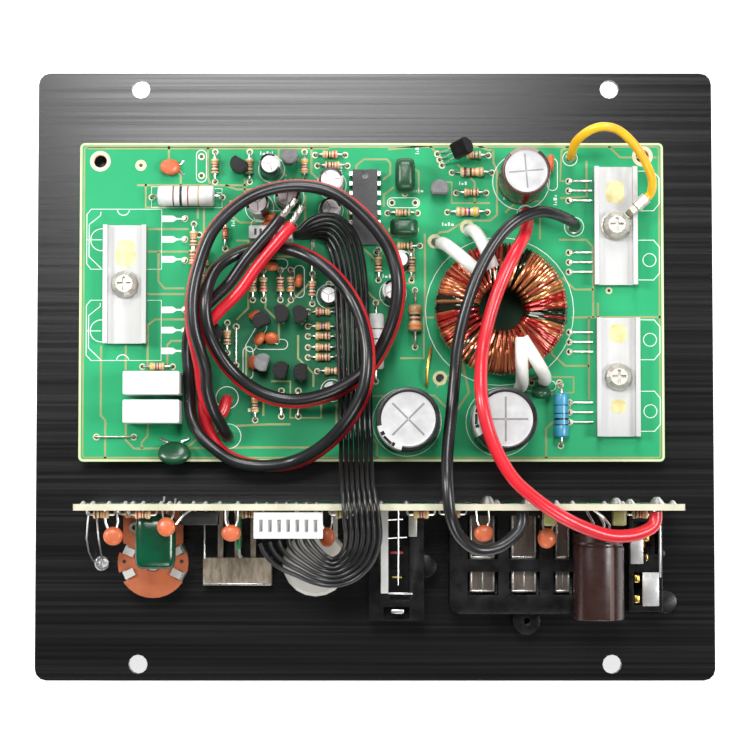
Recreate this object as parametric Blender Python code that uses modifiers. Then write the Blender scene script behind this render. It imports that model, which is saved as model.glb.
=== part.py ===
# Plate amplifier for a loudspeaker cabinet, seen from its rear (inside) face.
# A black aluminium panel carries a main circuit board, held down by three clamp bars over its
# power transistors, and an upright control board with the controls and sockets that pass
# through the panel. The origin is the centre of the panel's rear face, +Z points away from it
# towards the boards, +Y to the panel's top edge. Metres throughout.

from math import atan2, cos, hypot, pi, radians, sin

import bmesh
import bpy
from mathutils import Matrix, Vector

MM = 0.001

# Fits and clearances
GAP = 0.0003              # between pieces that rest on each other
RUNNING_FIT = 0.0003      # all round a shaft, screw or stem in its hole
PANEL_FIT = 0.0004        # round a body in its window in the panel
SINK = 0.0002             # how far a soldered part's foot goes into its board

# Panel
PANEL_WIDTH = 0.178
PANEL_HEIGHT = 0.160
PANEL_THICKNESS = 0.0025
PANEL_CORNER = 0.003
CABINET_HOLE = 0.005
CABINET_HOLE_FROM_SIDE = 0.0270
CABINET_HOLE_FROM_TOP = 0.00425

# Main circuit board
BOARD_THICKNESS = 0.0016
MAIN_LENGTH = 0.1510
MAIN_WIDTH = 0.0832
MAIN_X = -0.0009
MAIN_Y = 0.0187
MAIN_CORNER = 0.0012
MAIN_HOLE = 0.0034
MAIN_HOLES_FROM_CORNER = ((0.0047, 0.0048), (0.0048, 0.0035))


def on_main(x, y):
    """A place on the main board. Places are written in millimetres on a board of 151 by 83.2 whose
    middle is at (-0.9, 18.7), and they spread or close up with the board."""
    return MAIN_X + (x + 0.9) * MAIN_LENGTH / 151.0, MAIN_Y + (y - 18.7) * MAIN_WIDTH / 83.2


# Power transistors, their insulating pads and the bars that clamp them
BIG_TRANSISTOR = (0.0200, 0.0156, 0.0048)
BIG_TRANSISTOR_X = on_main(-66.0, 0)[0]
BIG_TRANSISTOR_Y = tuple(on_main(0, y)[1] for y in (35.0, 11.2))
BIG_LEAD_PITCH = 0.00545
BIG_LEAD_X = on_main(-49.8, 0)[0]
SMALL_TRANSISTOR = (0.0092, 0.0101, 0.0045)
SMALL_TAB_LENGTH = 0.0062
SMALL_TAB_THICKNESS = 0.0013
SMALL_TRANSISTOR_X = on_main(61.4, 0)[0]
SMALL_TRANSISTOR_Y = tuple(on_main(0, y)[1] for y in (47.7, 29.0, 8.2, -10.1))
SMALL_LEAD_PITCH = 0.00254
SMALL_LEAD_X = on_main(50.9, 0)[0]
LEAD_WIDTH = 0.0008
LEAD_HOLE = 0.0016
LEAD_STANDS_OUT = 0.0011
PAD_THICKNESS = 0.0003
PAD_MARGIN = 0.0006
BAR_WIDTH = 0.0112
BAR_LENGTH = 0.0308
BAR_BASE = 0.0014
BAR_LIP = 0.0012
BAR_LIP_HEIGHT = 0.0032
SCREW_SHANK = 0.0036
SCREW_HEAD = 0.0072
SCREW_HEAD_HEIGHT = 0.0026
SCREW_RECESS_DEPTH = 0.0012
CLAMP_PLACES = (("left", *on_main(-64.9, 23.1)), ("upper", *on_main(62.5, 38.35)), ("lower", *on_main(63.0, -1.0)))

# Control board, standing on edge behind the controls
CONTROL_LENGTH = 0.1520
CONTROL_HEIGHT = 0.0318
CONTROL_X = 0.0010
CONTROL_Y = -0.0345
CONTROL_FOOT = 0.0012

# Electrolytic cans: x, y, radius, height
BULK_CAN_RADIUS = 0.0080
BULK_CAN_HEIGHT = 0.0250
BULK_CANS = (("left", *on_main(8.3, -12.6)), ("right", *on_main(32.5, -12.6)))
INPUT_CAN = (*on_main(38.1, 50.1), 0.0062, 0.0205)
SUPPLY_CAN_RADIUS = 0.0064
SUPPLY_CAN_LENGTH = 0.0220
SUPPLY_CAN_X = 0.0568
SUPPLY_CAN_Z = 0.0190

# Toroid choke, which stands clear of the right bulk can
CHOKE_OUTER = 0.0174
CHOKE_CLEARANCE = 0.0034
CHOKE_X = on_main(32.4, 0)[0]
CHOKE_Y = max(on_main(0, 16.2)[1], BULK_CANS[1][2] + BULK_CAN_RADIUS + CHOKE_CLEARANCE + CHOKE_OUTER)
CHOKE_INNER = 0.0058
CHOKE_HEIGHT = 0.0138
CHOKE_TURNS = 30
CHOKE_WIRE_STEP = 0.0004

# Leads and cables
SPEAKER_WIRE = 0.0030
SPEAKER_PITCH = 0.0034
BARE_TIP = 0.0018
GROUND_WIRE = 0.0030
SUPPLY_WIRE = 0.0033
REMOTE_WIRE = 0.0023
RIBBON_WIRE = 0.00115
RIBBON_GROOVE = 0.0005
RIBBON_WAYS = 7
RIBBON_PITCH = 0.00127
WIRE_POINT_SPACING = 2.9  # in wire diameters

# Controls
POT_RADIUS = 0.0085
POT_BODY_HEIGHT = 0.0080
POT_CAN_HEIGHT = 0.0104
BUSH_DIAMETER = 0.0090
BUSH_LENGTH = 0.0046
SHAFT_DIAMETER = 0.0060
SHAFT_DEPTH = 0.0040
NUT_ACROSS_FLATS = 0.0120
NUT_THICKNESS = 0.0020
KNOB_DIAMETER = 0.0158
KNOB_LENGTH = 0.0125
KNOB_FLUTES = 14
WAFER_RADIUS = 0.0091
WAFER_THICKNESS = 0.0016
WAFER_NECK = 0.0154
FILTER_POT = (-0.0572, -0.0489)
LEVEL_POT = (-0.0153, -0.0491)
SWITCH_PLACE = (-0.0357, -0.05135)
SWITCH_FRAME = (0.0177, 0.0071, 0.0064)
SWITCH_TRAVEL = 0.0020
SWITCH_STEM = 0.0034
SWITCH_TERMINALS = (-0.0044, 0.0, 0.0041)

# Sockets
JACK_BODY = (0.0141, 0.0282, 0.0118)
JACK_X = 0.0055
JACK_PITCH = 0.0140
JACK_BARREL = 0.0083
JACK_BORE = 0.0032
JACK_LENGTH = 0.0090
TERMINAL_BODY = (0.0324, 0.0264, 0.0118)
TERMINAL_X = 0.0354
TERMINAL_FRONT = 0.0075
TERMINAL_WAYS = (-0.0077, 0.0030, 0.0130)
FUSE_BODY = (0.0086, 0.0256, 0.0118)
FUSE_X = 0.0695
LED_PLACE = (-0.0715, -0.0494)
LED_DIAMETER = 0.0030

# Heights that follow from the sizes above, counted from the panel's rear face
PANEL_FRONT = -PANEL_THICKNESS
TRANSISTOR_SEAT = GAP + PAD_THICKNESS + GAP
BOARD_UNDERSIDE = TRANSISTOR_SEAT + BIG_TRANSISTOR[2] + GAP
BOARD_TOP = BOARD_UNDERSIDE + BOARD_THICKNESS
ON_BOARD = BOARD_TOP + GAP
BAR_SEAT = ON_BOARD + BAR_BASE
CONTROL_FACE = CONTROL_Y - BOARD_THICKNESS / 2
CONTROL_SEAT = CONTROL_FACE - GAP
CONTROL_TOP = CONTROL_FOOT + CONTROL_HEIGHT

for old in list(bpy.data.objects):
    bpy.data.objects.remove(old, do_unlink=True)

parts = bpy.data.collections.new("audio_amplifier_board")
cutters = bpy.data.collections.new("cutters")
for folder in (parts, cutters):
    bpy.context.scene.collection.children.link(folder)


# Materials

def finish(name, colour, roughness, metallic=0.0):
    made = bpy.data.materials.get(name)
    if made is None:
        made = bpy.data.materials.new(name)
        made.use_nodes = True
        shader = made.node_tree.nodes["Principled BSDF"]
        shader.inputs["Base Color"].default_value = (*colour, 1.0)
        shader.inputs["Roughness"].default_value = roughness
        shader.inputs["Metallic"].default_value = metallic
        made.diffuse_color = (*colour, 1.0)
    return made


PANEL_BLACK = ("black_anodised_panel", (0.012, 0.012, 0.014), 0.42, 0.6)
BOARD_GREEN = ("green_circuit_board", (0.02, 0.36, 0.17), 0.35)
CREAM_BOARD = ("cream_circuit_board", (0.62, 0.62, 0.45), 0.55)
ALUMINIUM = ("mill_aluminium", (0.78, 0.78, 0.80), 0.38, 1.0)
STEEL = ("bright_plated_steel", (0.74, 0.73, 0.70), 0.28, 1.0)
TINNED = ("tinned_contact", (0.62, 0.59, 0.52), 0.42, 1.0)
PACKAGE_BLACK = ("moulded_black_package", (0.022, 0.022, 0.024), 0.55)
PACKAGE_GREY = ("moulded_grey_package", (0.075, 0.075, 0.08), 0.55)
SLEEVE_BLACK = ("black_can_sleeve", (0.015, 0.013, 0.015), 0.3)
SLEEVE_BROWN = ("brown_can_sleeve", (0.07, 0.02, 0.02), 0.3)
COPPER = ("enamelled_copper", (0.60, 0.19, 0.06), 0.3, 1.0)
WHITE_PLASTIC = ("white_plastic", (0.82, 0.82, 0.80), 0.5)
CERAMIC_WHITE = ("white_resistor_body", (0.76, 0.76, 0.76), 0.45)
FILM_GREEN = ("dark_green_dipped_film", (0.005, 0.085, 0.05), 0.12)
PHENOLIC = ("brown_phenolic_wafer", (0.42, 0.13, 0.05), 0.5)
WIRE_BLACK = ("black_wire", (0.02, 0.02, 0.022), 0.35)
WIRE_RED = ("red_wire", (0.66, 0.01, 0.03), 0.32)
WIRE_YELLOW = ("yellow_wire", (0.86, 0.50, 0.01), 0.35)
MOULDED_BLACK = ("black_socket_moulding", (0.014, 0.014, 0.015), 0.45)
SILICONE = ("grey_silicone_pad", (0.45, 0.46, 0.48), 0.7)
CLEAR_LENS = ("clear_lens", (0.80, 0.82, 0.84), 0.1)
FUSE_AMBER = ("amber_fuse_body", (0.75, 0.30, 0.03), 0.25)


# Shapes

def part(name, mesh, material, folder=parts):
    """One named object in its collection, with its own copy of the material."""
    made = bpy.data.objects.new(name, mesh)
    folder.objects.link(made)
    if material:
        made.data.materials.append(finish(*material))
    return made


def finished_mesh(shape):
    """The evaluated mesh of an object or curve, welded and placed in the world."""
    bpy.context.view_layer.update()
    evaluated = shape.evaluated_get(bpy.context.evaluated_depsgraph_get())
    mesh = bpy.data.meshes.new_from_object(evaluated)
    mesh.transform(shape.matrix_world)
    work = bmesh.new()
    work.from_mesh(mesh)
    bmesh.ops.remove_doubles(work, verts=work.verts, dist=1e-6)
    work.to_mesh(mesh)
    work.free()
    return mesh


def settle(shape):
    """Applies an object's modifiers and its place, so that it can be cut or joined."""
    mesh = finished_mesh(shape)
    name, owner = shape.name, shape.users_collection[0]
    materials = [slot.material for slot in shape.material_slots if slot.material]
    bpy.data.objects.remove(shape, do_unlink=True)
    made = bpy.data.objects.new(name, mesh)
    owner.objects.link(made)
    mesh.materials.clear()
    for material in materials:
        mesh.materials.append(material)
    return made


def boolean(target, tool, operation):
    step = target.modifiers.new(operation.lower(), "BOOLEAN")
    step.operation = operation
    step.object = tool
    step.solver = "EXACT"
    step.use_self = operation == "UNION"


def cut(target, tools):
    """Cuts each tool out of the target; the cutters stay in their own collection."""
    for tool in tools:
        if tool.name not in cutters.objects:
            for owner in tool.users_collection:
                owner.objects.unlink(tool)
            cutters.objects.link(tool)
        tool.hide_render = True
        tool.display_type = "WIRE"
        boolean(target, tool, "DIFFERENCE")
    return target


def fuse(target, pieces):
    """Joins pieces to the target as one solid and removes them."""
    work = bmesh.new()
    for piece in pieces:
        mesh = finished_mesh(piece)
        work.from_mesh(mesh)
        bpy.data.objects.remove(piece, do_unlink=True)
    tool = part("joining", bpy.data.meshes.new("joining"), None, cutters)
    work.to_mesh(tool.data)
    work.free()
    boolean(target, tool, "UNION")
    made = settle(target)
    bpy.data.objects.remove(tool, do_unlink=True)
    return made


def box(name, x, y, z, material=None, bevel=0.0, segments=2):
    """A box between its limits along x, y and z, with its sharp edges rounded if asked."""
    work = bmesh.new()
    size = Vector((x[1] - x[0], y[1] - y[0], z[1] - z[0]))
    middle = Vector((x[0] + x[1], y[0] + y[1], z[0] + z[1])) / 2
    bmesh.ops.create_cube(work, size=1.0)
    bmesh.ops.scale(work, vec=size, verts=work.verts)
    mesh = bpy.data.meshes.new(name)
    work.to_mesh(mesh)
    work.free()
    made = part(name, mesh, material)
    made.location = middle
    if bevel:
        rounding = made.modifiers.new("rounded_edges", "BEVEL")
        rounding.width = bevel
        rounding.segments = segments
    return made


def bar_box(name, centre, size, material=None, bevel=0.0, segments=2):
    spans = [(c - s / 2, c + s / 2) for c, s in zip(centre, size)]
    return box(name, *spans, material, bevel, segments)


def rod(name, x, y, z, diameter, material=None, sides=16, axis="Z"):
    """A round rod whose axis runs along axis; the limits of that axis are a pair."""
    turn = {"Z": Matrix.Identity(4), "X": Matrix.Rotation(pi / 2, 4, "Y"),
            "Y": Matrix.Rotation(-pi / 2, 4, "X")}[axis]
    ends = {"X": x, "Y": y, "Z": z}[axis]
    place = [sum(v) / 2 if isinstance(v, tuple) else v for v in (x, y, z)]
    work = bmesh.new()
    bmesh.ops.create_cone(work, cap_ends=True, segments=sides, radius1=diameter / 2,
                          radius2=diameter / 2, depth=ends[1] - ends[0])
    bmesh.ops.transform(work, matrix=turn, verts=work.verts)
    mesh = bpy.data.meshes.new(name)
    work.to_mesh(mesh)
    work.free()
    made = part(name, mesh, material)
    made.location = place
    mesh.shade_smooth()
    mesh.set_sharp_from_angle(angle=radians(35))
    return made


def circle(x, y, radius, sides=20, turn=0.0):
    return [(x + radius * cos(turn + 2 * pi * i / sides), y + radius * sin(turn + 2 * pi * i / sides))
            for i in range(sides)]


def rounded(x, y, width, height, radius, steps=3):
    """A rectangle with round corners, as a ring of points."""
    ring = []
    for quarter, (sx, sy) in enumerate(((1, 1), (-1, 1), (-1, -1), (1, -1))):
        cx, cy = x + sx * (width / 2 - radius), y + sy * (height / 2 - radius)
        for i in range(steps + 1):
            angle = (quarter + i / steps) * pi / 2
            ring.append((cx + radius * cos(angle), cy + radius * sin(angle)))
    return ring


def slab(name, rings, z, material=None):
    """A flat sheet between two heights: the first ring is its outline, the others are holes."""
    outline = bpy.data.curves.new(name, "CURVE")
    outline.dimensions = "2D"
    outline.fill_mode = "BOTH"
    outline.extrude = (z[1] - z[0]) / 2
    for ring in rings:
        spline = outline.splines.new("POLY")
        spline.points.add(len(ring) - 1)
        for point, (x, y) in zip(spline.points, ring):
            point.co = (x, y, 0.0, 1.0)
        spline.use_cyclic_u = True
    guide = part(name, outline, None)
    guide.location.z = (z[0] + z[1]) / 2
    mesh = finished_mesh(guide)
    bpy.data.objects.remove(guide, do_unlink=True)
    return part(name, mesh, material)


def turned(name, profile, material=None, sides=24):
    """A round solid from radius and height pairs that run from its top to its foot."""
    mesh = bpy.data.meshes.new(name)
    mesh.from_pydata([(r, 0.0, z) for r, z in profile], [(i, i + 1) for i in range(len(profile) - 1)], [])
    made = part(name, mesh, material)
    spin = made.modifiers.new("turned", "SCREW")
    spin.steps = spin.render_steps = sides
    spin.use_merge_vertices = True
    spin.merge_threshold = 1e-5
    spin.use_smooth_shade = True
    return made


def along(points, spacing):
    """Points read at even spacing from a smooth curve through the route's own points."""
    route = [Vector(p) for p in points]
    route = [2 * route[0] - route[1]] + route + [2 * route[-1] - route[-2]]
    fine = []
    for a, b, c, d in zip(route, route[1:], route[2:], route[3:]):
        for i in range(12):
            t = i / 12
            fine.append(0.5 * (2 * b + (c - a) * t + (2 * a - 5 * b + 4 * c - d) * t ** 2
                               + (3 * b - a - 3 * c + d) * t ** 3))
    fine.append(route[-2])
    lengths = [0.0]
    for a, b in zip(fine, fine[1:]):
        lengths.append(lengths[-1] + (b - a).length)
    count = max(2, round(lengths[-1] / spacing))
    read, at = [], 0
    for i in range(count + 1):
        wanted = lengths[-1] * i / count
        while at < len(fine) - 2 and lengths[at + 1] < wanted:
            at += 1
        step = (wanted - lengths[at]) / max(lengths[at + 1] - lengths[at], 1e-9)
        read.append(fine[at].lerp(fine[at + 1], min(step, 1.0)))
    return read


def wire(name, points, diameter, material, tip=None):
    """A round wire: its first and last stretches are straight, and between them its points are
    read from a smooth curve. A tip is a bare core beyond its end, as a diameter and a place."""
    route = [Vector(p) for p in points]
    if len(route) > 4:
        route = [route[0]] + along(route[1:-1], diameter * WIRE_POINT_SPACING) + [route[-1]]
    widths = [1.0] * len(route)
    if tip:
        core, end = tip
        route += [route[-1].lerp(end, 0.02), route[-1].lerp(end, 0.5), end]
        widths += [core / diameter] * 3
    line = bpy.data.curves.new(name, "CURVE")
    line.dimensions = "3D"
    line.bevel_depth = diameter / 2
    line.bevel_resolution = 2
    line.use_fill_caps = True
    line.resolution_u = 1
    line.render_resolution_u = 0
    spline = line.splines.new("POLY")
    spline.points.add(len(route) - 1)
    for point, place, width in zip(spline.points, route, widths):
        point.co = (*place, 1.0)
        point.radius = width
    return part(name, line, material)


# Panel: one black anodised sheet with its fixing holes and the windows of what passes through it

def terminal_window():
    return (TERMINAL_X, -0.0500, TERMINAL_BODY[0] - 0.0026, 0.0160)


def fuse_window():
    return (FUSE_X, -0.0490, 0.0056, 0.0202)


def switch_slot():
    return (SWITCH_PLACE[0], SWITCH_PLACE[1], SWITCH_STEM + 2 * (SWITCH_TRAVEL + RUNNING_FIT),
            SWITCH_STEM + 2 * RUNNING_FIT)


def jack_places():
    middle = CONTROL_SEAT - JACK_BODY[1] / 2
    return [(JACK_X, middle + side * JACK_PITCH / 2) for side in (1, -1)]


def mounting_panel():
    rings = [rounded(0, 0, PANEL_WIDTH, PANEL_HEIGHT, PANEL_CORNER)]
    for sx in (-1, 1):
        for sy in (-1, 1):
            rings.append(circle(sx * (PANEL_WIDTH / 2 - CABINET_HOLE_FROM_SIDE),
                                sy * (PANEL_HEIGHT / 2 - CABINET_HOLE_FROM_TOP), CABINET_HOLE / 2, 12))
    for _, x, y in CLAMP_PLACES:
        rings.append(circle(x, y, SCREW_SHANK / 2 + RUNNING_FIT, 12))
    for x, y in (FILTER_POT, LEVEL_POT):
        rings.append(circle(x, y, BUSH_DIAMETER / 2 + RUNNING_FIT, 16))
    for x, y in jack_places():
        rings.append(circle(x, y, JACK_BARREL / 2 + PANEL_FIT, 16))
    rings.append(circle(*LED_PLACE, LED_DIAMETER / 2 + RUNNING_FIT, 12))
    rings.append(rounded(*switch_slot(), 0.0002, 1))
    for x, y, width, height in (terminal_window(), fuse_window()):
        rings.append(rounded(x, y, width + 2 * PANEL_FIT, height + 2 * PANEL_FIT, 0.0004, 1))
    return slab("mounting_panel", rings, (PANEL_FRONT, 0.0), PANEL_BLACK)


# Power transistors lie flat on insulating pads between the panel and the main board

def transistor_leads(x_body, x_hole, y, pitch, seat, thickness):
    """Three leads that leave the body low down and turn up through the main board."""
    inward = -SINK if x_hole > x_body else SINK
    half = LEAD_WIDTH / 2
    away = half if x_hole > x_body else -half
    low, tip = seat + thickness * 0.4, BOARD_TOP + LEAD_STANDS_OUT
    bend = [(x_body + inward, low), (x_hole + away, low), (x_hole + away, tip), (x_hole - away, tip),
            (x_hole - away, low + 0.0006), (x_body + inward, low + 0.0006)]
    shapes = []
    for step in (-1, 0, 1):
        lead = slab("lead", [bend], (-half, half))
        lead.rotation_euler = (pi / 2, 0, 0)
        lead.location.y = y + step * pitch
        shapes.append(lead)
    return shapes


def big_transistor(number, y):
    length, width, thickness = BIG_TRANSISTOR
    name = "output_transistor_%d" % number
    outline = rounded(BIG_TRANSISTOR_X, y, length, width, 0.0012, 1)
    hole = circle(BIG_TRANSISTOR_X - length / 2 + 0.0060, y, 0.0016, 8)
    body = slab(name, [outline, hole], (TRANSISTOR_SEAT, TRANSISTOR_SEAT + thickness), PACKAGE_BLACK)
    return fuse(body, transistor_leads(BIG_TRANSISTOR_X + length / 2, BIG_LEAD_X, y,
                                       BIG_LEAD_PITCH, TRANSISTOR_SEAT, thickness))


def small_seat():
    return BOARD_UNDERSIDE - GAP - SMALL_TRANSISTOR[2]


def small_transistor(number, y):
    length, width, thickness = SMALL_TRANSISTOR
    seat = small_seat()
    name = "switching_transistor_%d" % number
    left = SMALL_TRANSISTOR_X - length / 2
    right = SMALL_TRANSISTOR_X + length / 2
    body = box(name, (left, right), (y - width / 2, y + width / 2), (seat, seat + thickness), PACKAGE_BLACK)
    tab = slab("tab", [rounded(right + SMALL_TAB_LENGTH / 2 - SINK, y, SMALL_TAB_LENGTH, width, 0.0008, 1),
                       circle(right + SMALL_TAB_LENGTH / 2, y, 0.0018, 8)],
               (seat + 0.00002, seat + SMALL_TAB_THICKNESS))
    return fuse(body, [tab] + transistor_leads(left, SMALL_LEAD_X, y, SMALL_LEAD_PITCH, seat, thickness))


def insulating_pad(name, x, y, half_x, half_y, thickness, hole):
    outline = circle(x, y, 2 ** 0.5, 4, pi / 4)
    outline = [(x + (a - x) * half_x, y + (b - y) * half_y) for a, b in outline]
    return slab(name, [outline, circle(*hole, SCREW_SHANK / 2 + RUNNING_FIT, 12)],
                (GAP, GAP + thickness), SILICONE)


def power_transistors():
    for number, y in enumerate(BIG_TRANSISTOR_Y, 1):
        big_transistor(number, y)
    for number, y in enumerate(SMALL_TRANSISTOR_Y, 1):
        small_transistor(number, y)
    length, width, _ = BIG_TRANSISTOR
    spread = abs(BIG_TRANSISTOR_Y[0] - BIG_TRANSISTOR_Y[1]) / 2 + width / 2
    insulating_pad("insulating_pad_left", BIG_TRANSISTOR_X, sum(BIG_TRANSISTOR_Y) / 2,
                   length / 2 + PAD_MARGIN, spread + PAD_MARGIN, PAD_THICKNESS, CLAMP_PLACES[0][1:])
    length, width, _ = SMALL_TRANSISTOR
    for (name, x, y), pair in zip(CLAMP_PLACES[1:], (SMALL_TRANSISTOR_Y[:2], SMALL_TRANSISTOR_Y[2:])):
        spread = abs(pair[0] - pair[1]) / 2 + width / 2
        middle = SMALL_TRANSISTOR_X + SMALL_TAB_LENGTH / 2
        insulating_pad("insulating_pad_" + name, middle, sum(pair) / 2,
                       (length + SMALL_TAB_LENGTH) / 2 + PAD_MARGIN, spread + PAD_MARGIN,
                       small_seat() - 2 * GAP, (x, y))


def clamp(name, x, y):
    """A channel bar across two transistors and the pan-head screw that pulls it down."""
    foot = ON_BOARD
    half = BAR_WIDTH / 2
    section = [(-half, 0), (half, 0), (half, BAR_LIP_HEIGHT), (half - BAR_LIP, BAR_LIP_HEIGHT),
               (half - BAR_LIP, BAR_BASE), (-half + BAR_LIP, BAR_BASE),
               (-half + BAR_LIP, BAR_LIP_HEIGHT), (-half, BAR_LIP_HEIGHT)]
    bar = slab("clamp_bar_" + name, [section], (-BAR_LENGTH / 2, BAR_LENGTH / 2), ALUMINIUM)
    bar.rotation_euler = (pi / 2, 0, 0)
    bar.location = (x, y, foot)
    cut(bar, [rod("bar_hole_" + name, x, y, (foot - 0.001, foot + BAR_BASE + 0.001),
                  SCREW_SHANK + 2 * RUNNING_FIT, sides=12)])
    seat = BAR_SEAT + GAP + (LUG_THICKNESS + GAP if name == "upper" else 0.0)
    radius, top = SCREW_HEAD / 2, seat + SCREW_HEAD_HEIGHT
    screw = turned("clamp_screw_" + name,
                   [(0, top), (radius * 0.62, top), (radius * 0.90, top - 0.0008),
                    (radius, seat + 0.0008), (radius, seat), (SCREW_SHANK / 2, seat),
                    (SCREW_SHANK / 2, PANEL_FRONT), (0, PANEL_FRONT)], STEEL, 12)
    screw.location = (x, y, 0)
    arms = []
    for number, (wide, deep) in enumerate(((0.0036, 0.0008), (0.0008, 0.0036))):
        arms.append(bar_box("recess_%s_%d" % (name, number), (x, y, top),
                            (wide, deep, 2 * SCREW_RECESS_DEPTH)))
    cut(screw, arms)


# Ring lug under the upper screw, with its barrel turned towards the yellow lead
LUG_THICKNESS = 0.0008
LUG_RADIUS = 0.0038
LUG_ANGLE = radians(42)
LUG_REACH = 0.0102
LUG_BARREL = 0.0032
LUG_RISE = 0.0035


def ring_lug():
    _, x, y = CLAMP_PLACES[1]
    seat = BAR_SEAT + GAP
    ring = slab("ring_lug", [circle(0, 0, LUG_RADIUS, 16), circle(0, 0, SCREW_SHANK / 2 + RUNNING_FIT, 12)],
                (0, LUG_THICKNESS), STEEL)
    foot, step = LUG_RADIUS - 0.0008, LUG_THICKNESS / 2
    neck_section = [(foot, step - 0.0003), (foot + 0.0014, step - 0.0003), (foot + 0.0026, LUG_RISE - 0.0004),
                    (0.0076, LUG_RISE - 0.0004), (0.0076, LUG_RISE + 0.0004), (foot + 0.0020, LUG_RISE + 0.0004),
                    (foot + 0.0009, step + 0.0003), (foot, step + 0.0003)]
    neck = slab("neck", [neck_section], (-0.0009, 0.0009))
    neck.rotation_euler = (pi / 2, 0, 0)
    barrel = rod("barrel", (0.0066, LUG_REACH), 0, LUG_RISE, LUG_BARREL, sides=12, axis="X")
    lug = fuse(ring, [neck, barrel])
    lug.rotation_euler = (0, 0, LUG_ANGLE)
    lug.location = (x, y, seat)


# Small parts soldered to the main board, each at its place in millimetres

def stand(x, y, z, turn):
    return Matrix.Translation((*on_main(x, y), z)) @ Matrix.Rotation(radians(turn), 4, "Z")


def placed(shape, x, y, z, turn):
    shape.matrix_world = stand(x, y, z, turn) @ shape.matrix_world
    return shape


def flat_resistor(x, y, turn):
    """A small resistor, which lies right on the board along its own x."""
    body = rod("body", (-0.0020, 0.0020), 0, 0.00105 - SINK, 0.0021, sides=6, axis="X")
    bpy.context.view_layer.update()
    return [placed(body, x, y, BOARD_TOP, turn)]


def axial(x, y, length, diameter, pitch, turn, sides=6):
    """A resistor-like body along its own x, on two legs bent down into the board."""
    radius = diameter * MM / 2
    height = radius + 0.0002
    half, leg, thick = pitch * MM / 2, 0.00025, 0.00025
    body = rod("body", (-length * MM / 2, length * MM / 2), 0, height, diameter * MM, sides=sides, axis="X")
    outline = [(-half - leg, -SINK), (-half + leg, -SINK), (-half + leg, height - thick),
               (half - leg, height - thick), (half - leg, -SINK), (half + leg, -SINK),
               (half + leg, height + thick), (-half - leg, height + thick)]
    legs = slab("legs", [outline], (-leg, leg))
    legs.rotation_euler = (pi / 2, 0, 0)
    bpy.context.view_layer.update()
    return [placed(body, x, y, BOARD_TOP, turn), placed(legs, x, y, BOARD_TOP, turn)]


def disc(x, y, radius, thick, turn):
    """A dipped ceramic disc standing on edge, its flat sides along its own x."""
    body = rod("disc", 0, (-thick * MM / 2, thick * MM / 2), radius * 0.95 * MM, 2 * radius * MM,
               sides=8, axis="Y")
    bpy.context.view_layer.update()
    return [placed(body, x, y, BOARD_TOP, turn)]


def small_can(x, y, radius, height):
    return rod("can", *on_main(x, y), (BOARD_TOP - SINK, BOARD_TOP + height * MM), 2 * radius * MM, sides=10)


def signal_transistor(x, y, turn, lift=1.6):
    """A half-round package with its flat side along its own -y, on three legs."""
    radius, flat = 2.35 * MM, -1.0 * MM
    edge = atan2(flat, (radius ** 2 - flat ** 2) ** 0.5)
    ring = [(radius * cos(edge + (pi - 2 * edge) * i / 6), radius * sin(edge + (pi - 2 * edge) * i / 6))
            for i in range(7)]
    body = slab("package", [ring], (lift * MM, (lift + 4.6) * MM))
    legs = box("legs", (-0.0015, 0.0015), (-0.00025, 0.00025), (-SINK, (lift + 0.3) * MM))
    bpy.context.view_layer.update()
    return [placed(body, x, y, BOARD_TOP, turn), placed(legs, x, y, BOARD_TOP, turn)]


# x, y and turn of each small resistor; 0 lies along the panel's width
SMALL_RESISTORS = (
    (-41.7, 54.0, 90), (-32.7, 54.0, 90), (-18.4, 54.0, 90), (-47.2, 35.1, 90), (0.9, 28.3, 90),
    (9.5, 28.3, 90), (-31.8, 23.1, 90), (-29.0, 23.1, 90), (-24.6, 23.1, 90), (-21.9, 23.1, 90),
    (-16.3, 22.1, 90), (-38.4, 9.3, 90), (-31.1, -8.2, 90), (-11.7, 57.1, 0), (-11.1, 54.3, 0),
    (7.2, 43.9, 0), (7.8, 33.3, 0), (25.7, 57.0, 0), (25.1, 47.2, 0), (-13.5, 16.1, 0),
    (-13.5, 12.3, 0), (-13.5, 9.7, 0), (-13.5, 6.8, 0), (-13.5, 4.2, 0), (-11.1, 0.6, 0),
    (-56.5, 1.8, 0))
LONG_RESISTORS = ((25.3, 52.5, 0), (24.1, 42.1, 0))
SMALL_DISCS = (
    (-50.7, 53.4, 2.3, 90), (-30.9, 9.5, 1.9, 60), (-26.9, 7.6, 1.9, 0), (-33.0, 2.8, 1.8, 90),
    (-26.9, 28.6, 1.9, 0), (-19.7, 24.0, 1.7, 80), (-27.5, 41.2, 1.7, 10), (-28.1, 38.9, 1.7, 10),
    (46.3, 55.0, 2.9, 95))
SMALL_CANS = (
    (-27.0, 53.3, 2.6, 11), (-11.3, 49.3, 3.1, 11), (-30.1, 43.3, 3.0, 11), (-22.4, 45.9, 3.2, 11),
    (-11.5, 42.6, 2.4, 6), (6.6, 29.2, 2.2, 7), (4.7, 20.8, 2.8, 11), (-12.0, 20.1, 2.5, 5),
    (-11.2, -4.4, 2.1, 5))
SIGNAL_TRANSISTORS = (
    (-35.2, 54.0, 0), (-22.1, 56.3, 0), (16.7, 47.6, 0), (-29.3, 13.3, 25), (-24.4, 15.2, -80),
    (-19.6, 15.0, -80), (-28.9, 2.6, 75), (-24.1, 0.6, 75), (-18.9, 0.1, 90), (-41.6, 10.4, -60))
WIRE_LINKS = ((-67.4, -16.5, 10.5, 0), (-36.1, 7.2, 9.8, 90), (-24.3, -7.8, 6.4, 90), (-19.9, -7.8, 6.4, 90))


# The header that the ribbon leaves: its place on the board, its width, depth and height
RIBBON_HEADER = (-26.85, 35.95, 0.0111, 0.0035, 0.0092)


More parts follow.
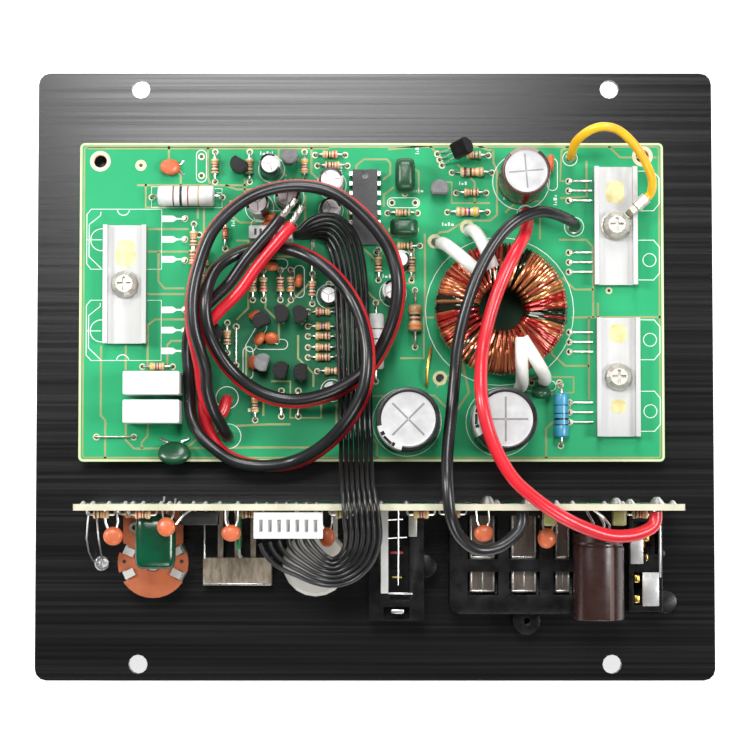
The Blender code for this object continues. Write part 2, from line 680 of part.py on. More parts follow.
def small_parts():
    shapes = []
    for x, y, turn in SMALL_RESISTORS:
        shapes += flat_resistor(x, y, turn)
    for x, y, turn in LONG_RESISTORS:
        shapes += axial(x, y, 6.2, 2.4, 10.0, turn)
    shapes += axial(10.4, 14.3, 7.0, 3.6, 14.4, 90, 8)
    shapes += axial(48.2, -10.9, 11.6, 4.1, 15.3, 90, 10)
    shapes += axial(-39.0, 36.6, 3.4, 1.7, 7.6, 90)
    for x, y, radius, turn in SMALL_DISCS:
        shapes += disc(x, y, radius, 1.6, turn)
    shapes += disc(-51.9, -16.8, 4.2, 3.6, 0)
    shapes += disc(42.8, -4.6, 2.6, 2.6, 0)
    for x, y, radius, height in SMALL_CANS:
        shapes.append(small_can(x, y, radius, height))
    for x, y, turn in SIGNAL_TRANSISTORS:
        shapes += signal_transistor(x, y, turn)
    for x, y, length, turn in WIRE_LINKS:
        link = box("link", (-length / 2 * MM, length / 2 * MM), (-0.0003, 0.0003), (-SINK, 0.0007))
        bpy.context.view_layer.update()
        shapes.append(placed(link, x, y, BOARD_TOP, turn))
    for x, y, width, depth, height in ((7.8, 51.0, 5.4, 9.0, 8.5), (7.5, 37.5, 7.2, 4.8, 8.5)):
        shapes.append(bar_box("film", (*on_main(x, y), BOARD_TOP + (height * MM - SINK) / 2),
                              (width * MM, depth * MM, height * MM + SINK), bevel=0.0010, segments=1))
    x, y = on_main(*RIBBON_HEADER[:2])
    width, depth, height = RIBBON_HEADER[2:]
    shapes.append(bar_box("ribbon_header", (x, y, BOARD_TOP + (height - SINK) / 2), (width, depth, height + SINK)))
    shapes += leaning_transistor()
    return shapes


def leaning_transistor():
    """A package laid over the board's top edge on three long leads."""
    body = signal_transistor(22.1, 58.4, 60, 4.2)
    leads = []
    for number, (x, y) in enumerate(((17.1, 55.4), (17.9, 54.1), (17.1, 52.0))):
        end = Vector((*on_main(21.5 + number * 0.6, 58.5 - number * 0.9), BOARD_TOP + 0.0050))
        foot = Vector((*on_main(x, y), BOARD_TOP - SINK))
        lead = bar_box("lead", (0, 0, 0), (0.0005, 0.0005, (end - foot).length))
        lead.rotation_euler = (end - foot).to_track_quat("Z", "Y").to_euler()
        lead.location = (end + foot) / 2
        leads.append(lead)
    return body + leads


def main_board():
    rings = [rounded(MAIN_X, MAIN_Y, MAIN_LENGTH, MAIN_WIDTH, MAIN_CORNER, 2)]
    for side, (across, down) in zip((-1, 1), MAIN_HOLES_FROM_CORNER):
        rings.append(circle(MAIN_X + side * (MAIN_LENGTH / 2 - across), MAIN_Y + MAIN_WIDTH / 2 - down,
                            MAIN_HOLE / 2, 12))
    for _, x, y in CLAMP_PLACES:
        rings.append(circle(x, y, SCREW_SHANK / 2 + RUNNING_FIT, 12))
    rows = [(BIG_LEAD_X, y, BIG_LEAD_PITCH) for y in BIG_TRANSISTOR_Y]
    rows += [(SMALL_LEAD_X, y, SMALL_LEAD_PITCH) for y in SMALL_TRANSISTOR_Y]
    for x, y, pitch in rows:
        for step in (-1, 0, 1):
            rings.append(circle(x, y + step * pitch, LEAD_HOLE / 2, 4, pi / 4))
    board = slab("main_circuit_board", rings, (BOARD_UNDERSIDE, BOARD_TOP), BOARD_GREEN)
    return fuse(board, small_parts())


# Larger parts that stand on the main board

def can(name, x, y, foot, radius, height, material):
    """An electrolytic can: a sleeve rolled over the top rim and a groove above its foot."""
    top = foot + height
    made = turned(name, [(0, top - 0.0003), (radius * 0.74, top - 0.0003), (radius * 0.78, top),
                         (radius * 0.95, top), (radius, top - 0.0006), (radius, foot + 0.0028),
                         (radius - 0.0005, foot + 0.0022), (radius, foot + 0.0016), (radius, foot),
                         (0, foot)], material, 16)
    made.location = (x, y, 0)
    return made


def choke():
    """A toroid closely wound with enamelled wire: each turn stands proud of the next."""
    mean, half = (CHOKE_OUTER + CHOKE_INNER) / 2, (CHOKE_OUTER - CHOKE_INNER) / 2
    tall, sides = CHOKE_HEIGHT / 2, 8
    work = bmesh.new()
    loops = []
    for turn in range(2 * CHOKE_TURNS):
        angle = pi * turn / CHOKE_TURNS
        proud = -CHOKE_WIRE_STEP if turn % 2 else 0.0
        loop = []
        for i in range(sides):
            a = 2 * pi * (i + 0.5) / sides
            stretch = 1.06
            r = mean + (half + proud) * stretch * cos(a)
            z = (tall + proud) * stretch * sin(a)
            loop.append(work.verts.new((r * cos(angle), r * sin(angle), z)))
        loops.append(loop)
    for a, b in zip(loops, loops[1:] + loops[:1]):
        for i in range(sides):
            j = (i + 1) % sides
            work.faces.new((a[i], b[i], b[j], a[j]))
    bmesh.ops.recalc_face_normals(work, faces=work.faces)
    mesh = bpy.data.meshes.new("toroid_choke")
    work.to_mesh(mesh)
    work.free()
    made = part("toroid_choke", mesh, COPPER)
    made.location = (CHOKE_X, CHOKE_Y, ON_BOARD + CHOKE_HEIGHT / 2)


# White sleeves on the choke's winding ends, from the board up over the winding, in millimetres
SLEEVE_DIAMETER = 0.0028
UPPER_SLEEVES = (
    ((17.2, 33.8, 8.1), (17.5, 33.4, 13.0), (18.6, 32.1, 18.5), (20.6, 30.0, 22.6), (23.2, 27.6, 24.2),
     (25.4, 25.6, 24.3)),
    ((24.7, 37.0, 8.1), (25.0, 36.8, 13.0), (25.9, 35.4, 18.8), (27.2, 32.6, 23.0), (28.6, 29.2, 24.3),
     (29.9, 26.0, 24.3)))
LOWER_SLEEVE = (
    ((37.6, -3.5, 8.1), (37.6, -3.5, 13.0), (37.5, -3.0, 18.2), (37.3, -1.4, 22.0), (37.1, 1.4, 24.0),
     (37.0, 4.6, 24.5), (37.0, 8.2, 24.4)),
    ((43.9, -1.8, 8.1), (43.8, -1.7, 13.0), (43.2, -0.9, 18.2), (42.0, 0.7, 22.2), (40.4, 3.0, 24.1),
     (38.6, 5.8, 24.5), (37.2, 8.0, 24.4)))


def metres(points):
    return [Vector(p) * MM for p in points]


def beside_choke(route):
    """A route that is written for a choke centred at (32.4, 16.2) millimetres, at the choke."""
    shift = Vector((CHOKE_X - 32.4 * MM, CHOKE_Y - 16.2 * MM, 0))
    return [p + shift for p in metres(route)]


def choke_sleeves():
    for number, route in enumerate(UPPER_SLEEVES, 1):
        wire("choke_sleeve_%d" % number, beside_choke(route), SLEEVE_DIAMETER, WHITE_PLASTIC)
    legs = [wire("leg", beside_choke(route), SLEEVE_DIAMETER, WHITE_PLASTIC) for route in LOWER_SLEEVE]
    fork = settle(legs[0])
    fork.name = "choke_sleeve_forked"
    fuse(fork, legs[1:])


def driver_chip():
    """A sixteen-leg chip with its legs bent down into the board."""
    x, y = on_main(-2.6, 43.0)
    length, width = 0.0196, 0.0064
    foot, top, pitch = ON_BOARD + 0.0004, ON_BOARD + 0.0038, 0.00254
    body = box("driver_chip", (x - width / 2, x + width / 2), (y - length / 2, y + length / 2),
               (foot, top), PACKAGE_GREY)
    legs = []
    for row in range(8):
        yy = y + (row - 3.5) * pitch
        for side in (-1, 1):
            xs = sorted((x + side * (width / 2 - SINK), x + side * (width / 2 + 0.0008)))
            legs.append(box("leg", tuple(xs), (yy - 0.0005, yy + 0.0005), (ON_BOARD, foot + 0.0018)))
    chip = fuse(body, legs)
    notch = rod("chip_notch", x, y + length / 2, (top - 0.0005, top + 0.0005), 0.0020, sides=10)
    cut(chip, [notch])


def power_resistor(name, x, y, length, diameter, pitch, turn):
    """A white cylindrical resistor with pressed end caps, held up on its own two leads."""
    radius, half, cap = diameter / 2, length / 2, 0.0022
    height = radius + 0.0005
    body = turned(name, [(0, half), (radius * 0.94, half), (radius, half - cap),
                         (radius * 0.94, half - cap - 0.0003), (radius * 0.94, -half + cap + 0.0003),
                         (radius, -half + cap), (radius * 0.94, -half), (0, -half)], CERAMIC_WHITE, 12)
    body.rotation_euler = (0, pi / 2, 0)
    body.location = (0, 0, height)
    lead = 0.0004
    reach = pitch / 2
    outline = [(-reach - lead, 0), (-reach + lead, 0), (-reach + lead, height - lead),
               (reach - lead, height - lead), (reach - lead, 0), (reach + lead, 0),
               (reach + lead, height + lead), (-reach - lead, height + lead)]
    legs = slab("legs", [outline], (-lead, lead))
    legs.rotation_euler = (pi / 2, 0, 0)
    made = fuse(settle(body), [legs])
    made.rotation_euler = (0, 0, radians(turn))
    made.location = (x, y, ON_BOARD)


FILM_CAPACITOR = (0.0146, 0.0061, 0.0112)


def standing_parts():
    choke()
    choke_sleeves()
    for side, x, y in BULK_CANS:
        can("bulk_capacitor_" + side, x, y, ON_BOARD, BULK_CAN_RADIUS, BULK_CAN_HEIGHT, SLEEVE_BLACK)
    x, y, radius, height = INPUT_CAN
    can("input_capacitor", x, y, ON_BOARD, radius, height, SLEEVE_BROWN)
    driver_chip()
    length, depth, height = FILM_CAPACITOR
    x, y = on_main(-57.1, -2.9)
    lower = min(on_main(0, -10.2)[1], y - depth - GAP)
    for number, at in enumerate((y, lower), 1):
        bar_box("film_capacitor_%d" % number, (x, at, ON_BOARD + height / 2), FILM_CAPACITOR,
                WHITE_PLASTIC, bevel=0.0004, segments=1)
    power_resistor("power_resistor_1", *on_main(-49.0, 46.0), 0.0148, 0.0055, 0.0180, 0)
    power_resistor("power_resistor_2", *on_main(0.2, 8.2), 0.0146, 0.0044, 0.0200, 90)


# Control board, with the small parts that are soldered to its lower face

def upright(x, reach, z, size):
    """A small box out from the control board's lower face, sunk a little into it."""
    width, height = size
    return box("block", ((x - width / 2) * MM, (x + width / 2) * MM), (CONTROL_FACE - reach * MM, CONTROL_FACE + SINK),
               ((z - height / 2) * MM, (z + height / 2) * MM))


# Ceramic discs held out flat from the board on their leads: x, y, radius and height in millimetres
CONTROL_DISCS = ((-65.9, -41.8, 2.5, 24.0), (-52.1, -39.4, 2.4, 29.4), (-36.0, -41.0, 2.5, 27.0),
                 (-12.2, -42.2, 2.0, 19.0), (27.5, -41.1, 2.5, 22.0), (43.4, -42.4, 2.4, 22.0))
# Resistors on end against the board: x and height of the middle in millimetres
CONTROL_RESISTORS = ((-69.0, 22.0), (-54.9, 17.0), (-31.9, 20.0), (11.6, 22.0), (67.0, 22.0))


def control_board():
    work = slab("control_circuit_board",
                [rounded(CONTROL_X, CONTROL_FOOT + CONTROL_HEIGHT / 2, CONTROL_LENGTH, CONTROL_HEIGHT, 0.0006, 1)],
                (-BOARD_THICKNESS / 2, BOARD_THICKNESS / 2), CREAM_BOARD)
    work.rotation_euler = (pi / 2, 0, 0)
    work.location = (0, CONTROL_Y, 0)
    board = settle(work)
    shapes = []
    for x, y, radius, z in CONTROL_DISCS:
        shapes.append(rod("disc", x * MM, y * MM, ((z - 0.8) * MM, (z + 0.8) * MM), 2 * radius * MM, sides=8))
        shapes.append(upright(x, CONTROL_FACE / MM - y - radius * 0.6, z, (radius * 1.4, 0.5)))
    for x, z in CONTROL_RESISTORS:
        shapes.append(rod("resistor", x * MM, CONTROL_FACE - 0.0009, ((z - 2) * MM, (z + 2) * MM), 0.0021, sides=6))
    shapes.append(upright(-44.2, 3.6, 24.0, (6.5, 9.6)))
    shapes.append(upright(-34.4, 9.8, 21.0, (2.6, 7.6)))
    shapes.append(upright(43.8, 4.4, 27.0, (3.2, 3.0)))
    shapes.append(upright(61.4, 4.6, 24.5, (3.2, 3.0)))
    for x in (-60.5, -45.6, -24.0, -3.0, 28.0, 62.0):
        solder = rod("solder", x * MM, (CONTROL_Y + BOARD_THICKNESS / 2 - SINK, CONTROL_Y + BOARD_THICKNESS / 2 + 0.0008),
                     (CONTROL_TOP - 0.0030), 0.0012, sides=6, axis="Y")
        shapes.append(solder)
    fuse(board, shapes)


def tone_capacitor():
    """A large dipped film capacitor lying out from the board on its two leads."""
    x, z, width, reach, thick = -0.0553, 0.0235, 0.0103, 0.0146, 0.0052
    face = CONTROL_SEAT
    body = bar_box("tone_capacitor", (x, face - reach / 2 - 0.0004, z), (width, reach - 0.0008, thick), FILM_GREEN,
                   bevel=0.0017)
    leads = [box("lead", (x + side * 0.0028 - 0.0003, x + side * 0.0028 + 0.0003), (face - 0.0020, face),
                 (z - 0.0003, z + 0.0003)) for side in (-1, 1)]
    fuse(settle(body), leads)


def supply_capacitor():
    """The brown can that lies between the terminal block and the fuse holder, on two long leads."""
    top = CONTROL_SEAT - 0.0055
    lying = can("supply_capacitor", 0, 0, 0, SUPPLY_CAN_RADIUS, SUPPLY_CAN_LENGTH, SLEEVE_BROWN)
    lying.rotation_euler = (pi / 2, 0, 0)
    lying.location = (SUPPLY_CAN_X, top, SUPPLY_CAN_Z)
    leads = [box("lead", (SUPPLY_CAN_X + side * 0.0025 - 0.0004, SUPPLY_CAN_X + side * 0.0025 + 0.0004),
                 (top - 0.0010, CONTROL_SEAT), (SUPPLY_CAN_Z - 0.0004, SUPPLY_CAN_Z + 0.0004)) for side in (-1, 1)]
    fuse(settle(lying), leads)


PLUG_Z = 0.0285
PLUG_WIDTH = 0.0174
PLUG_X = -0.0216
PLUG_DEPTH = 0.0068
PLUG_HEIGHT = 0.0058
PLUG_PITCH = 0.00248


def ribbon_plug():
    """The white seven-way housing, with a window over each contact."""
    middle = CONTROL_SEAT - PLUG_DEPTH / 2
    plug = bar_box("ribbon_plug", (PLUG_X, middle, PLUG_Z), (PLUG_WIDTH, PLUG_DEPTH, PLUG_HEIGHT), WHITE_PLASTIC)
    windows = []
    for way in range(RIBBON_WAYS):
        x = PLUG_X + (way - (RIBBON_WAYS - 1) / 2) * PLUG_PITCH
        windows.append(bar_box("plug_window_%d" % way, (x, middle + 0.0004, PLUG_Z + PLUG_HEIGHT / 2),
                               (0.0008, 0.0030, 0.0020)))
    cut(plug, windows)


# Potentiometers, with the bush that passes through the panel and the bore that holds the shaft

def pot_body(name, place, height, material, sides=20):
    x, y = place
    radius, bush = POT_RADIUS, BUSH_DIAMETER / 2
    bore = SHAFT_DIAMETER / 2 + RUNNING_FIT
    top = GAP + height
    made = turned(name, [(0, top), (radius - 0.0008, top), (radius, top - 0.0008), (radius, GAP), (bush, GAP),
                         (bush, PANEL_FRONT - BUSH_LENGTH), (bore, PANEL_FRONT - BUSH_LENGTH),
                         (bore, SHAFT_DEPTH), (0, SHAFT_DEPTH)], material, sides)
    made.location = (x, y, 0)
    return settle(made)


def pot_nut(name, place):
    radius = NUT_ACROSS_FLATS / 2 / cos(pi / 6)
    return slab(name, [circle(*place, radius, 6), circle(*place, BUSH_DIAMETER / 2 + RUNNING_FIT, 16)],
                (PANEL_FRONT - GAP - NUT_THICKNESS, PANEL_FRONT - GAP), STEEL)


def pot_knob(knob_name, shaft_name, place):
    """A fluted knob with a pointer line, on a round shaft; both turn about the shaft's axis."""
    front = PANEL_FRONT - BUSH_LENGTH - GAP
    radius = KNOB_DIAMETER / 2
    ring = []
    for i in range(2 * KNOB_FLUTES):
        r = radius - (0.0006 if i % 2 else 0.0)
        angle = pi * i / KNOB_FLUTES
        ring.append((r * cos(angle), r * sin(angle)))
    knob = slab(knob_name, [ring], (front - KNOB_LENGTH, front), MOULDED_BLACK)
    knob.location = (*place, 0)
    bore = rod(knob_name + "_bore", *place, (front - KNOB_LENGTH + 0.0025, front + 0.0010),
               SHAFT_DIAMETER + 2 * RUNNING_FIT)
    mark = bar_box(knob_name + "_pointer", (place[0], place[1] + radius * 0.55, front - KNOB_LENGTH),
                   (0.0010, radius * 0.95, 0.0010))
    cut(knob, [bore, mark])
    tail = SHAFT_DEPTH - GAP
    shaft = rod(shaft_name, 0, 0, (front - KNOB_LENGTH + 0.0025 + GAP, tail), SHAFT_DIAMETER, ALUMINIUM)
    middle = shaft.location.z
    shaft.data.transform(Matrix.Translation((0, 0, middle)))
    shaft.location = (*place, 0)


def filter_pot():
    """The potentiometer whose brown wafer faces the rear, held by four tabs of its cover."""
    x, y = FILTER_POT
    body = pot_body("filter_pot_body", FILTER_POT, POT_BODY_HEIGHT, STEEL)
    seat = GAP + POT_BODY_HEIGHT + GAP
    tabs = []
    notches = []
    for number, degrees in enumerate((25, 155, 205, 335)):
        turn = Matrix.Translation((x, y, 0)) @ Matrix.Rotation(radians(degrees), 4, "Z")
        leg = box("leg", (POT_RADIUS - 0.0012, POT_RADIUS - 0.0004), (-0.0010, 0.0010),
                  (GAP + POT_BODY_HEIGHT - 0.0012, seat + WAFER_THICKNESS + GAP + 0.0006))
        fold = box("fold", (POT_RADIUS - 0.0032, POT_RADIUS - 0.0005), (-0.0010, 0.0010),
                   (seat + WAFER_THICKNESS + GAP, seat + WAFER_THICKNESS + GAP + 0.0006))
        notch = box("wafer_notch_%d" % number, (POT_RADIUS - 0.0012 - GAP, WAFER_RADIUS + 0.0020),
                    (-0.0010 - GAP, 0.0010 + GAP), (seat - 0.0010, seat + WAFER_THICKNESS + 0.0010))
        bpy.context.view_layer.update()
        for shape in (leg, fold, notch):
            shape.matrix_world = turn @ shape.matrix_world
        tabs += [leg, fold]
        notches.append(notch)
    fuse(body, tabs)
    half = WAFER_NECK / 2
    reach = CONTROL_SEAT - y
    side = (WAFER_RADIUS ** 2 - half ** 2) ** 0.5
    start, end = atan2(side, -half), atan2(side, half) + 2 * pi
    arc = [(WAFER_RADIUS * cos(start + (end - start) * i / 22), WAFER_RADIUS * sin(start + (end - start) * i / 22))
           for i in range(23)]
    ring = [(x + a, y + b) for a, b in arc + [(half, reach), (-half, reach)]]
    wafer = slab("filter_pot_wafer", [ring, circle(x, y, 0.0024, 16)], (seat, seat + WAFER_THICKNESS), PHENOLIC)
    cut(wafer, notches)
    pot_nut("filter_pot_nut", FILTER_POT)
    pot_knob("filter_knob", "filter_shaft", FILTER_POT)


def level_pot():
    """The potentiometer with a plain can; three terminals run back to the control board."""
    body = pot_body("level_pot_body", LEVEL_POT, POT_CAN_HEIGHT, STEEL)
    x, y = LEVEL_POT
    pins = []
    for side in (-1, 0, 1):
        pins.append(box("pin", (x + side * 0.0050 - 0.0006, x + side * 0.0050 + 0.0006),
                        (y + POT_RADIUS - 0.0032, CONTROL_SEAT), (0.0048, 0.0054)))
    fuse(body, pins)
    pot_nut("level_pot_nut", LEVEL_POT)
    pot_knob("level_knob", "level_shaft", LEVEL_POT)


def slide_switch():
    """A slide switch: a folded metal frame with a pocket, and a slider that reaches the front."""
    x, y = SWITCH_PLACE
    width, depth, height = SWITCH_FRAME
    frame = box("slide_switch_frame", (x - width / 2, x + width / 2), (y - depth / 2, y + depth / 2),
                (GAP, GAP + height), STEEL)
    flange = (0.0092, 0.0040, 0.0026)
    pins = []
    for offset in SWITCH_TERMINALS:
        pins.append(box("terminal", (x + offset - 0.0007, x + offset + 0.0007),
                        (y + depth / 2 - 0.0010, CONTROL_SEAT), (GAP + height - 0.0014, GAP + height - 0.0007)))
    frame = fuse(frame, pins)
    pocket = bar_box("switch_pocket", (x, y, 0), (flange[0] + 2 * (SWITCH_TRAVEL + RUNNING_FIT),
                                                  flange[1] + 2 * RUNNING_FIT, 2 * (3 * GAP + flange[2])))
    cut(frame, [pocket])
    slider = box("slide_switch_slider", (-flange[0] / 2, flange[0] / 2), (-flange[1] / 2, flange[1] / 2),
                 (GAP, GAP + flange[2]), WHITE_PLASTIC)
    stem = bar_box("stem", (0, 0, (PANEL_FRONT - 0.0030) / 2), (SWITCH_STEM, SWITCH_STEM, -PANEL_FRONT + 0.0030 + 2 * GAP + SINK))
    slider = fuse(settle(slider), [stem])
    slider.location = (x, y, 0)


# Sockets that pass through the panel

def input_jacks():
    """A twin phono socket block: open at the rear, two barrels through the panel, a screw boss."""
    width, length, height = JACK_BODY
    middle = CONTROL_SEAT - length / 2
    top = GAP + height
    block = box("input_jack_block", (JACK_X - width / 2, JACK_X + width / 2), (middle - length / 2, middle + length / 2),
                (GAP, top), MOULDED_BLACK)
    shapes = [rod("boss", 0.0129, -0.0499, (GAP, GAP + 0.0095), 0.0060, sides=14)]
    for x, y in jack_places():
        shapes.append(rod("barrel", x, y, (PANEL_FRONT - JACK_LENGTH, GAP + 0.0010), JACK_BARREL, sides=16))
    block = fuse(block, shapes)
    tools = [box("jack_cavity", (JACK_X - 0.0018, JACK_X + 0.0034), (middle - 0.0090, middle + 0.0125),
                 (GAP + 0.0050, top + 0.0010)),
             box("jack_window", (JACK_X - 0.0033, JACK_X + 0.0033), (middle - 0.0137, middle - 0.0105),
                 (GAP + 0.0060, top + 0.0010))]
    for number, (x, y) in enumerate(jack_places()):
        tools.append(rod("jack_bore_%d" % number, x, y, (PANEL_FRONT - JACK_LENGTH - 0.0010, -0.0005), JACK_BORE, sides=12))
    cut(block, tools)
    box("input_jack_strip", (0.0015, 0.0034), (-0.0567, CONTROL_SEAT), (top + GAP, top + GAP + 0.0008), STEEL)


def terminal_block():
    """A three-way screw terminal block with walls between its ways, front and rear."""
    width, length, height = TERMINAL_BODY
    top = GAP + height
    near, far = CONTROL_SEAT, CONTROL_SEAT - length
    block = slab("terminal_block", [rounded(TERMINAL_X, (near + far) / 2, width, length, 0.0024, 2)],
                 (GAP, top), MOULDED_BLACK)
    x, y, wide, tall = terminal_window()
    front = PANEL_FRONT - TERMINAL_FRONT
    shapes = [bar_box("front", (x, y, (front + GAP + 0.0010) / 2), (wide, tall, GAP + 0.0010 - front)),
              rod("boss", 0.0392, far - 0.0020, (GAP, GAP + 0.0070), 0.0072, sides=16)]
    block = fuse(block, shapes)
    tools = [rod("boss_hole", 0.0392, far - 0.0020, (-0.0010, 0.0100), 0.0017, sides=10)]
    floor, strip = GAP + 0.0058, 0.0008
    for number, offset in enumerate(TERMINAL_WAYS, 1):
        cx = TERMINAL_X + offset
        half = 0.0040 if number < 3 else 0.0026
        tools.append(box("way_rear_%d" % number, (cx - half, cx + half), (far + 0.0048, near - 0.0012), (floor, top + 0.0010)))
        tools.append(box("way_slot_%d" % number, (cx - half + 0.0004, cx + half - 0.0004), (near - 0.0020, near + 0.0010),
                         (floor, floor + strip + 3 * GAP)))
        tools.append(box("way_front_%d" % number, (cx - 0.0041, cx + 0.0041) if number < 3 else (cx - 0.0041, cx + 0.0016),
                         (y - tall / 2 - 0.0010, y + tall / 2 - 0.0030), (front - 0.0010, front + 0.0050)))
        tools.append(rod("way_stem_%d" % number, cx, y - 0.0010, (front, floor + 0.0010), 0.0036, sides=12))
        contact = box("terminal_strip_%d" % number, (cx - half + 0.0008, cx + half - 0.0008), (far + 0.0054, near),
                      (floor + GAP, floor + GAP + strip), TINNED)
        screw = rod("screw", cx, y - 0.0010, (front + 0.0012, floor + GAP + 0.0004), 0.0030, sides=12)
        head = rod("head", cx, y - 0.0010, (front + 0.0010, front + 0.0034), 0.0050 if number < 3 else 0.0026, sides=14)
        rise = box("rise", (cx - half + 0.0012, cx + half - 0.0012), (far + 0.0060, far + 0.0120),
                   (floor + 2 * GAP, floor + 0.0031))
        fuse(settle(contact), [screw, head, rise])
    block = cut(block, tools)
    block = settle(block)
    bridges = []
    for number, offset in enumerate(TERMINAL_WAYS, 1):
        cx = TERMINAL_X + offset
        half = 0.0042 if number < 3 else 0.0028
        bridges.append(box("bridge", (cx - half, cx + half), (-0.0512, -0.0480), (top - 0.0022, top - 0.0001)))
    fuse(block, bridges)


def fuse_holder():
    """The fuse holder, open at the rear over its two contacts, and its blade fuse at the front."""
    width, length, height = FUSE_BODY
    near = CONTROL_SEAT - 0.0002
    top = GAP + height
    x, y, wide, tall = fuse_window()
    front = PANEL_FRONT - 0.0012
    holder = box("fuse_holder", (x - width / 2, x + width / 2), (near - length, near), (GAP, top), MOULDED_BLACK)
    shapes = [bar_box("neck", (x, y, (front + 0.0010) / 2), (wide, tall, 0.0010 - front)),
              rod("ear", x + width / 2 + 0.0016, near - length + 0.0022, (GAP, GAP + 0.0046), 0.0060, sides=14),
              rod("ear", x + width / 2 + 0.0004, near - 0.0110, (GAP, GAP + 0.0030), 0.0030, sides=10)]
    holder = fuse(holder, shapes)
    fuse_wide, blade = 0.0036, 0.0007
    tools = []
    for number, (cy, reach) in enumerate(((-0.0425, 0.0042), (-0.0555, 0.0042))):
        tools.append(box("fuse_cavity_%d" % number, (x - 0.0032, x + 0.0032), (cy - reach, cy + reach), (0.0060, top + 0.0010)))
        tools.append(box("fuse_blade_slot_%d" % number, (x - blade / 2 - RUNNING_FIT, x + blade / 2 + RUNNING_FIT),
                         (cy - 0.0027 - RUNNING_FIT, cy + 0.0027 + RUNNING_FIT), (front - 0.0040, 0.0070)))
    cut(holder, tools)
    body = bar_box("blade_fuse", (x, y, front - GAP - 0.0035), (fuse_wide, tall - 0.0010, 0.0070), FUSE_AMBER)
    blades = [box("blade", (x - blade / 2, x + blade / 2), (cy - 0.0027, cy + 0.0027), (front - GAP - 0.0005, 0.0080))
              for cy in (-0.0425, -0.0555)]
    fuse(settle(body), blades)


# Bends of the lamp's two leads, in millimetres from the lamp's axis and the panel
LED_LEADS = (((0.6, 0.0, 0.9), (0.9, 3.4, 9.5), (0.9, 11.8, 21.6)),
             ((-0.6, 0.0, 0.9), (-2.5, 3.4, 11.0), (-0.6, 11.8, 23.0)))


def indicator():
    """A clear lamp in its hole in the panel, on two long leads looped back to the control board."""
    x, y = LED_PLACE
    r = LED_DIAMETER / 2
    body = turned("indicator_lamp", [(0, GAP + 0.0010), (r + 0.0004, GAP + 0.0010), (r + 0.0004, GAP), (r, GAP),
                                     (r, -0.0022), (r * 0.87, -0.0032), (r * 0.5, -0.0042), (0, -0.0045)],
                  CLEAR_LENS, 14)
    body.location = (x, y, 0)
    leads = []
    for route in LED_LEADS:
        points = [Vector((x + a * MM, y + b * MM, c * MM)) for a, b, c in route]
        board_end = Vector((points[-1].x, CONTROL_SEAT, points[-1].z))
        leads.append(wire("lead", points + [board_end], 0.0006, None))
    fuse(settle(body), leads)


# Leads and cables, in millimetres. The speaker cable is a pair of wires that lie against each
# other: each point gives the pair's middle and the angle at which the black wire lies, 90 above
# the red one and 180 to its left along the way.
SPEAKER_ROUTE = (
    (-43.9, 0.6, 18.9, 62), (-45.0, 5.4, 20.6, 68), (-46.3, 11.0, 21.7, 74), (-46.5, 18.2, 21.9, 78),
    (-44.9, 26.5, 22.1, 78), (-41.2, 35.6, 22.7, 78), (-34.3, 42.6, 22.8, 78), (-26.6, 46.2, 22.8, 78),
    (-17.8, 47.0, 22.8, 78), (-9.5, 44.8, 22.8, 78), (-1.9, 38.6, 22.8, 78), (3.6, 31.2, 22.8, 78),
    (5.9, 23.1, 22.8, 78), (5.3, 15.0, 21.4, 78), (2.6, 7.4, 19.0, 78), (-1.3, 1.2, 17.9, 78),
    (-6.7, -3.3, 17.6, 78), (-13.6, -6.4, 16.8, 78), (-21.1, -7.5, 15.7, 78), (-28.6, -5.8, 15.5, 78),
    (-35.2, -1.4, 16.2, 78), (-40.0, 4.6, 18.5, 78), (-42.8, 11.5, 21.4, 78), (-43.2, 18.4, 21.7, 78),
    (-41.4, 25.3, 18.4, 78), (-36.8, 29.8, 15.4, 78), (-30.3, 32.1, 14.2, 78), (-23.3, 31.9, 15.5, 78),
    (-16.4, 29.2, 18.6, 78), (-10.4, 24.6, 19.7, 78), (-5.6, 18.1, 20.8, 78), (-2.6, 10.3, 23.7, 78),
    (-1.7, 2.3, 25.2, 78), (-2.8, -5.4, 24.8, 78), (-6.6, -12.4, 22.2, 78), (-12.6, -18.7, 17.4, 78),
    (-20.2, -22.9, 12.6, 78), (-28.6, -24.0, 11.3, 90), (-35.7, -22.7, 11.2, 100), (-40.7, -19.6, 11.1, 104),
    (-44.0, -15.3, 10.8, 140), (-45.9, -10.4, 10.4, 170), (-46.3, -4.6, 10.4, 180), (-46.5, 1.4, 11.6, 180),
    (-46.6, 6.4, 14.0, 180), (-45.6, 11.0, 15.8, 180), (-41.4, 16.4, 16.3, 180), (-36.1, 21.6, 17.2, 180),
    (-31.1, 28.3, 18.9, 180), (-26.4, 35.1, 20.6, 180))
BLACK_START = ((-38.0, -16.3, 7.9), (-38.2, -15.9, 11.6), (-39.9, -12.7, 14.2), (-41.5, -9.4, 16.4),
               (-42.8, -4.6, 18.7))
RED_START = ((-38.4, -6.9, 7.9), (-38.5, -7.2, 9.6), (-39.4, -10.2, 10.2), (-41.3, -11.0, 10.9),
             (-43.1, -8.5, 13.4), (-44.3, -4.4, 15.5))
BLACK_END = ((-25.6, 37.0, 21.1), (-23.9, 39.4, 21.4))
BLACK_TIP = (-20.2, 43.9, 21.4)
RED_END = ((-23.2, 34.8, 21.1), (-21.0, 37.3, 21.4))
RED_TIP = (-18.6, 42.0, 21.4)

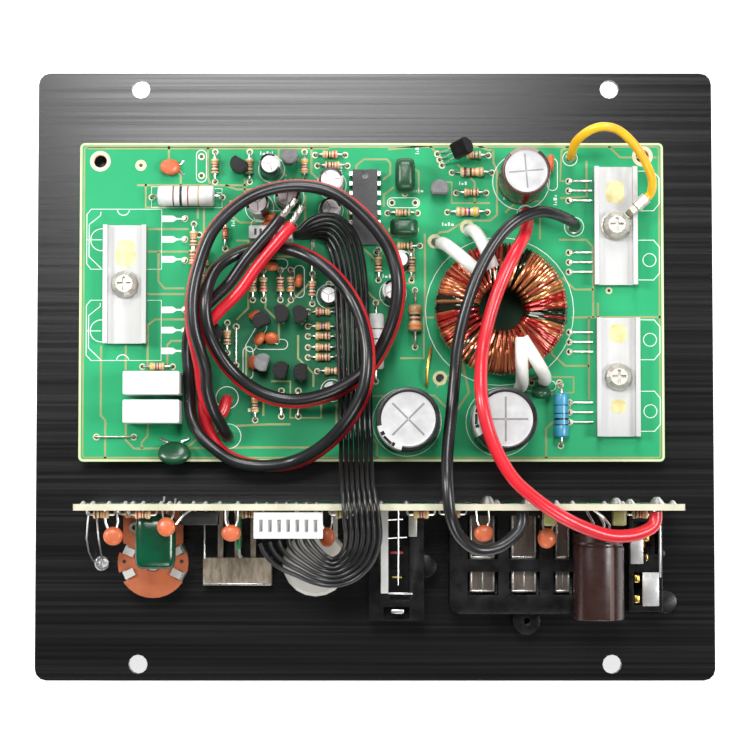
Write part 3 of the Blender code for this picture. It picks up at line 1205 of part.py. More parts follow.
GROUND_ROUTE = (
    (51.9, 38.3, 7.9), (51.8, 38.3, 11.0), (49.8, 39.0, 16.6), (46.0, 40.0, 20.8), (41.7, 40.2, 24.0),
    (36.1, 37.9, 27.0), (31.1, 33.2, 28.4), (26.3, 24.9, 28.8), (22.8, 15.1, 28.6), (20.7, 5.7, 27.8),
    (20.1, -1.4, 27.2), (19.2, -10.4, 28.0), (18.1, -20.0, 32.0), (17.8, -26.6, 35.6), (18.0, -31.5, 36.6),
    (18.7, -36.6, 36.2), (20.9, -41.6, 33.8), (25.4, -45.0, 31.0), (31.0, -44.4, 29.2), (35.2, -41.2, 28.2),
    (36.8, -38.6, 28.0), (36.9, -35.6, 28.0))
SUPPLY_ROUTE = (
    (39.3, 41.6, 7.9), (39.3, 41.5, 11.0), (39.2, 39.2, 16.6), (38.0, 34.6, 22.6), (35.6, 30.0, 26.4),
    (32.6, 24.0, 27.8), (29.4, 15.3, 28.0), (27.2, 6.4, 29.6), (26.3, -1.2, 33.6), (26.5, -8.6, 36.4),
    (28.9, -17.9, 36.6), (33.6, -26.7, 36.7), (39.6, -32.4, 36.7), (46.2, -36.8, 35.4), (52.6, -39.8, 33.2),
    (58.8, -41.6, 31.2), (64.6, -41.4, 29.4), (68.8, -39.8, 28.3), (70.1, -38.0, 28.0), (70.2, -35.6, 28.0))
REMOTE_ROUTE = (
    (51.1, 56.6, 7.9), (51.0, 56.9, 10.8), (51.8, 59.4, 16.0), (54.8, 61.6, 19.6), (58.4, 62.4, 21.3),
    (62.6, 61.2, 21.3), (67.0, 57.0, 20.2), (70.4, 51.6, 17.8), (71.4, 48.4, 15.6))

RIBBON_START_X = -0.0210
RIBBON_STEP = 5.2
# The ribbon's middle, the roll that stands it on edge where it leaves the header, and how far
# its wires spread before they reach the plug
RIBBON_ROUTE = (
    (-21.0, 36.0, 12.5, 84, 1.0), (-18.8, 36.0, 12.5, 78, 1.0), (-15.2, 37.2, 13.1, 52, 1.0),
    (-11.2, 37.0, 14.0, 24, 1.0), (-8.0, 33.0, 14.1, 6, 1.0), (-6.5, 26.0, 13.8, 0, 1.0),
    (-6.0, 18.0, 13.7, 0, 1.0), (-5.7, 9.5, 13.7, 0, 1.0), (-5.4, 1.0, 13.7, 0, 1.0),
    (-5.1, -6.0, 13.5, 0, 1.0), (-5.0, -12.5, 13.0, 0, 1.0), (-4.9, -17.6, 14.6, 0, 1.0),
    (-4.8, -21.8, 20.4, 0, 1.0), (-4.6, -25.2, 27.4, 0, 1.0), (-4.3, -29.0, 33.4, 0, 1.0),
    (-4.0, -33.4, 36.0, 0, 1.0), (-3.9, -37.8, 35.6, 0, 1.0), (-4.0, -42.4, 32.4, 0, 1.05),
    (-5.0, -46.4, 28.8, 0, 1.15), (-7.9, -49.8, 26.0, 0, 1.3), (-12.4, -51.5, 25.0, 0, 1.5),
    (-17.3, -51.0, 25.4, 0, 1.75), (-20.7, -48.8, 27.0, 0, 1.9), (-21.6, -45.4, 28.5, 0, 1.95),
    (-21.6, -42.7, 28.5, 0, 1.95))


def pair_strands():
    """Both wires of the speaker cable, each half a pitch from the pair's middle."""
    middles = [Vector(p[:3]) * MM for p in SPEAKER_ROUTE]
    black, red = [], []
    for i, (middle, point) in enumerate(zip(middles, SPEAKER_ROUTE)):
        before, after = middles[max(i - 1, 0)], middles[min(i + 1, len(middles) - 1)]
        way = (after - before).normalized()
        right = way.cross(Vector((0, 0, 1))).normalized()
        up = right.cross(way)
        angle = radians(point[3])
        offset = (right * cos(angle) + up * sin(angle)) * SPEAKER_PITCH / 2
        black.append(middle + offset)
        red.append(middle - offset)
    return black, red


def cables():
    black, red = pair_strands()
    black = metres(BLACK_START) + black[:-1] + metres(BLACK_END)
    red = metres(RED_START) + red[:-1] + metres(RED_END)
    wire("speaker_wire_black", black, SPEAKER_WIRE, WIRE_BLACK, (BARE_TIP, Vector(BLACK_TIP) * MM))
    wire("speaker_wire_red", red, SPEAKER_WIRE, WIRE_RED, (BARE_TIP, Vector(RED_TIP) * MM))
    wire("ground_lead", metres(GROUND_ROUTE), GROUND_WIRE, WIRE_BLACK)
    wire("supply_lead", metres(SUPPLY_ROUTE), SUPPLY_WIRE, WIRE_RED)
    _, x, y = CLAMP_PLACES[1]
    mouth = Vector((cos(LUG_ANGLE), sin(LUG_ANGLE), 0)) * (LUG_REACH + GAP)
    end = Vector((x, y, BAR_SEAT + GAP + LUG_RISE)) + mouth
    run_in = end + mouth.normalized() * 0.0014
    wire("remote_lead", metres(REMOTE_ROUTE) + [run_in, end], REMOTE_WIRE, WIRE_YELLOW)


def ribbon_cable():
    """Seven wires side by side in one flat ribbon, its section carried along the route."""
    ends = [Vector(RIBBON_ROUTE[i][:3]) for i in (0, -1)]
    middles = ends[:1] + along([p[:3] for p in RIBBON_ROUTE[1:-1]], RIBBON_STEP) + ends[1:]
    count = len(middles)
    flat = [Vector((p[3], p[4], 0)) for p in RIBBON_ROUTE]
    chords = [Vector(p[:3]) for p in RIBBON_ROUTE]
    marks = [0.0]
    for a, b in zip(chords, chords[1:]):
        marks.append(marks[-1] + (b - a).length)
    work = bmesh.new()
    loops = []
    for i, middle in enumerate(middles):
        before, after = middles[max(i - 1, 0)], middles[min(i + 1, count - 1)]
        way = (after - before).normalized()
        wanted = marks[-1] * i / (count - 1)
        at = max(k for k in range(len(marks) - 1) if marks[k] <= wanted + 1e-9)
        share = (wanted - marks[at]) / (marks[at + 1] - marks[at])
        roll, spread, _ = flat[at].lerp(flat[at + 1], min(share, 1.0))
        level = Vector((0, 0, 1)).cross(way).normalized()
        side = level * cos(radians(roll)) + level.cross(way) * -sin(radians(roll))
        top = side.cross(way) * -1
        pitch = RIBBON_PITCH * spread
        line = []
        for way_number in range(RIBBON_WAYS):
            offset = (way_number - (RIBBON_WAYS - 1) / 2) * pitch
            if way_number:
                line.append((offset - pitch / 2, RIBBON_WIRE / 2 - RIBBON_GROOVE))
            line.append((offset, RIBBON_WIRE / 2))
        edge = (RIBBON_WAYS - 1) / 2 * pitch + RIBBON_WIRE / 2
        section = line + [(edge, -RIBBON_WIRE / 2), (-edge, -RIBBON_WIRE / 2)]
        loops.append([work.verts.new((middle * MM) + side * a + top * b) for a, b in section])
    for a, b in zip(loops, loops[1:]):
        for i in range(len(a)):
            j = (i + 1) % len(a)
            work.faces.new((a[i], a[j], b[j], b[i]))
    work.faces.new(loops[0])
    work.faces.new(list(reversed(loops[-1])))
    bmesh.ops.recalc_face_normals(work, faces=work.faces)
    mesh = bpy.data.meshes.new("ribbon_cable")
    work.to_mesh(mesh)
    work.free()
    part("ribbon_cable", mesh, WIRE_BLACK)


mounting_panel()
power_transistors()
main_board()
for bar_name, bar_x, bar_y in CLAMP_PLACES:
    clamp(bar_name, bar_x, bar_y)
ring_lug()
standing_parts()
control_board()
tone_capacitor()
supply_capacitor()
ribbon_plug()
filter_pot()
level_pot()
slide_switch()
input_jacks()
terminal_block()
fuse_holder()
indicator()
cables()
ribbon_cable()
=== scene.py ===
# Plate amplifier for a loudspeaker cabinet, seen from its rear face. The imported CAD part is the
# fixed frame: +Z points away from the panel's rear face, +Y to its top edge. It is in metres, and
# tables of places and sizes are in millimetres.

import random
from math import cos, hypot, pi, radians, sin

import bmesh
import bpy
from mathutils import Matrix, Vector


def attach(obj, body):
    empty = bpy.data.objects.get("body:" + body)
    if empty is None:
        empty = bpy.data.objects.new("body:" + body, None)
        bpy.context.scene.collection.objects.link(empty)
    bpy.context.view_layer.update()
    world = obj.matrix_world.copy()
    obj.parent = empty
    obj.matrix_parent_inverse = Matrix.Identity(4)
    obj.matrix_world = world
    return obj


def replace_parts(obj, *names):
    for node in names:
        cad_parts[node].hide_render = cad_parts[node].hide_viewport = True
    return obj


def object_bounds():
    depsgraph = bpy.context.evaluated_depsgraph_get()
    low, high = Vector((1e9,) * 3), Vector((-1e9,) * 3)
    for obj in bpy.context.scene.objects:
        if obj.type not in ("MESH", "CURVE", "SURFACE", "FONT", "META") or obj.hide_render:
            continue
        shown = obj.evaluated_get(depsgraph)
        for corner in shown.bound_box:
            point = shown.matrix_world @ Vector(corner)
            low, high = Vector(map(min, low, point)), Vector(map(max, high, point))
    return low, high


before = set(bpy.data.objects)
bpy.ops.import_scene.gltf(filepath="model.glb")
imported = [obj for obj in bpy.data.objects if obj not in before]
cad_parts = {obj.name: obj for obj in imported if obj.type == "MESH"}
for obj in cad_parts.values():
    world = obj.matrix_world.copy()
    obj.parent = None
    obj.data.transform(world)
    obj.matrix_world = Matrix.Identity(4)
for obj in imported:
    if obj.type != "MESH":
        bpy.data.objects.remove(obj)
cad_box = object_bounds()
MM = 0.001


# Camera, floor and studio light
# The plate lies on its front controls on a pale floor, and the camera looks straight down on the
# boards from 0.6 m. Five soft boxes light it, and the panel's brush lines mirror the one on top.

CAMERA_BACK, CAMERA_HEIGHT, SENSOR_WIDTH = -0.030, 0.600, 36.0
VIEW_WIDTH = 0.750 / 3.80  # the photograph's 750 pixels, at its 3.80 pixels a millimetre
camera = bpy.data.objects.new("camera", bpy.data.cameras.new("camera"))
bpy.context.scene.collection.objects.link(camera)
camera.location = (0.0, CAMERA_BACK, CAMERA_HEIGHT)
camera.rotation_euler = Vector((0.0, CAMERA_BACK, CAMERA_HEIGHT)).to_track_quat("Z", "Y").to_euler()
camera.data.sensor_width = SENSOR_WIDTH
camera.data.lens = SENSOR_WIDTH * hypot(CAMERA_HEIGHT, CAMERA_BACK) / VIEW_WIDTH
bpy.context.scene.camera = camera


def node_in(tree, kind, values=None, **settings):
    """A new node with its settings, and the values that stay on its own inputs."""
    made = tree.nodes.new(kind)
    for label, setting in settings.items():
        setattr(made, label, setting)
    for label, value in (values or {}).items():
        made.inputs[label].default_value = value
    return made


def join(tree, *links):
    """Links between nodes: each is a node and its output, then a node and its input."""
    for source, leaving, target, entering in links:
        tree.links.new(source.outputs[leaving], target.inputs[entering])


def variation_group():
    """Slow change of colour and roughness over a surface, with a fine relief for its bump."""
    group = bpy.data.node_groups.new("surface_variation", "ShaderNodeTree")
    for label, kind, value in (("Colour", "Color", (1, 1, 1, 1)), ("Shade", "Color", (0.8, 0.8, 0.8, 1)),
                               ("Grain", "Float", 300), ("Roughness", "Float", 0.5), ("Spread", "Float", 0.1),
                               ("Relief", "Float", 900), ("Stretch", "Vector", (1, 1, 1))):
        group.interface.new_socket(label, in_out="INPUT", socket_type="NodeSocket" + kind).default_value = value
    for label, kind in (("Colour", "Color"), ("Roughness", "Float"), ("Height", "Float")):
        group.interface.new_socket(label, in_out="OUTPUT", socket_type="NodeSocket" + kind)
    given, out = node_in(group, "NodeGroupInput"), node_in(group, "NodeGroupOutput")
    place = node_in(group, "ShaderNodeTexCoord")
    stretched = node_in(group, "ShaderNodeVectorMath", operation="MULTIPLY")
    slow = node_in(group, "ShaderNodeTexNoise", {"Detail": 4.0})
    fine = node_in(group, "ShaderNodeTexNoise", {"Detail": 2.0})
    share = node_in(group, "ShaderNodeMapRange", {"From Min": 0.36, "From Max": 0.66})
    shaded = node_in(group, "ShaderNodeMix", {0: 1.0}, data_type="RGBA", blend_type="MULTIPLY")
    mixed = node_in(group, "ShaderNodeMix", data_type="RGBA")
    swing = node_in(group, "ShaderNodeMath", operation="MULTIPLY")
    rough = node_in(group, "ShaderNodeMath", operation="ADD", use_clamp=True)
    join(group, (place, "Object", stretched, 0), (given, "Stretch", stretched, 1), (stretched, 0, slow, "Vector"),
         (given, "Grain", slow, "Scale"), (stretched, 0, fine, "Vector"), (given, "Relief", fine, "Scale"),
         (slow, 0, share, "Value"), (given, "Colour", shaded, 6), (given, "Shade", shaded, 7), (share, 0, mixed, 0),
         (given, "Colour", mixed, 6), (shaded, 2, mixed, 7), (mixed, 2, out, "Colour"), (share, 0, swing, 0),
         (given, "Spread", swing, 1), (swing, 0, rough, 0), (given, "Roughness", rough, 1),
         (rough, 0, out, "Roughness"), (fine, 0, out, "Height"))
    return group


VARIATION = variation_group()


def coated(name, colour=None, rough=0.5, metal=0.0, shade=(0.8, 0.8, 0.8), grain=300, spread=0.1,
           relief=900, bump=0.15, depth=0.0002, stretch=(1, 1, 1), **constants):
    """A finish with its variation. Without a colour it takes colour, metal and roughness from the
    attributes tint, metal and rough that each face of a piece carries."""
    made = bpy.data.materials.new(name)
    made.use_nodes = True
    tree = made.node_tree
    shader = tree.nodes["Principled BSDF"]
    vary = node_in(tree, "ShaderNodeGroup", node_tree=VARIATION, values={
        "Shade": (*shade, 1), "Grain": grain, "Spread": spread, "Relief": relief, "Stretch": stretch})
    if colour is None:
        for label, leaving, target, entering in (
                ("tint", "Color", vary, "Colour"), ("rough", "Fac", vary, "Roughness"),
                ("metal", "Fac", shader, "Metallic")):
            join(tree, (node_in(tree, "ShaderNodeAttribute", attribute_name=label), leaving, target, entering))
    else:
        vary.inputs["Colour"].default_value = (*colour, 1)
        vary.inputs["Roughness"].default_value = rough
        shader.inputs["Metallic"].default_value = metal
    raised = node_in(tree, "ShaderNodeBump", {"Strength": bump, "Distance": depth})
    join(tree, (vary, "Colour", shader, "Base Color"), (vary, "Roughness", shader, "Roughness"),
         (vary, "Height", raised, "Height"), (raised, 0, shader, "Normal"))
    for label, value in constants.items():
        shader.inputs[label.replace("_", " ")].default_value = value
    return made


def show(name, mesh, material, body="root", slot=None, sharp=32):
    """Puts a finished mesh in the scene as one piece that moves with its body."""
    made = bpy.data.objects.new(name, mesh)
    bpy.context.scene.collection.objects.link(made)
    mesh.materials.clear()
    mesh.materials.append(material)
    mesh.shade_smooth()
    mesh.set_sharp_from_angle(angle=radians(sharp))
    if body:
        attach(made, body)
    return made


FLOOR_HALF, FLOOR_GAP = 3, 0.0002
floor_mesh, floor_z = bpy.data.meshes.new("floor"), cad_box[0].z - FLOOR_GAP
floor_mesh.from_pydata([(x * FLOOR_HALF, y * FLOOR_HALF, floor_z) for x, y in ((-1, -1), (1, -1), (1, 1), (-1, 1))],
                       [], [(0, 1, 2, 3)])
floor_finish = coated("pale_studio_floor", (0.90, 0.90, 0.90), 0.8, shade=(0.985, 0.985, 0.985), grain=3,
                      relief=60, bump=0.02, Emission_Color=(1, 1, 1, 1), Emission_Strength=0.55)
show("floor", floor_mesh, floor_finish, body=None)
world = bpy.context.scene.world or bpy.data.worlds.new("studio")
bpy.context.scene.world = world
world.use_nodes = True
backdrop = world.node_tree.nodes["Background"]
backdrop.inputs["Color"].default_value, backdrop.inputs["Strength"].default_value = (1.0, 1.0, 1.0, 1.0), 0.12
bpy.context.scene.view_settings.view_transform = "Standard"
for label, place, size, power in (("soft_box_top", (-0.07, 0.31, 0.85), 0.27, 3.6),
                                  ("soft_box_left", (-0.75, 0.25, 0.75), 0.30, 8.0),
                                  ("soft_box_right", (0.72, 0.00, 0.80), 0.30, 6.5),
                                  ("soft_box_back", (0.05, 0.90, 0.70), 0.35, 6.0),
                                  ("soft_box_front", (0.10, -0.80, 0.75), 0.40, 3.5)):
    lamp = bpy.data.lights.new(label, "AREA")
    lamp.shape, lamp.size, lamp.energy = "SQUARE", size, power
    holder = bpy.data.objects.new(label, lamp)
    bpy.context.scene.collection.objects.link(holder)
    holder.location = place
    holder.rotation_euler = Vector(place).to_track_quat("Z", "Y").to_euler()


# Speaker cable
# A pair of soft PVC wires, black and red, soldered to two pads beside the film capacitors. It runs
# two and a half turns over the main board and ends in two bare tinned tips, so it is all in view.

def along(points, spacing):
    """Points read at even spacing from a smooth curve through the route's own points."""
    route = [Vector(p) for p in points]
    route = [2 * route[0] - route[1]] + route + [2 * route[-1] - route[-2]]
    fine = []
    for a, b, c, d in zip(route, route[1:], route[2:], route[3:]):
        for i in range(12):
            t = i / 12
            fine.append(0.5 * (2 * b + (c - a) * t + (2 * a - 5 * b + 4 * c - d) * t ** 2
                               + (3 * b - a - 3 * c + d) * t ** 3))
    fine.append(route[-2])
    lengths = [0.0]
    for a, b in zip(fine, fine[1:]):
        lengths.append(lengths[-1] + (b - a).length)
    count = max(2, round(lengths[-1] / spacing))
    read, at = [], 0
    for i in range(count + 1):
        wanted = lengths[-1] * i / count
        while at < len(fine) - 2 and lengths[at + 1] < wanted:
            at += 1
        step = (wanted - lengths[at]) / max(lengths[at + 1] - lengths[at], 1e-9)
        read.append(fine[at].lerp(fine[at + 1], min(step, 1.0)))
    return read


def tree_of(name, inputs):
    """An empty node tree for a shape, with named inputs for its sizes."""
    tree = bpy.data.node_groups.new(name, "GeometryNodeTree")
    tree.interface.new_socket("Geometry", in_out="INPUT", socket_type="NodeSocketGeometry")
    for label, kind, value in inputs:
        socket = tree.interface.new_socket(label, in_out="INPUT", socket_type="NodeSocket" + kind)
        if value is not None:
            socket.default_value = value
    tree.interface.new_socket("Geometry", in_out="OUTPUT", socket_type="NodeSocketGeometry")
    return tree, tree.nodes.new("NodeGroupInput"), tree.nodes.new("NodeGroupOutput")


def ended(tree, given, out, last, leaving):
    """The tree with its end: instances made real, and the piece's material set."""
    real, coat = node_in(tree, "GeometryNodeRealizeInstances"), node_in(tree, "GeometryNodeSetMaterial")
    join(tree, (last, leaving, real, "Geometry"), (real, "Geometry", coat, "Geometry"),
         (given, "Material", coat, "Material"), (coat, "Geometry", out, "Geometry"))
    return tree


def grown(source, tree, sizes):
    """The plain mesh that a node tree grows from a source, which is then removed."""
    if source.name not in bpy.context.scene.collection.objects:
        bpy.context.scene.collection.objects.link(source)
    step = source.modifiers.new("grown", "NODES")
    step.node_group = tree
    for item in tree.interface.items_tree:
        if item.in_out == "INPUT" and item.name in sizes:
            step[item.identifier] = sizes[item.name]
    bpy.context.view_layer.update()
    mesh = bpy.data.meshes.new_from_object(source.evaluated_get(bpy.context.evaluated_depsgraph_get()))
    source.modifiers.remove(step)
    bpy.data.objects.remove(source, do_unlink=True)
    return mesh


def drawn_wire_tree():
    """A round section of a given radius drawn along each path, closed at both ends."""
    tree, given, out = tree_of("drawn_wire", (("Radius", "Float", 0.001), ("Sides", "Int", 16),
                                              ("Material", "Material", None)))
    ring = node_in(tree, "GeometryNodeCurvePrimitiveCircle")
    sweep = node_in(tree, "GeometryNodeCurveToMesh", {"Fill Caps": True})
    join(tree, (given, "Radius", ring, "Radius"), (given, "Sides", ring, "Resolution"),
         (given, "Geometry", sweep, "Curve"), (ring, "Curve", sweep, "Profile Curve"))
    return ended(tree, given, out, sweep, "Mesh")


DRAWN_WIRE = drawn_wire_tree()


def paths(lines, closed=False, widths=None):
    """A curve object of plain lines, for a tree to draw along."""
    line = bpy.data.curves.new("paths", "CURVE")
    line.dimensions = "3D"
    for number, points in enumerate(lines):
        spline = line.splines.new("POLY")
        spline.points.add(len(points) - 1)
        for i, (point, place) in enumerate(zip(spline.points, points)):
            point.co = (*place, 1.0)
            if widths:
                point.radius = widths[number][i]
        spline.use_cyclic_u = closed
    return bpy.data.objects.new("paths", line)


def wire_mesh(lines, radius, material, sides=20, widths=None):
    return grown(paths(lines, widths=widths), DRAWN_WIRE, {"Radius": radius, "Sides": sides, "Material": material})


def metres(points):
    return [Vector(p) * MM for p in points]


SPEAKER_WIRE, SPEAKER_PITCH = 0.0030, 0.0034
SPEAKER_ROUTE = (
    (-43.9, 0.6, 18.9, 62), (-45.0, 5.4, 20.6, 68), (-46.3, 11.0, 21.7, 74), (-46.5, 18.2, 21.9, 78),
    (-44.9, 26.5, 22.1, 78), (-41.2, 35.6, 22.7, 78), (-34.3, 42.6, 22.8, 78), (-26.6, 46.2, 22.8, 78),
    (-17.8, 47.0, 22.8, 78), (-9.5, 44.8, 22.8, 78), (-1.9, 38.6, 22.8, 78), (3.6, 31.2, 22.8, 78),
    (5.9, 23.1, 22.8, 78), (5.3, 15.0, 21.4, 78), (2.6, 7.4, 19.0, 78), (-1.3, 1.2, 17.9, 78),
    (-6.7, -3.3, 17.6, 78), (-13.6, -6.4, 16.8, 78), (-21.1, -7.5, 15.7, 78), (-28.6, -5.8, 15.5, 78),
    (-35.2, -1.4, 16.2, 78), (-40.0, 4.6, 18.5, 78), (-42.8, 11.5, 21.4, 78), (-43.2, 18.4, 21.7, 78),
    (-41.4, 25.3, 18.4, 78), (-36.8, 29.8, 15.4, 78), (-30.3, 32.1, 14.2, 78), (-23.3, 31.9, 15.5, 78),
    (-16.4, 29.2, 18.6, 78), (-10.4, 24.6, 19.7, 78), (-5.6, 18.1, 20.8, 78), (-2.6, 10.3, 23.7, 78),
    (-1.7, 2.3, 25.2, 78), (-2.8, -5.4, 24.8, 78), (-6.6, -12.4, 22.2, 78), (-12.6, -18.7, 17.4, 78),
    (-20.2, -22.9, 12.6, 78), (-28.6, -24.0, 11.3, 90), (-35.7, -22.7, 11.2, 100), (-40.7, -19.6, 11.1, 104),
    (-44.0, -15.3, 10.8, 140), (-45.9, -10.4, 10.4, 170), (-46.3, -4.6, 10.4, 180), (-46.5, 1.4, 11.6, 180),
    (-46.6, 6.4, 14.0, 180), (-45.6, 11.0, 15.8, 180), (-41.4, 16.4, 16.3, 180), (-36.1, 21.6, 17.2, 180),
    (-31.1, 28.3, 18.9, 180), (-26.4, 35.1, 20.6, 180))
BLACK_START = ((-38.0, -16.3, 7.9), (-38.2, -15.9, 11.6), (-39.9, -12.7, 14.2), (-41.5, -9.4, 16.4),
               (-42.8, -4.6, 18.7))
RED_START = ((-38.4, -6.9, 7.9), (-38.5, -7.2, 9.6), (-39.4, -10.2, 10.2), (-41.3, -11.0, 10.9),
             (-43.1, -8.5, 13.4), (-44.3, -4.4, 15.5))
BLACK_END, BLACK_TIP = ((-25.6, 37.0, 21.1), (-23.9, 39.4, 21.4)), (-20.2, 43.9, 21.4)
RED_END, RED_TIP = ((-23.2, 34.8, 21.1), (-21.0, 37.3, 21.4)), (-18.6, 42.0, 21.4)


def pair_strands():
    """Both wires of the cable, each half a pitch from the pair's middle at the point's own angle."""
    middles = metres(p[:3] for p in SPEAKER_ROUTE)
    black, red = [], []
    for i, (middle, point) in enumerate(zip(middles, SPEAKER_ROUTE)):
        way = (middles[min(i + 1, len(middles) - 1)] - middles[max(i - 1, 0)]).normalized()
        right = way.cross(Vector((0, 0, 1))).normalized()
        angle = radians(point[3])
        offset = (right * cos(angle) + right.cross(way) * sin(angle)) * SPEAKER_PITCH / 2
        black.append(middle + offset)
        red.append(middle - offset)
    return black, red


BLACK_PVC = coated("black_pvc_wire", (0.0070, 0.0070, 0.0076), 0.29, shade=(1.7, 1.7, 1.8), grain=90, spread=0.05,
                   relief=500, bump=0.02, Coat_Weight=0.12, Coat_Roughness=0.15)
RED_PVC = coated("red_pvc_wire", (0.66, 0.014, 0.028), 0.30, shade=(0.72, 0.6, 0.6), grain=120, spread=0.06,
                 relief=500, bump=0.03, Coat_Weight=0.2, Coat_Roughness=0.15)
TINNED_STRANDS = coated("tinned_strands", (0.66, 0.64, 0.60), 0.30, 1.0, shade=(0.62, 0.58, 0.52), grain=900,
                        relief=2600, bump=0.3)


def twisted_tip(start, end, radius, turns=1.2, steps=14):
    """Seven tinned strands laid round each other, from inside the insulation to the bare end."""
    start, end = Vector(start), Vector(end)
    way = (end - start).normalized()
    side = way.cross(Vector((0, 0, 1))).normalized()
    top = side.cross(way)
    lines = [[start.lerp(end, i / steps) for i in range(steps + 1)]]
    for strand in range(6):
        line = []
        for i in range(steps + 1):
            angle = strand * pi / 3 + 2 * pi * turns * i / steps
            reach = radius * 0.64 * (1.0 + 0.12 * sin(i * 1.7 + strand))
            line.append(start.lerp(end, i / steps * (0.94 + 0.06 * (strand % 3) / 2))
                        + (side * cos(angle) + top * sin(angle)) * reach)
        lines.append(line)
    return wire_mesh(lines, radius * 0.36, TINNED_STRANDS, sides=8)


CABLE_STEP, CABLE_SIDES, TIP_RADIUS = 0.0009, 22, 0.0009
black_line, red_line = pair_strands()
for label, points, tip, pvc, slot in (
        ("black", metres(BLACK_START) + black_line[:-1] + metres(BLACK_END), BLACK_TIP, BLACK_PVC, "wire_black"),
        ("red", metres(RED_START) + red_line[:-1] + metres(RED_END), RED_TIP, RED_PVC, "wire_red")):
    centreline = along(points, CABLE_STEP)
    covered = show("speaker_cable_" + label, wire_mesh([centreline], SPEAKER_WIRE / 2, pvc, CABLE_SIDES), pvc,
                   slot=slot)
    bare = show("speaker_tip_" + label, twisted_tip(centreline[-3], Vector(tip) * MM, TIP_RADIUS), TINNED_STRANDS,
                slot="tinned_metal")
    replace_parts(covered, "speaker_wire_" + label)


# Ground, supply and switched supply leads
# Stout stranded wire in PVC: black and red run from the main board to the control board over its
# edge, and the thinner yellow one arches from its pad to the lug under the upper clamp screw.

GROUND_ROUTE = (
    (51.9, 38.3, 7.9), (51.8, 38.3, 11.0), (49.8, 39.0, 16.6), (46.0, 40.0, 20.8), (41.7, 40.2, 24.0),
    (36.1, 37.9, 27.0), (31.1, 33.2, 28.4), (26.3, 24.9, 28.8), (22.8, 15.1, 28.6), (20.7, 5.7, 27.8),
    (20.1, -1.4, 27.2), (19.2, -10.4, 28.0), (18.1, -20.0, 32.0), (17.8, -26.6, 35.6), (18.0, -31.5, 36.6),
    (18.7, -36.6, 36.2), (20.9, -41.6, 33.8), (25.4, -45.0, 31.0), (31.0, -44.4, 29.2), (35.2, -41.2, 28.2),
    (36.8, -38.6, 28.0), (36.9, -35.6, 28.0))
SUPPLY_ROUTE = (
    (39.3, 41.6, 7.9), (39.3, 41.5, 11.0), (39.2, 39.2, 16.6), (38.0, 34.6, 22.6), (35.6, 30.0, 26.4),
    (32.6, 24.0, 27.8), (29.4, 15.3, 28.0), (27.2, 6.4, 29.6), (26.3, -1.2, 33.6), (26.5, -8.6, 36.4),
    (28.9, -17.9, 36.5), (33.6, -26.7, 36.6), (39.6, -32.4, 36.6), (46.2, -36.8, 35.4), (52.6, -39.8, 33.2),
    (58.8, -41.6, 31.2), (64.6, -41.4, 29.4), (68.8, -39.8, 28.3), (70.1, -38.0, 28.0), (70.2, -35.6, 28.0))
REMOTE_ROUTE = (
    (51.1, 56.6, 7.9), (51.0, 56.9, 10.8), (51.8, 59.4, 16.0), (54.8, 61.6, 19.6), (58.4, 62.4, 21.3),
    (62.6, 61.2, 21.3), (67.0, 57.0, 20.2), (70.4, 51.6, 17.8), (71.4, 48.4, 15.6), (71.13, 46.12, 13.1),
    (70.08, 45.18, 13.1))
YELLOW_PVC = coated("yellow_pvc_wire", (0.87, 0.50, 0.012), 0.30, shade=(0.82, 0.7, 0.4), grain=150, spread=0.12,
                    relief=1200, bump=0.12, Coat_Weight=0.15, Coat_Roughness=0.2)
for label, route, width, pvc, slot in (("ground_lead", GROUND_ROUTE, 0.0030, BLACK_PVC, "wire_black"),
                                       ("supply_lead", SUPPLY_ROUTE, 0.0033, RED_PVC, "wire_red"),
                                       ("remote_lead", REMOTE_ROUTE, 0.0023, YELLOW_PVC, "wire_yellow")):
    centreline = along(metres(route), CABLE_STEP)
    lead = show(label + "_insulation", wire_mesh([centreline], width / 2, pvc, CABLE_SIDES), pvc, slot=slot)
    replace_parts(lead, label)


# Ribbon
# Seven thin black PVC wires side by side, which leave the header on edge, lie flat over the main
# board, cross the gap to the control board in a hump and fan out into the white plug.

RIBBON_WAYS, RIBBON_WIRE, RIBBON_PITCH = 7, 0.00115, 0.00127
RIBBON_ROUTE = (
    (-21.0, 36.0, 12.5, 84, 1.0), (-18.8, 36.0, 12.5, 78, 1.0), (-15.2, 37.2, 13.1, 52, 1.0),
    (-11.2, 37.0, 14.0, 24, 1.0), (-8.0, 33.0, 14.1, 6, 1.0), (-6.5, 26.0, 13.8, 0, 1.0),
    (-6.0, 18.0, 13.7, 0, 1.0), (-5.7, 9.5, 13.7, 0, 1.0), (-5.4, 1.0, 13.7, 0, 1.0),
    (-5.1, -6.0, 13.5, 0, 1.0), (-5.0, -12.5, 13.0, 0, 1.0), (-4.9, -17.6, 14.6, 0, 1.0),
    (-4.8, -21.8, 20.4, 0, 1.0), (-4.6, -25.2, 27.4, 0, 1.0), (-4.3, -29.0, 33.4, 0, 1.0),
    (-3.7, -33.4, 36.0, 0, 1.06), (-3.2, -37.8, 35.6, 0, 1.12), (-3.0, -42.0, 33.0, 0, 1.12),
    (-4.0, -46.0, 30.2, 0, 1.04), (-6.6, -49.3, 28.0, 0, 0.94), (-10.3, -50.8, 26.8, 0, 0.86),
    (-14.0, -50.0, 26.4, 0, 0.96), (-17.3, -47.9, 27.2, 0, 1.15), (-19.9, -45.8, 28.2, 0, 1.42),
    (-21.4, -43.8, 28.5, 0, 1.70), (-21.7, -42.5, 28.5, 0, 1.85))


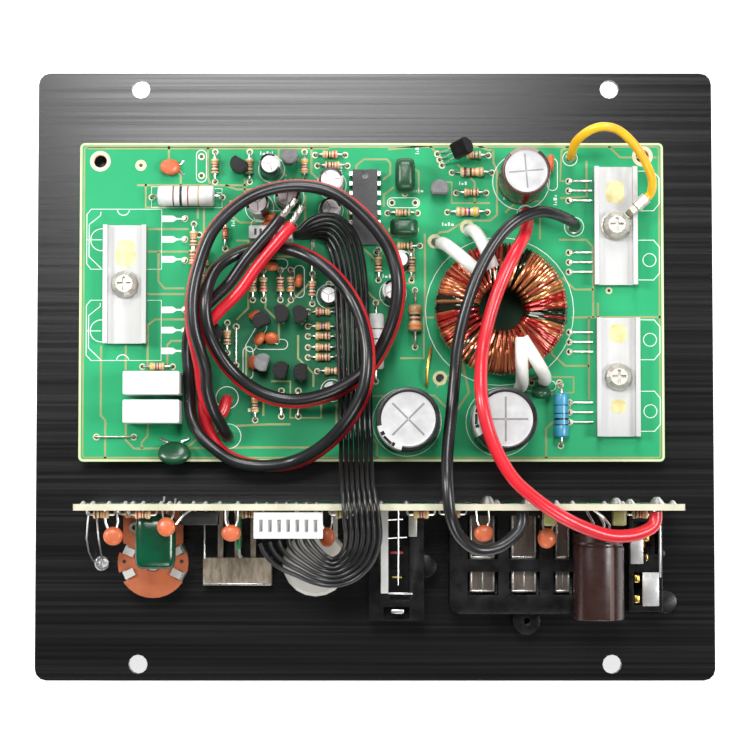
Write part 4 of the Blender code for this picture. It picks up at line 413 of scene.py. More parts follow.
def ribbon_wires():
    """One line for each wire, carried along the route at its own distance from the middle."""
    middles = along([p[:3] for p in RIBBON_ROUTE], 0.9)
    chords = [Vector(p[:3]) for p in RIBBON_ROUTE]
    marks = [0.0]
    for a, b in zip(chords, chords[1:]):
        marks.append(marks[-1] + (b - a).length)
    lines = [[] for _ in range(RIBBON_WAYS)]
    for i, middle in enumerate(middles):
        way = (middles[min(i + 1, len(middles) - 1)] - middles[max(i - 1, 0)]).normalized()
        wanted = marks[-1] * i / (len(middles) - 1)
        at = max(k for k in range(len(marks) - 1) if marks[k] <= wanted + 1e-9)
        share = (wanted - marks[at]) / (marks[at + 1] - marks[at])
        roll, spread = [a + (b - a) * share for a, b in zip(RIBBON_ROUTE[at][3:], RIBBON_ROUTE[at + 1][3:])]
        level = Vector((0, 0, 1)).cross(way).normalized()
        side = level * cos(radians(roll)) + level.cross(way) * -sin(radians(roll))
        for number in range(RIBBON_WAYS):
            slack = 0.06 * MM * sin(number * 2.1 + i * 0.05) if 4 < i < len(middles) - 5 else 0.0
            lines[number].append(middle * MM + side * (number - (RIBBON_WAYS - 1) / 2) * RIBBON_PITCH * spread
                                 + side.cross(way) * slack)
    return lines


ribbon = show("ribbon_wires", wire_mesh(ribbon_wires(), RIBBON_WIRE / 2, BLACK_PVC, 12), BLACK_PVC,
              slot="wire_black")
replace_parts(ribbon, "ribbon_cable")


# Mounting panel
# One sheet of aluminium, brushed along its width, anodised black, with four cabinet holes and the
# windows of the sockets and controls. Its brush lines catch the light in long grey streaks.

def dress(node, material):
    """Gives a CAD node its finish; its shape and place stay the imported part's own."""
    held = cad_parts[node]
    for place in held.material_slots:
        place.material = material


dress("mounting_panel", coated("brushed_black_anodising", (0.0018, 0.0018, 0.0020), 0.205, shade=(1.5, 1.5, 1.5),
          grain=150, spread=0.10, relief=260, bump=0.06, depth=0.0001, stretch=(0.04, 7.0, 1.0)))


# Main circuit board
# Glass-epoxy sheet with a green solder mask over copper; tan lines show where the copper is etched
# away. It is clamped down by three screws and carries every part of the power stage.

class Work:
    """A piece while it is made. Each shape is added in a finish, a colour with its metal and
    roughness, and every face keeps its own as attributes."""

    def __init__(self):
        self.verts, self.faces, self.finishes = [], [], []

    def add(self, verts, faces, finish, place=None):
        start = len(self.verts)
        self.verts += [tuple(place @ Vector(v)) if place else tuple(v) for v in verts]
        self.faces += [tuple(i + start for i in face) for face in faces]
        self.finishes += list(finish) if isinstance(finish, list) else [finish] * len(faces)
        return self

    def add_shape(self, shape, finish, place=None):
        """Adds the faces of a bmesh, which is freed."""
        shape.verts.index_update()
        self.add([v.co.copy() for v in shape.verts], [[v.index for v in f.verts] for f in shape.faces], finish,
                 place)
        shape.free()
        return self

    def mesh(self, name):
        made = bpy.data.meshes.new(name)
        made.from_pydata(self.verts, [], self.faces)
        for label, kind, read in (
                ("tint", "FLOAT_COLOR", lambda f: (*f[0], 1.0)), ("metal", "FLOAT", lambda f: f[1]),
                ("rough", "FLOAT", lambda f: f[2])):
            layer = made.attributes.new(label, kind, "FACE")
            values = [read(f) for f in self.finishes]
            if kind == "FLOAT":
                layer.data.foreach_set("value", values)
            else:
                layer.data.foreach_set("color", [c for v in values for c in v])
        return made


def built(name, work, material, **how):
    """Shows the piece that a Work holds."""
    return show(name, work.mesh(name), material, **how)


def block(work, x, y, z, finish, bevel=0.0, place=None, steps=2):
    """A box between its limits, in millimetres, with its edges rounded if asked."""
    shape = bmesh.new()
    bmesh.ops.create_cube(shape, size=1.0)
    size = Vector((x[1] - x[0], y[1] - y[0], z[1] - z[0])) * MM
    middle = Vector((x[0] + x[1], y[0] + y[1], z[0] + z[1])) * MM / 2
    for v in shape.verts:
        v.co = Vector([a * b for a, b in zip(v.co, size)]) + middle
    if bevel:
        bmesh.ops.bevel(shape, geom=shape.edges[:], offset=bevel * MM, segments=steps, profile=0.5,
                        affect="EDGES", clamp_overlap=True)
    return work.add_shape(shape, finish, place)


def round_body(work, profile, finish, place=None, sides=24):
    """A turned shape from radius and height pairs in millimetres, from its top down; finish may
    be a list with one for each band."""
    verts, rings = [], []
    for r, z in profile:
        if r < 1e-6:
            rings.append([len(verts)])
            verts.append((0.0, 0.0, z * MM))
        else:
            rings.append(list(range(len(verts), len(verts) + sides)))
            verts += [(r * MM * cos(2 * pi * i / sides), r * MM * sin(2 * pi * i / sides), z * MM)
                      for i in range(sides)]
    faces, finishes = [], []
    for number, (a, b) in enumerate(zip(rings, rings[1:])):
        coat = finish[number] if isinstance(finish, list) else finish
        for i in range(sides):
            j = (i + 1) % sides
            face = [a[0], b[i], b[j]] if len(a) == 1 else [a[j], a[i], b[0]] if len(b) == 1 else [a[i], b[i], b[j],
                    a[j]]
            faces.append(face)
            finishes.append(coat)
    return work.add(verts, faces, finishes, place)


def plate(work, rings, z, top, side=None, under=None, place=None):
    """A flat sheet between two heights from its outline and its holes, in millimetres."""
    outline = bpy.data.curves.new("plate", "CURVE")
    outline.dimensions, outline.fill_mode, outline.extrude = "2D", "BOTH", (z[1] - z[0]) / 2 * MM
    for ring in rings:
        spline = outline.splines.new("POLY")
        spline.points.add(len(ring) - 1)
        for point, (px, py) in zip(spline.points, ring):
            point.co = (px * MM, py * MM, 0.0, 1.0)
        spline.use_cyclic_u = True
    guide = bpy.data.objects.new("plate", outline)
    bpy.context.scene.collection.objects.link(guide)
    bpy.context.view_layer.update()
    shape = bmesh.new()
    made = bpy.data.meshes.new_from_object(guide.evaluated_get(bpy.context.evaluated_depsgraph_get()))
    shape.from_mesh(made)
    bmesh.ops.remove_doubles(shape, verts=shape.verts, dist=1e-7)
    bmesh.ops.recalc_face_normals(shape, faces=shape.faces)
    bpy.data.objects.remove(guide, do_unlink=True)
    bmesh.ops.translate(shape, vec=(0, 0, (z[0] + z[1]) / 2 * MM), verts=shape.verts)
    finishes = [top if f.normal.z > 0.5 else (under or top) if f.normal.z < -0.5 else (side or top)
                for f in shape.faces]
    return work.add_shape(shape, finishes, place)


def circle(x, y, radius, sides):
    return [(x + radius * cos(2 * pi * i / sides), y + radius * sin(2 * pi * i / sides)) for i in range(sides)]


def arc(x, y, radius, start, end, step):
    return [(x + radius * cos(radians(a)), y + radius * sin(radians(a))) for a in range(start, end, step)]


def rounded(x, y, width, height, radius, steps=4):
    ring = []
    for quarter, (sx, sy) in enumerate(((1, 1), (-1, 1), (-1, -1), (1, -1))):
        for i in range(steps + 1):
            angle = (quarter + i / steps) * pi / 2
            ring.append((x + sx * (width / 2 - radius) + radius * cos(angle),
                         y + sy * (height / 2 - radius) + radius * sin(angle)))
    return ring


def at(x, y, z=0.0, turn=0.0, tip=0.0, lean=0.0):
    """A place in millimetres and turns in degrees about Z, then X, then Y of the piece."""
    return (Matrix.Translation((x * MM, y * MM, z * MM)) @ Matrix.Rotation(radians(turn), 4, "Z")
            @ Matrix.Rotation(radians(tip), 4, "X") @ Matrix.Rotation(radians(lean), 4, "Y"))


BOARD_FOOT, BOARD_TOP = 6.0, 7.6
BOARD_X, BOARD_Y, BOARD_WIDTH, BOARD_DEPTH = -0.9, 18.7, 152.2, 83.2
HOLE_RADIUS, SCREW_HOLE_RADIUS = 1.7, 2.1
MASK_GREEN = ((0.012, 0.300, 0.118), 0.0, 0.46)
EPOXY_EDGE = ((0.66, 0.60, 0.36), 0.0, 0.55)
CLAMP_SCREWS = ((-64.9, 23.1), (62.5, 38.35), (63.0, -1.0))
BOARD_HOLES = ((-71.7, 55.5), (69.8, 56.8))
board = Work()
plate(board, [rounded(BOARD_X, BOARD_Y, BOARD_WIDTH, BOARD_DEPTH, 1.2)]
      + [circle(x, y, HOLE_RADIUS, 28) for x, y in BOARD_HOLES]
      + [circle(x, y, SCREW_HOLE_RADIUS, 20) for x, y in CLAMP_SCREWS],
      (BOARD_FOOT, BOARD_TOP), MASK_GREEN, EPOXY_EDGE)
SOLDER_MASK = coated("green_solder_mask", shade=(1.9, 1.16, 1.2), grain=26, spread=0.12, relief=600, bump=0.05,
                     Specular_IOR_Level=0.22)
# Painted shade: the board's colour is darkened inside the cable's loop and in the choke's hole, where shade falls:
# middle, reach and share
PAINTED_SHADE_SPOTS = (((-0.022, 0.010, 0.0076), 0.016, 0.034, 0.42), ((0.0324, 0.0162, 0.0076), 0.0065, 0.0125, 0.16))
mask_tree = SOLDER_MASK.node_tree
mask_place = node_in(mask_tree, "ShaderNodeTexCoord")
mask_colour = mask_tree.nodes["Principled BSDF"].inputs["Base Color"]
for middle, near, far, least in PAINTED_SHADE_SPOTS:
    reach = node_in(mask_tree, "ShaderNodeVectorMath", {1: middle}, operation="DISTANCE")
    shadow = node_in(mask_tree, "ShaderNodeMapRange", interpolation_type="SMOOTHSTEP",
                     values={"From Min": near, "From Max": far, "To Min": least, "To Max": 1.0})
    painted_shade = node_in(mask_tree, "ShaderNodeMix", {0: 1.0}, data_type="RGBA", blend_type="MULTIPLY")
    mask_tree.links.new(mask_colour.links[0].from_socket, painted_shade.inputs[6])
    mask_tree.links.new(painted_shade.outputs[2], mask_colour)
    join(mask_tree, (mask_place, "Object", reach, 0), (reach, "Value", shadow, "Value"), (shadow, 0, painted_shade, 7))
main_board = built("main_board_sheet", board, SOLDER_MASK, slot="board_green")
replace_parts(main_board, "main_circuit_board")


def printed_line_tree():
    """A thin flat strip of a given width laid along each line, lifted just off the board."""
    tree, given, out = tree_of("printed_line", (("Width", "Float", 0.0002), ("Thickness", "Float", 0.00001),
                                                ("Material", "Material", None)))
    section = node_in(tree, "GeometryNodeCurvePrimitiveQuadrilateral")
    upright = node_in(tree, "GeometryNodeSetCurveNormal", mode="Z_UP")
    sweep = node_in(tree, "GeometryNodeCurveToMesh", {"Fill Caps": True})
    join(tree, (given, "Width", section, "Width"), (given, "Thickness", section, "Height"),
         (given, "Geometry", upright, "Curve"), (upright, "Curve", sweep, "Curve"),
         (section, "Curve", sweep, "Profile Curve"))
    return ended(tree, given, out, sweep, "Mesh")


PRINTED_LINE = printed_line_tree()


def printed(name, lines, width, z, material, closed=False, slot="board_green"):
    source = paths([[Vector((x, y, z)) * MM for x, y in line] for line in lines], closed)
    sizes = {"Width": width * MM, "Thickness": 0.02 * MM, "Material": material}
    return show(name, grown(source, PRINTED_LINE, sizes), material, slot=slot)


# Lines etched out of the copper, each as x, y of one bend after another
ETCHED = (
    (-59.8, 49.5, -59.8, 43.4, -53.8, 43.4), (-62.1, 49.2, -48.6, 49.2, -33.0, 49.2),
    (-53.8, 59.4, -53.8, 55.0, -50.7, 51.8, -50.7, 49.2), (-43.6, 59.1, -43.6, 51.3, -43.0, 49.3),
    (-46.2, 43.4, -46.2, 40.4), (-44.6, 43.4, -44.6, 35.7, -46.5, 33.4, -46.5, 30.5), (-59.8, 37.7, -48.6, 37.7),
    (-59.8, 31.8, -48.6, 31.8), (-56.4, 31.8, -56.4, 24.0, -54.8, 22.2, -49.6, 22.2), (-59.5, 20.7, -49.6, 20.7),
    (-39.0, 49.2, -36.1, 48.1, -30.9, 48.1), (-37.2, 40.9, -35.1, 39.4, -30.9, 39.4),
    (-71.2, 7.2, -71.2, -10.8, -70.0, -12.2, -70.0, -22.7), (-64.8, 7.4, -64.8, 0.9),
    (-64.7, -13.1, -64.7, -17.3, -62.5, -19.5, -30.9, -19.2, -14.0, -19.2, -10.0, -15.2, -10.0, -8.0),
    (-59.1, 1.2, -59.1, 12.6, -57.2, 14.1, -48.6, 14.1), (-54.0, 1.2, -54.0, 7.4, -53.0, 8.5, -48.6, 8.5),
    (-59.0, -13.1, -59.0, -16.2, -60.5, -17.9, -60.5, -19.5), (-36.1, -13.6, -27.8, -13.2, -22.0, -13.2),
    (-41.3, -14.2, -45.5, -14.2, -46.5, -17.3, -48.6, -19.2),
    (-4.9, 53.1, -4.9, 54.4, -2.9, 56.0, 3.1, 56.0, 4.0, 55.0, 4.0, 52.1, 2.1, 50.7),
    (-16.6, 59.1, -16.6, 52.4, -14.3, 50.3), (-25.2, 58.6, -25.2, 53.9, -23.1, 51.6),
    (-10.1, 48.7, -7.0, 46.1, -7.0, 33.0), (-18.2, 46.6, -18.2, 39.9, -20.0, 38.0),
    (-36.1, 34.7, -33.0, 34.7, -33.0, 30.5, -36.1, 28.5), (-20.0, 30.5, -29.9, 30.5, -31.9, 28.5, -35.1, 28.5),
    (-2.9, 32.6, 0.3, 29.5, 3.4, 32.6, 8.1, 32.6), (-2.9, 28.5, -2.9, 22.2, 0.3, 19.1, 8.1, 19.1),
    (-23.1, 17.5, -15.3, 25.3), (-14.3, 28.5, -9.1, 23.3, -9.1, 14.9, -4.0, 9.8, -4.0, 0.0),
    (4.9, 48.7, 2.3, 46.6, 2.3, 43.5), (3.4, 58.6, 14.2, 59.6, 16.9, 56.9, 16.9, 54.3),
    (-33.0, 23.3, -33.0, 17.0, -36.0, 14.0),
    (30.9, 58.4, 30.9, 55.2, 31.8, 53.1, 31.8, 41.4, 30.0, 39.9, 23.5, 39.9, 19.1, 37.1, 16.9, 36.8, 13.6, 34.4),
    (52.0, 60.0, 48.7, 58.4, 48.3, 50.3, 55.2, 50.3), (55.2, 55.6, 55.2, 46.2, 48.3, 45.8),
    (47.9, 34.9, 55.0, 34.9, 56.7, 33.1, 56.8, 14.6), (51.0, 14.6, 74.3, 14.7), (55.6, 14.6, 55.6, -6.7),
    (44.4, -22.0, 44.4, -14.3, 46.4, -12.4), (39.8, -0.9, 51.6, -0.9, 51.6, -4.9, 41.4, -5.7),
    (6.5, 4.0, 12.7, 4.0, 12.7, 14.6, 15.4, 14.6), (13.0, 36.5, 13.0, 14.6), (10.1, 31.6, 10.1, 23.5, 6.5, 23.5),
    (50.7, -6.6, 50.7, -10.2, 55.6, -10.2), (22.7, 3.2, 24.4, -4.9, 21.1, -9.8),
    (26.0, 60.0, 29.6, 58.4, 30.9, 58.4), (7.7, 55.2, 11.4, 52.7, 11.4, 47.0),
    (48.7, 25.1, 52.0, 21.9, 56.8, 21.9),
    (0.5, -22.0, 0.5, -18.0, -3.0, -14.5, -3.0, -6.0, 6.5, -5.7, 15.4, -5.7, 18.7, -9.0),
    (-38.0, 45.0, -34.0, 45.0, -34.0, 51.0), (-28.5, 21.0, -28.5, 17.0, -25.0, 13.5, -25.0, 8.0),
    (-20.0, 10.0, -20.0, 4.0, -16.0, 0.0, -16.0, -3.5), (-33.5, 7.0, -33.5, -1.0, -29.0, -5.5, -29.0, -11.0),
    (-42.0, 4.0, -37.0, -1.0, -35.0, -1.0), (-27.0, -2.0, -22.0, -2.0, -22.0, -11.5, -14.0, -11.5, -14.0, -6.0),
    (-16.0, 33.0, -16.0, 37.0, -12.0, 41.0), (16.5, 50.0, 20.0, 50.0, 20.0, 44.5, 30.0, 44.5),
    (61.0, 59.4, 64.0, 56.5, 73.5, 56.5), (-75.0, 58.9, -12.0, 58.9), (58.0, 18.5, 58.0, 14.7),
    (46.0, 12.0, 46.0, 5.0, 49.5, 2.0, 55.6, 2.0), (26.0, 44.5, 26.0, 50.0, 21.5, 54.7),
    (34.0, 42.0, 37.0, 45.0, 43.0, 45.0, 43.0, 35.0), (16.0, -3.5, 19.5, 0.0, 23.0, 0.0))
MASK_TAN = coated("etched_line_tan", (0.29, 0.33, 0.13), 0.35, shade=(0.8, 0.85, 0.7), grain=200, relief=600,
                  bump=0.05)
ETCHED_Z, RIM_Z, PRINT_Z, MARK_Z = BOARD_TOP + 0.006, BOARD_TOP + 0.008, BOARD_TOP + 0.014, BOARD_TOP + 0.02
printed("etched_lines", [zip(line[::2], line[1::2]) for line in ETCHED], 0.56, ETCHED_Z, MASK_TAN)
printed("etched_border", [rounded(BOARD_X, BOARD_Y, BOARD_WIDTH - 2.3, BOARD_DEPTH - 2.1, 0.8)], 0.45, ETCHED_Z,
        MASK_TAN, True)
printed("board_rim", [rounded(BOARD_X, BOARD_Y, BOARD_WIDTH - 0.7, BOARD_DEPTH - 0.7, 1.0)], 0.55, RIM_Z,
        coated("raw_epoxy_rim", (0.72, 0.62, 0.40), 0.5, shade=(0.9, 0.95, 0.85), grain=60), True)

SCREEN_WHITE = coated("white_screen_print", (0.80, 0.84, 0.80), 0.5, shade=(0.82, 0.9, 0.84), grain=700, relief=900,
                      bump=0.05)
OUTLINES = [
    ((-74.0, 42.9), (-75.1, 41.5), (-75.1, 28.7), (-74.0, 27.2), (-55.6, 27.2), (-55.6, 42.9)),
    ((-74.0, 19.1), (-75.1, 17.7), (-75.1, 4.8), (-73.8, 3.4), (-55.6, 3.4), (-55.6, 19.1)),
    ((-39.9, 48.3), (-39.9, 43.3), (-58.3, 43.3), (-58.3, 48.8))]
OPEN_LINES = [((-39.9, 47.2), (-41.3, 47.2)), ((-72.4, -16.5), (-62.4, -16.5))]
LEFT_ROWS, RIGHT_ROWS = (35.0, 11.2), (47.7, 29.6, 8.8, -9.8)
for y in LEFT_ROWS:
    OPEN_LINES.append(((-71.5, y + 7.2), (-71.5, y + 6.3), (-74.5, y + 3.9), (-74.5, y - 4.5), (-71.3, y - 7.6)))
    OPEN_LINES.append(((-75.1, y - 0.1), (-71.2, y - 0.1)))
    OPEN_LINES.append(arc(-71.2, y - 0.1, 2.9, 80, 281, 20))
    for side in (1, -1):
        OPEN_LINES.append(arc(-65.6, y + side * 7.9, 1.6, 0, -side * 181, -side * 20))
for y in RIGHT_ROWS:
    OPEN_LINES.append(((68.6, y + 5.2), (72.6, y + 5.2), (74.1, y + 3.4), (74.1, y - 3.4), (72.6, y - 5.2),
                       (68.6, y - 5.2)))
    if y != RIGHT_ROWS[0]:
        OUTLINES.append(circle(71.5, y, 1.7, 20))
for x, y, radius in (
        (-38.4, -6.3, 2.9), (-38.0, -16.3, 3.2), (51.9, 38.3, 2.5), (39.3, 41.6, 2.3), (50.9, 56.2, 1.9),
        (32.4, 16.2, 19.3), (38.1, 50.1, 7.4), (8.3, -12.6, 8.9), (32.5, -12.6, 8.9), (-27.0, 53.3, 3.4),
        (-11.3, 49.3, 3.8), (-30.1, 43.3, 3.7), (-22.4, 45.9, 3.9), (-11.5, 42.6, 3.2), (6.6, 29.2, 3.0),
        (4.7, 20.8, 3.5), (-12.0, 20.1, 3.2), (-11.2, -4.4, 2.9)):
    OUTLINES.append(circle(x, y, radius, 36))
for x, y, turn in (
        (-45.3, 54.2, 90), (-19.7, 24.0, 90), (-30.9, 9.5, 60), (-26.9, 7.6, 0), (-33.0, 2.8, 90), (-26.9, 28.6, 0),
        (-27.5, 41.2, 0), (-28.1, 38.9, 0), (46.3, 52.0, 90), (42.8, -3.2, 0), (7.4, 44.6, 0)):
    c, s = cos(radians(turn)), sin(radians(turn))
    OUTLINES.append([(x + c * a - s * b, y + s * a + c * b) for a, b in rounded(0, 0, 8.4, 2.6, 1.25)])
printed("screen_outlines", OUTLINES, 0.20, PRINT_Z, SCREEN_WHITE, True, "white_plastic")
printed("screen_lines", OPEN_LINES, 0.22, PRINT_Z, SCREEN_WHITE, False, "white_plastic")
marks, MARK_WHITE = Work(), ((0.80, 0.84, 0.80), 0.0, 0.5)
for y in (40.4, 35.0, 29.8, 16.6, 11.3, 5.9):
    plate(marks, [[(-55.6, y - 0.85), (-52.6, y - 0.85), (-51.7, y - 0.25), (-50.4, y - 0.2), (-50.4, y + 0.2),
                   (-51.7, y + 0.25), (-52.6, y + 0.85), (-55.6, y + 0.85)]], (BOARD_TOP, MARK_Z), MARK_WHITE)
# Short plain strokes where the board has small print: place, turn and how many
random.seed(11)
for x, y, turn, count in (
        (-9.0, 51.6, 90, 5), (-17.0, 36.0, 0, 3), (-30.0, 57.6, 0, 5), (-23.5, 50.4, 0, 5), (11.0, 57.4, 90, 3),
        (9.8, 47.8, 0, 4), (17.5, 39.0, 0, 4), (33.5, 45.8, 0, 2), (47.0, 44.0, 90, 4), (2.0, 25.4, 0, 4),
        (-33.0, -9.5, 0, 3), (-20.5, 31.5, 0, 4), (-37.0, 38.5, 90, 3), (22.0, 49.7, 0, 3)):
    step = 0.0
    for dash in range(count):
        width = random.choice((0.22, 0.5, 0.7, 0.3))
        block(marks, (step, step + width), (-0.45, 0.45 - 0.35 * (dash % 2)), (BOARD_TOP, MARK_Z), MARK_WHITE,
              place=at(x, y, 0, turn))
        step += width + 0.35
built("screen_marks", marks, coated("white_screen_marks", shade=(0.82, 0.9, 0.84), grain=700, bump=0.05),
      slot="white_plastic")


# Small resistors
# Film resistors with a beige coat and colour bands, lying on the board with their tinned leads bent
# down into soldered eyes; a few larger ones stand among them, and one is blue.

def stroke(work, points, radius, finish, sides=8):
    """A round wire along a line, in millimetres, closed at both ends."""
    line = [Vector(p) * MM for p in points]
    across = (line[1] - line[0]).orthogonal().normalized()
    verts, faces = [], []
    for i, point in enumerate(line):
        way = (line[min(i + 1, len(line) - 1)] - line[max(i - 1, 0)]).normalized()
        across = (across - way * across.dot(way)).normalized()
        other = way.cross(across)
        for k in range(sides):
            angle = 2 * pi * k / sides
            verts.append(point + (across * cos(angle) + other * sin(angle)) * radius * MM)
    for i in range(len(line) - 1):
        for k in range(sides):
            n = (k + 1) % sides
            faces.append((i * sides + k, i * sides + n, (i + 1) * sides + n, (i + 1) * sides + k))
    faces.append(tuple(reversed(range(sides))))
    faces.append(tuple(range((len(line) - 1) * sides, len(line) * sides)))
    return work.add(verts, faces, finish)


def set_out_tree():
    """One copy of a part on each point, with the point's own turn and size. Faces of the part in
    zones 1 to 4 take the point's colours band_1 to band_4."""
    tree, given, out = tree_of("set_out", (("Part", "Object", None), ("Material", "Material", None)))

    def named(label, kind):
        return node_in(tree, "GeometryNodeInputNamedAttribute", {"Name": label}, data_type=kind)

    part, place = node_in(tree, "GeometryNodeObjectInfo"), node_in(tree, "GeometryNodeInstanceOnPoints")
    turned, real = node_in(tree, "FunctionNodeEulerToRotation"), node_in(tree, "GeometryNodeRealizeInstances")
    join(tree, (given, "Part", part, "Object"), (given, "Geometry", place, "Points"),
         (part, "Geometry", place, "Instance"), (named("turn", "FLOAT_VECTOR"), "Attribute", turned, 0),
         (turned, 0, place, "Rotation"), (named("size", "FLOAT_VECTOR"), "Attribute", place, "Scale"),
         (place, "Instances", real, "Geometry"))
    colour, leaving = named("tint", "FLOAT_COLOR"), "Attribute"
    for zone in (1, 2, 3, 4):
        own = node_in(tree, "FunctionNodeCompare", {1: zone, "Epsilon": 0.1}, data_type="FLOAT", operation="EQUAL")
        choice = node_in(tree, "ShaderNodeMix", data_type="RGBA")
        join(tree, (named("zone", "FLOAT"), "Attribute", own, 0), (own, 0, choice, 0), (colour, leaving, choice, 6),
             (named("band_%d" % zone, "FLOAT_COLOR"), "Attribute", choice, 7))
        colour, leaving = choice, 2
    keep = node_in(tree, "GeometryNodeStoreNamedAttribute", {"Name": "tint"}, data_type="FLOAT_COLOR",
                   domain="FACE")
    join(tree, (real, "Geometry", keep, "Geometry"), (colour, leaving, keep, "Value"))
    return ended(tree, given, out, keep, "Geometry")


SET_OUT = set_out_tree()


def set_out(name, work, places, material, slot, zones=()):
    """Sets a part out at its places: each is a point in millimetres, turns in degrees, a size and
    up to four colours. zones gives the zone of each face of the part that has one."""
    template = bpy.data.objects.new(name + "_template", work.mesh(name + "_template"))
    layer = template.data.attributes.new("zone", "FLOAT", "FACE")
    marks = [0.0] * len(work.faces)
    for i, zone in zones:
        marks[i] = zone
    layer.data.foreach_set("value", marks)
    points = bpy.data.meshes.new(name + "_places")
    points.from_pydata([Vector(p[0]) * MM for p in places], [], [])
    for label, read in (("turn", lambda p: [radians(v) for v in p[1]]), ("size", lambda p: p[2])):
        points.attributes.new(label, "FLOAT_VECTOR", "POINT").data.foreach_set("vector",
                [v for p in places for v in read(p)])
    for zone in range(4):
        values = []
        for p in places:
            colour = p[3][zone] if zone < len(p[3]) else (0.5, 0.5, 0.5)
            values += [*colour, 1.0]
        points.attributes.new("band_%d" % (zone + 1), "FLOAT_COLOR", "POINT").data.foreach_set("color", values)
    mesh = grown(bpy.data.objects.new(name + "_places", points), SET_OUT, {"Part": template, "Material": material})
    bpy.data.objects.remove(template, do_unlink=True)
    return show(name, mesh, material, slot=slot)


def standing(x, y, turn=0, *bands, z=BOARD_TOP):
    """A place for one part that stands on the board, turned about its own height."""
    return (x, y, z), (0, 0, turn), (1, 1, 1), bands


BRIGHT_TIN = ((0.72, 0.71, 0.68), 1.0, 0.26)
SOLDER = ((0.62, 0.62, 0.60), 1.0, 0.34)
EYE_RING = ((0.66, 0.66, 0.42), 0.0, 0.4)
# The eyes' holes are flat dark discs: painted shade standing in for the depth of each hole
HOLE_PAINTED_SHADE = ((0.020, 0.016, 0.010), 0.0, 0.7)
PARTS_FINISH = coated("coated_small_parts", shade=(0.80, 0.80, 0.80), grain=700, spread=0.10, relief=1500,
                      bump=0.10, Coat_Weight=0.3, Coat_Roughness=0.15)


def eye(work, x, y, ring=0.86, hole=0.50):
    """A soldering eye: a bare ring round a hole, just proud of the board; the hole is a dark disc of painted shade.
    """
    round_body(work, [(0.0, 0.018), (hole, 0.018), (hole, 0.030), (ring, 0.030), (ring, -0.010), (0.0, -0.010)],
               [HOLE_PAINTED_SHADE] + [EYE_RING] * 4, at(x, y), 12)


def resistor(length, width, pitch, body, ends=1.08, waist=0.86, sides=14, fine=False):
    """Template of a resistor along X, standing on its board: the body's zones 1 to 4 are bands."""
    work, zones = Work(), []
    half, r, up = length / 2, width / 2, width / 2 + 0.12
    step = waist + (ends - waist) * 0.2
    # Each cut: its share of the half length, its reach as a share of the radius, and its band
    cuts = [(-1.0, 0.30, 0), (-0.985, 0.74, 0), (-0.86, 0.97 * ends, 0), (-0.72, ends, 0), (-0.50, ends * 0.99, 1),
            (-0.42, step, 0), (-0.22, waist, 0), (-0.04, waist, 2), (0.10, waist, 0), (0.28, waist, 3),
            (0.42, step, 0), (0.52, ends * 0.99, 0), (0.70, ends, 4), (0.86, 0.97 * ends, 0), (0.985, 0.74, 0),
            (1.0, 0.30, 0)]
    if fine:
        cuts = [(-1.0, 0.40, 0), (-0.985, 0.80, 0), (-0.93, 0.96, 0), (-0.86, ends, 0), (-0.52, ends, 0),
                (-0.46, waist, 0), (-0.41, waist, 1), (-0.22, waist, 0), (-0.13, waist, 2), (0.05, waist, 0),
                (0.10, waist, 3), (0.42, waist, 0), (0.46, waist, 4), (0.52, ends, 0), (0.88, ends, 0),
                (0.94, 0.96, 0), (0.985, 0.80, 0), (1.0, 0.40, 0)]
    verts, faces = [], []
    for share, reach, _ in cuts:
        for k in range(sides):
            a = 2 * pi * k / sides
            verts.append((share * half * MM, r * reach * cos(a) * MM, (up + r * reach * sin(a)) * MM))
    for i in range(len(cuts) - 1):
        for k in range(sides):
            n = (k + 1) % sides
            if cuts[i + 1][2]:
                zones.append((len(faces), cuts[i + 1][2]))
            faces.append((i * sides + k, (i + 1) * sides + k, (i + 1) * sides + n, i * sides + n))
    faces += [tuple(range(sides)), tuple(reversed(range(len(verts) - sides, len(verts))))]
    work.add(verts, [tuple(reversed(f)) for f in faces], body)
    reach = pitch / 2
    for side in (-1, 1):
        stroke(work, [(side * half * 0.97, 0, up), (side * (reach - 0.55), 0, up),
                      (side * (reach - 0.16), 0, up - 0.18), (side * reach, 0, up - 0.6), (side * reach, 0, -0.3)],
               0.27 + width * 0.015, BRIGHT_TIN, 8)
        eye(work, side * (reach + 0.22), 0)
    return work, zones


BEIGE, BROWN, RED, ORANGE = (0.74, 0.52, 0.30), (0.13, 0.035, 0.015), (0.50, 0.030, 0.020), (0.70, 0.20, 0.03)
BLACK, YELLOW, GREEN = (0.012, 0.010, 0.010), (0.75, 0.50, 0.03), (0.03, 0.20, 0.06)
VIOLET, GOLD = (0.10, 0.03, 0.16), (0.45, 0.27, 0.07)
BAND_SETS = ((BROWN, BLACK, ORANGE, GOLD), (RED, RED, BLACK, GOLD), (BROWN, BLACK, RED, GOLD),
             (YELLOW, VIOLET, RED, GOLD), (BROWN, BROWN, RED, GOLD), (GREEN, BROWN, ORANGE, GOLD),
             (ORANGE, BLACK, BROWN, GOLD))
RESISTORS = (
    (-41.7, 54.0, 90), (-32.7, 54.0, 90), (-18.4, 54.0, 90), (-47.2, 35.1, 90), (0.9, 28.3, 90), (9.5, 28.3, 90),
    (-31.8, 23.1, 90), (-29.0, 23.1, 90), (-24.6, 23.1, 90), (-21.9, 23.1, 90), (-16.3, 22.1, 90), (-38.4, 9.3, 90),
    (-31.1, -8.2, 90), (-11.7, 57.1, 0), (-11.1, 54.3, 0), (7.2, 41.9, 0), (7.8, 33.3, 0), (25.7, 57.0, 0),
    (25.1, 47.2, 0), (-13.5, 16.1, 0), (-13.5, 12.3, 0), (-13.5, 9.7, 0), (-13.5, 6.8, 0), (-13.5, 4.2, 0),
    (-11.1, 0.6, 0), (-56.5, 1.8, 0), (-47.4, 30.2, 90), (-44.2, 30.0, 90))
random.seed(4)
work, zones = resistor(4.0, 2.0, 7.4, (BEIGE, 0.0, 0.35))
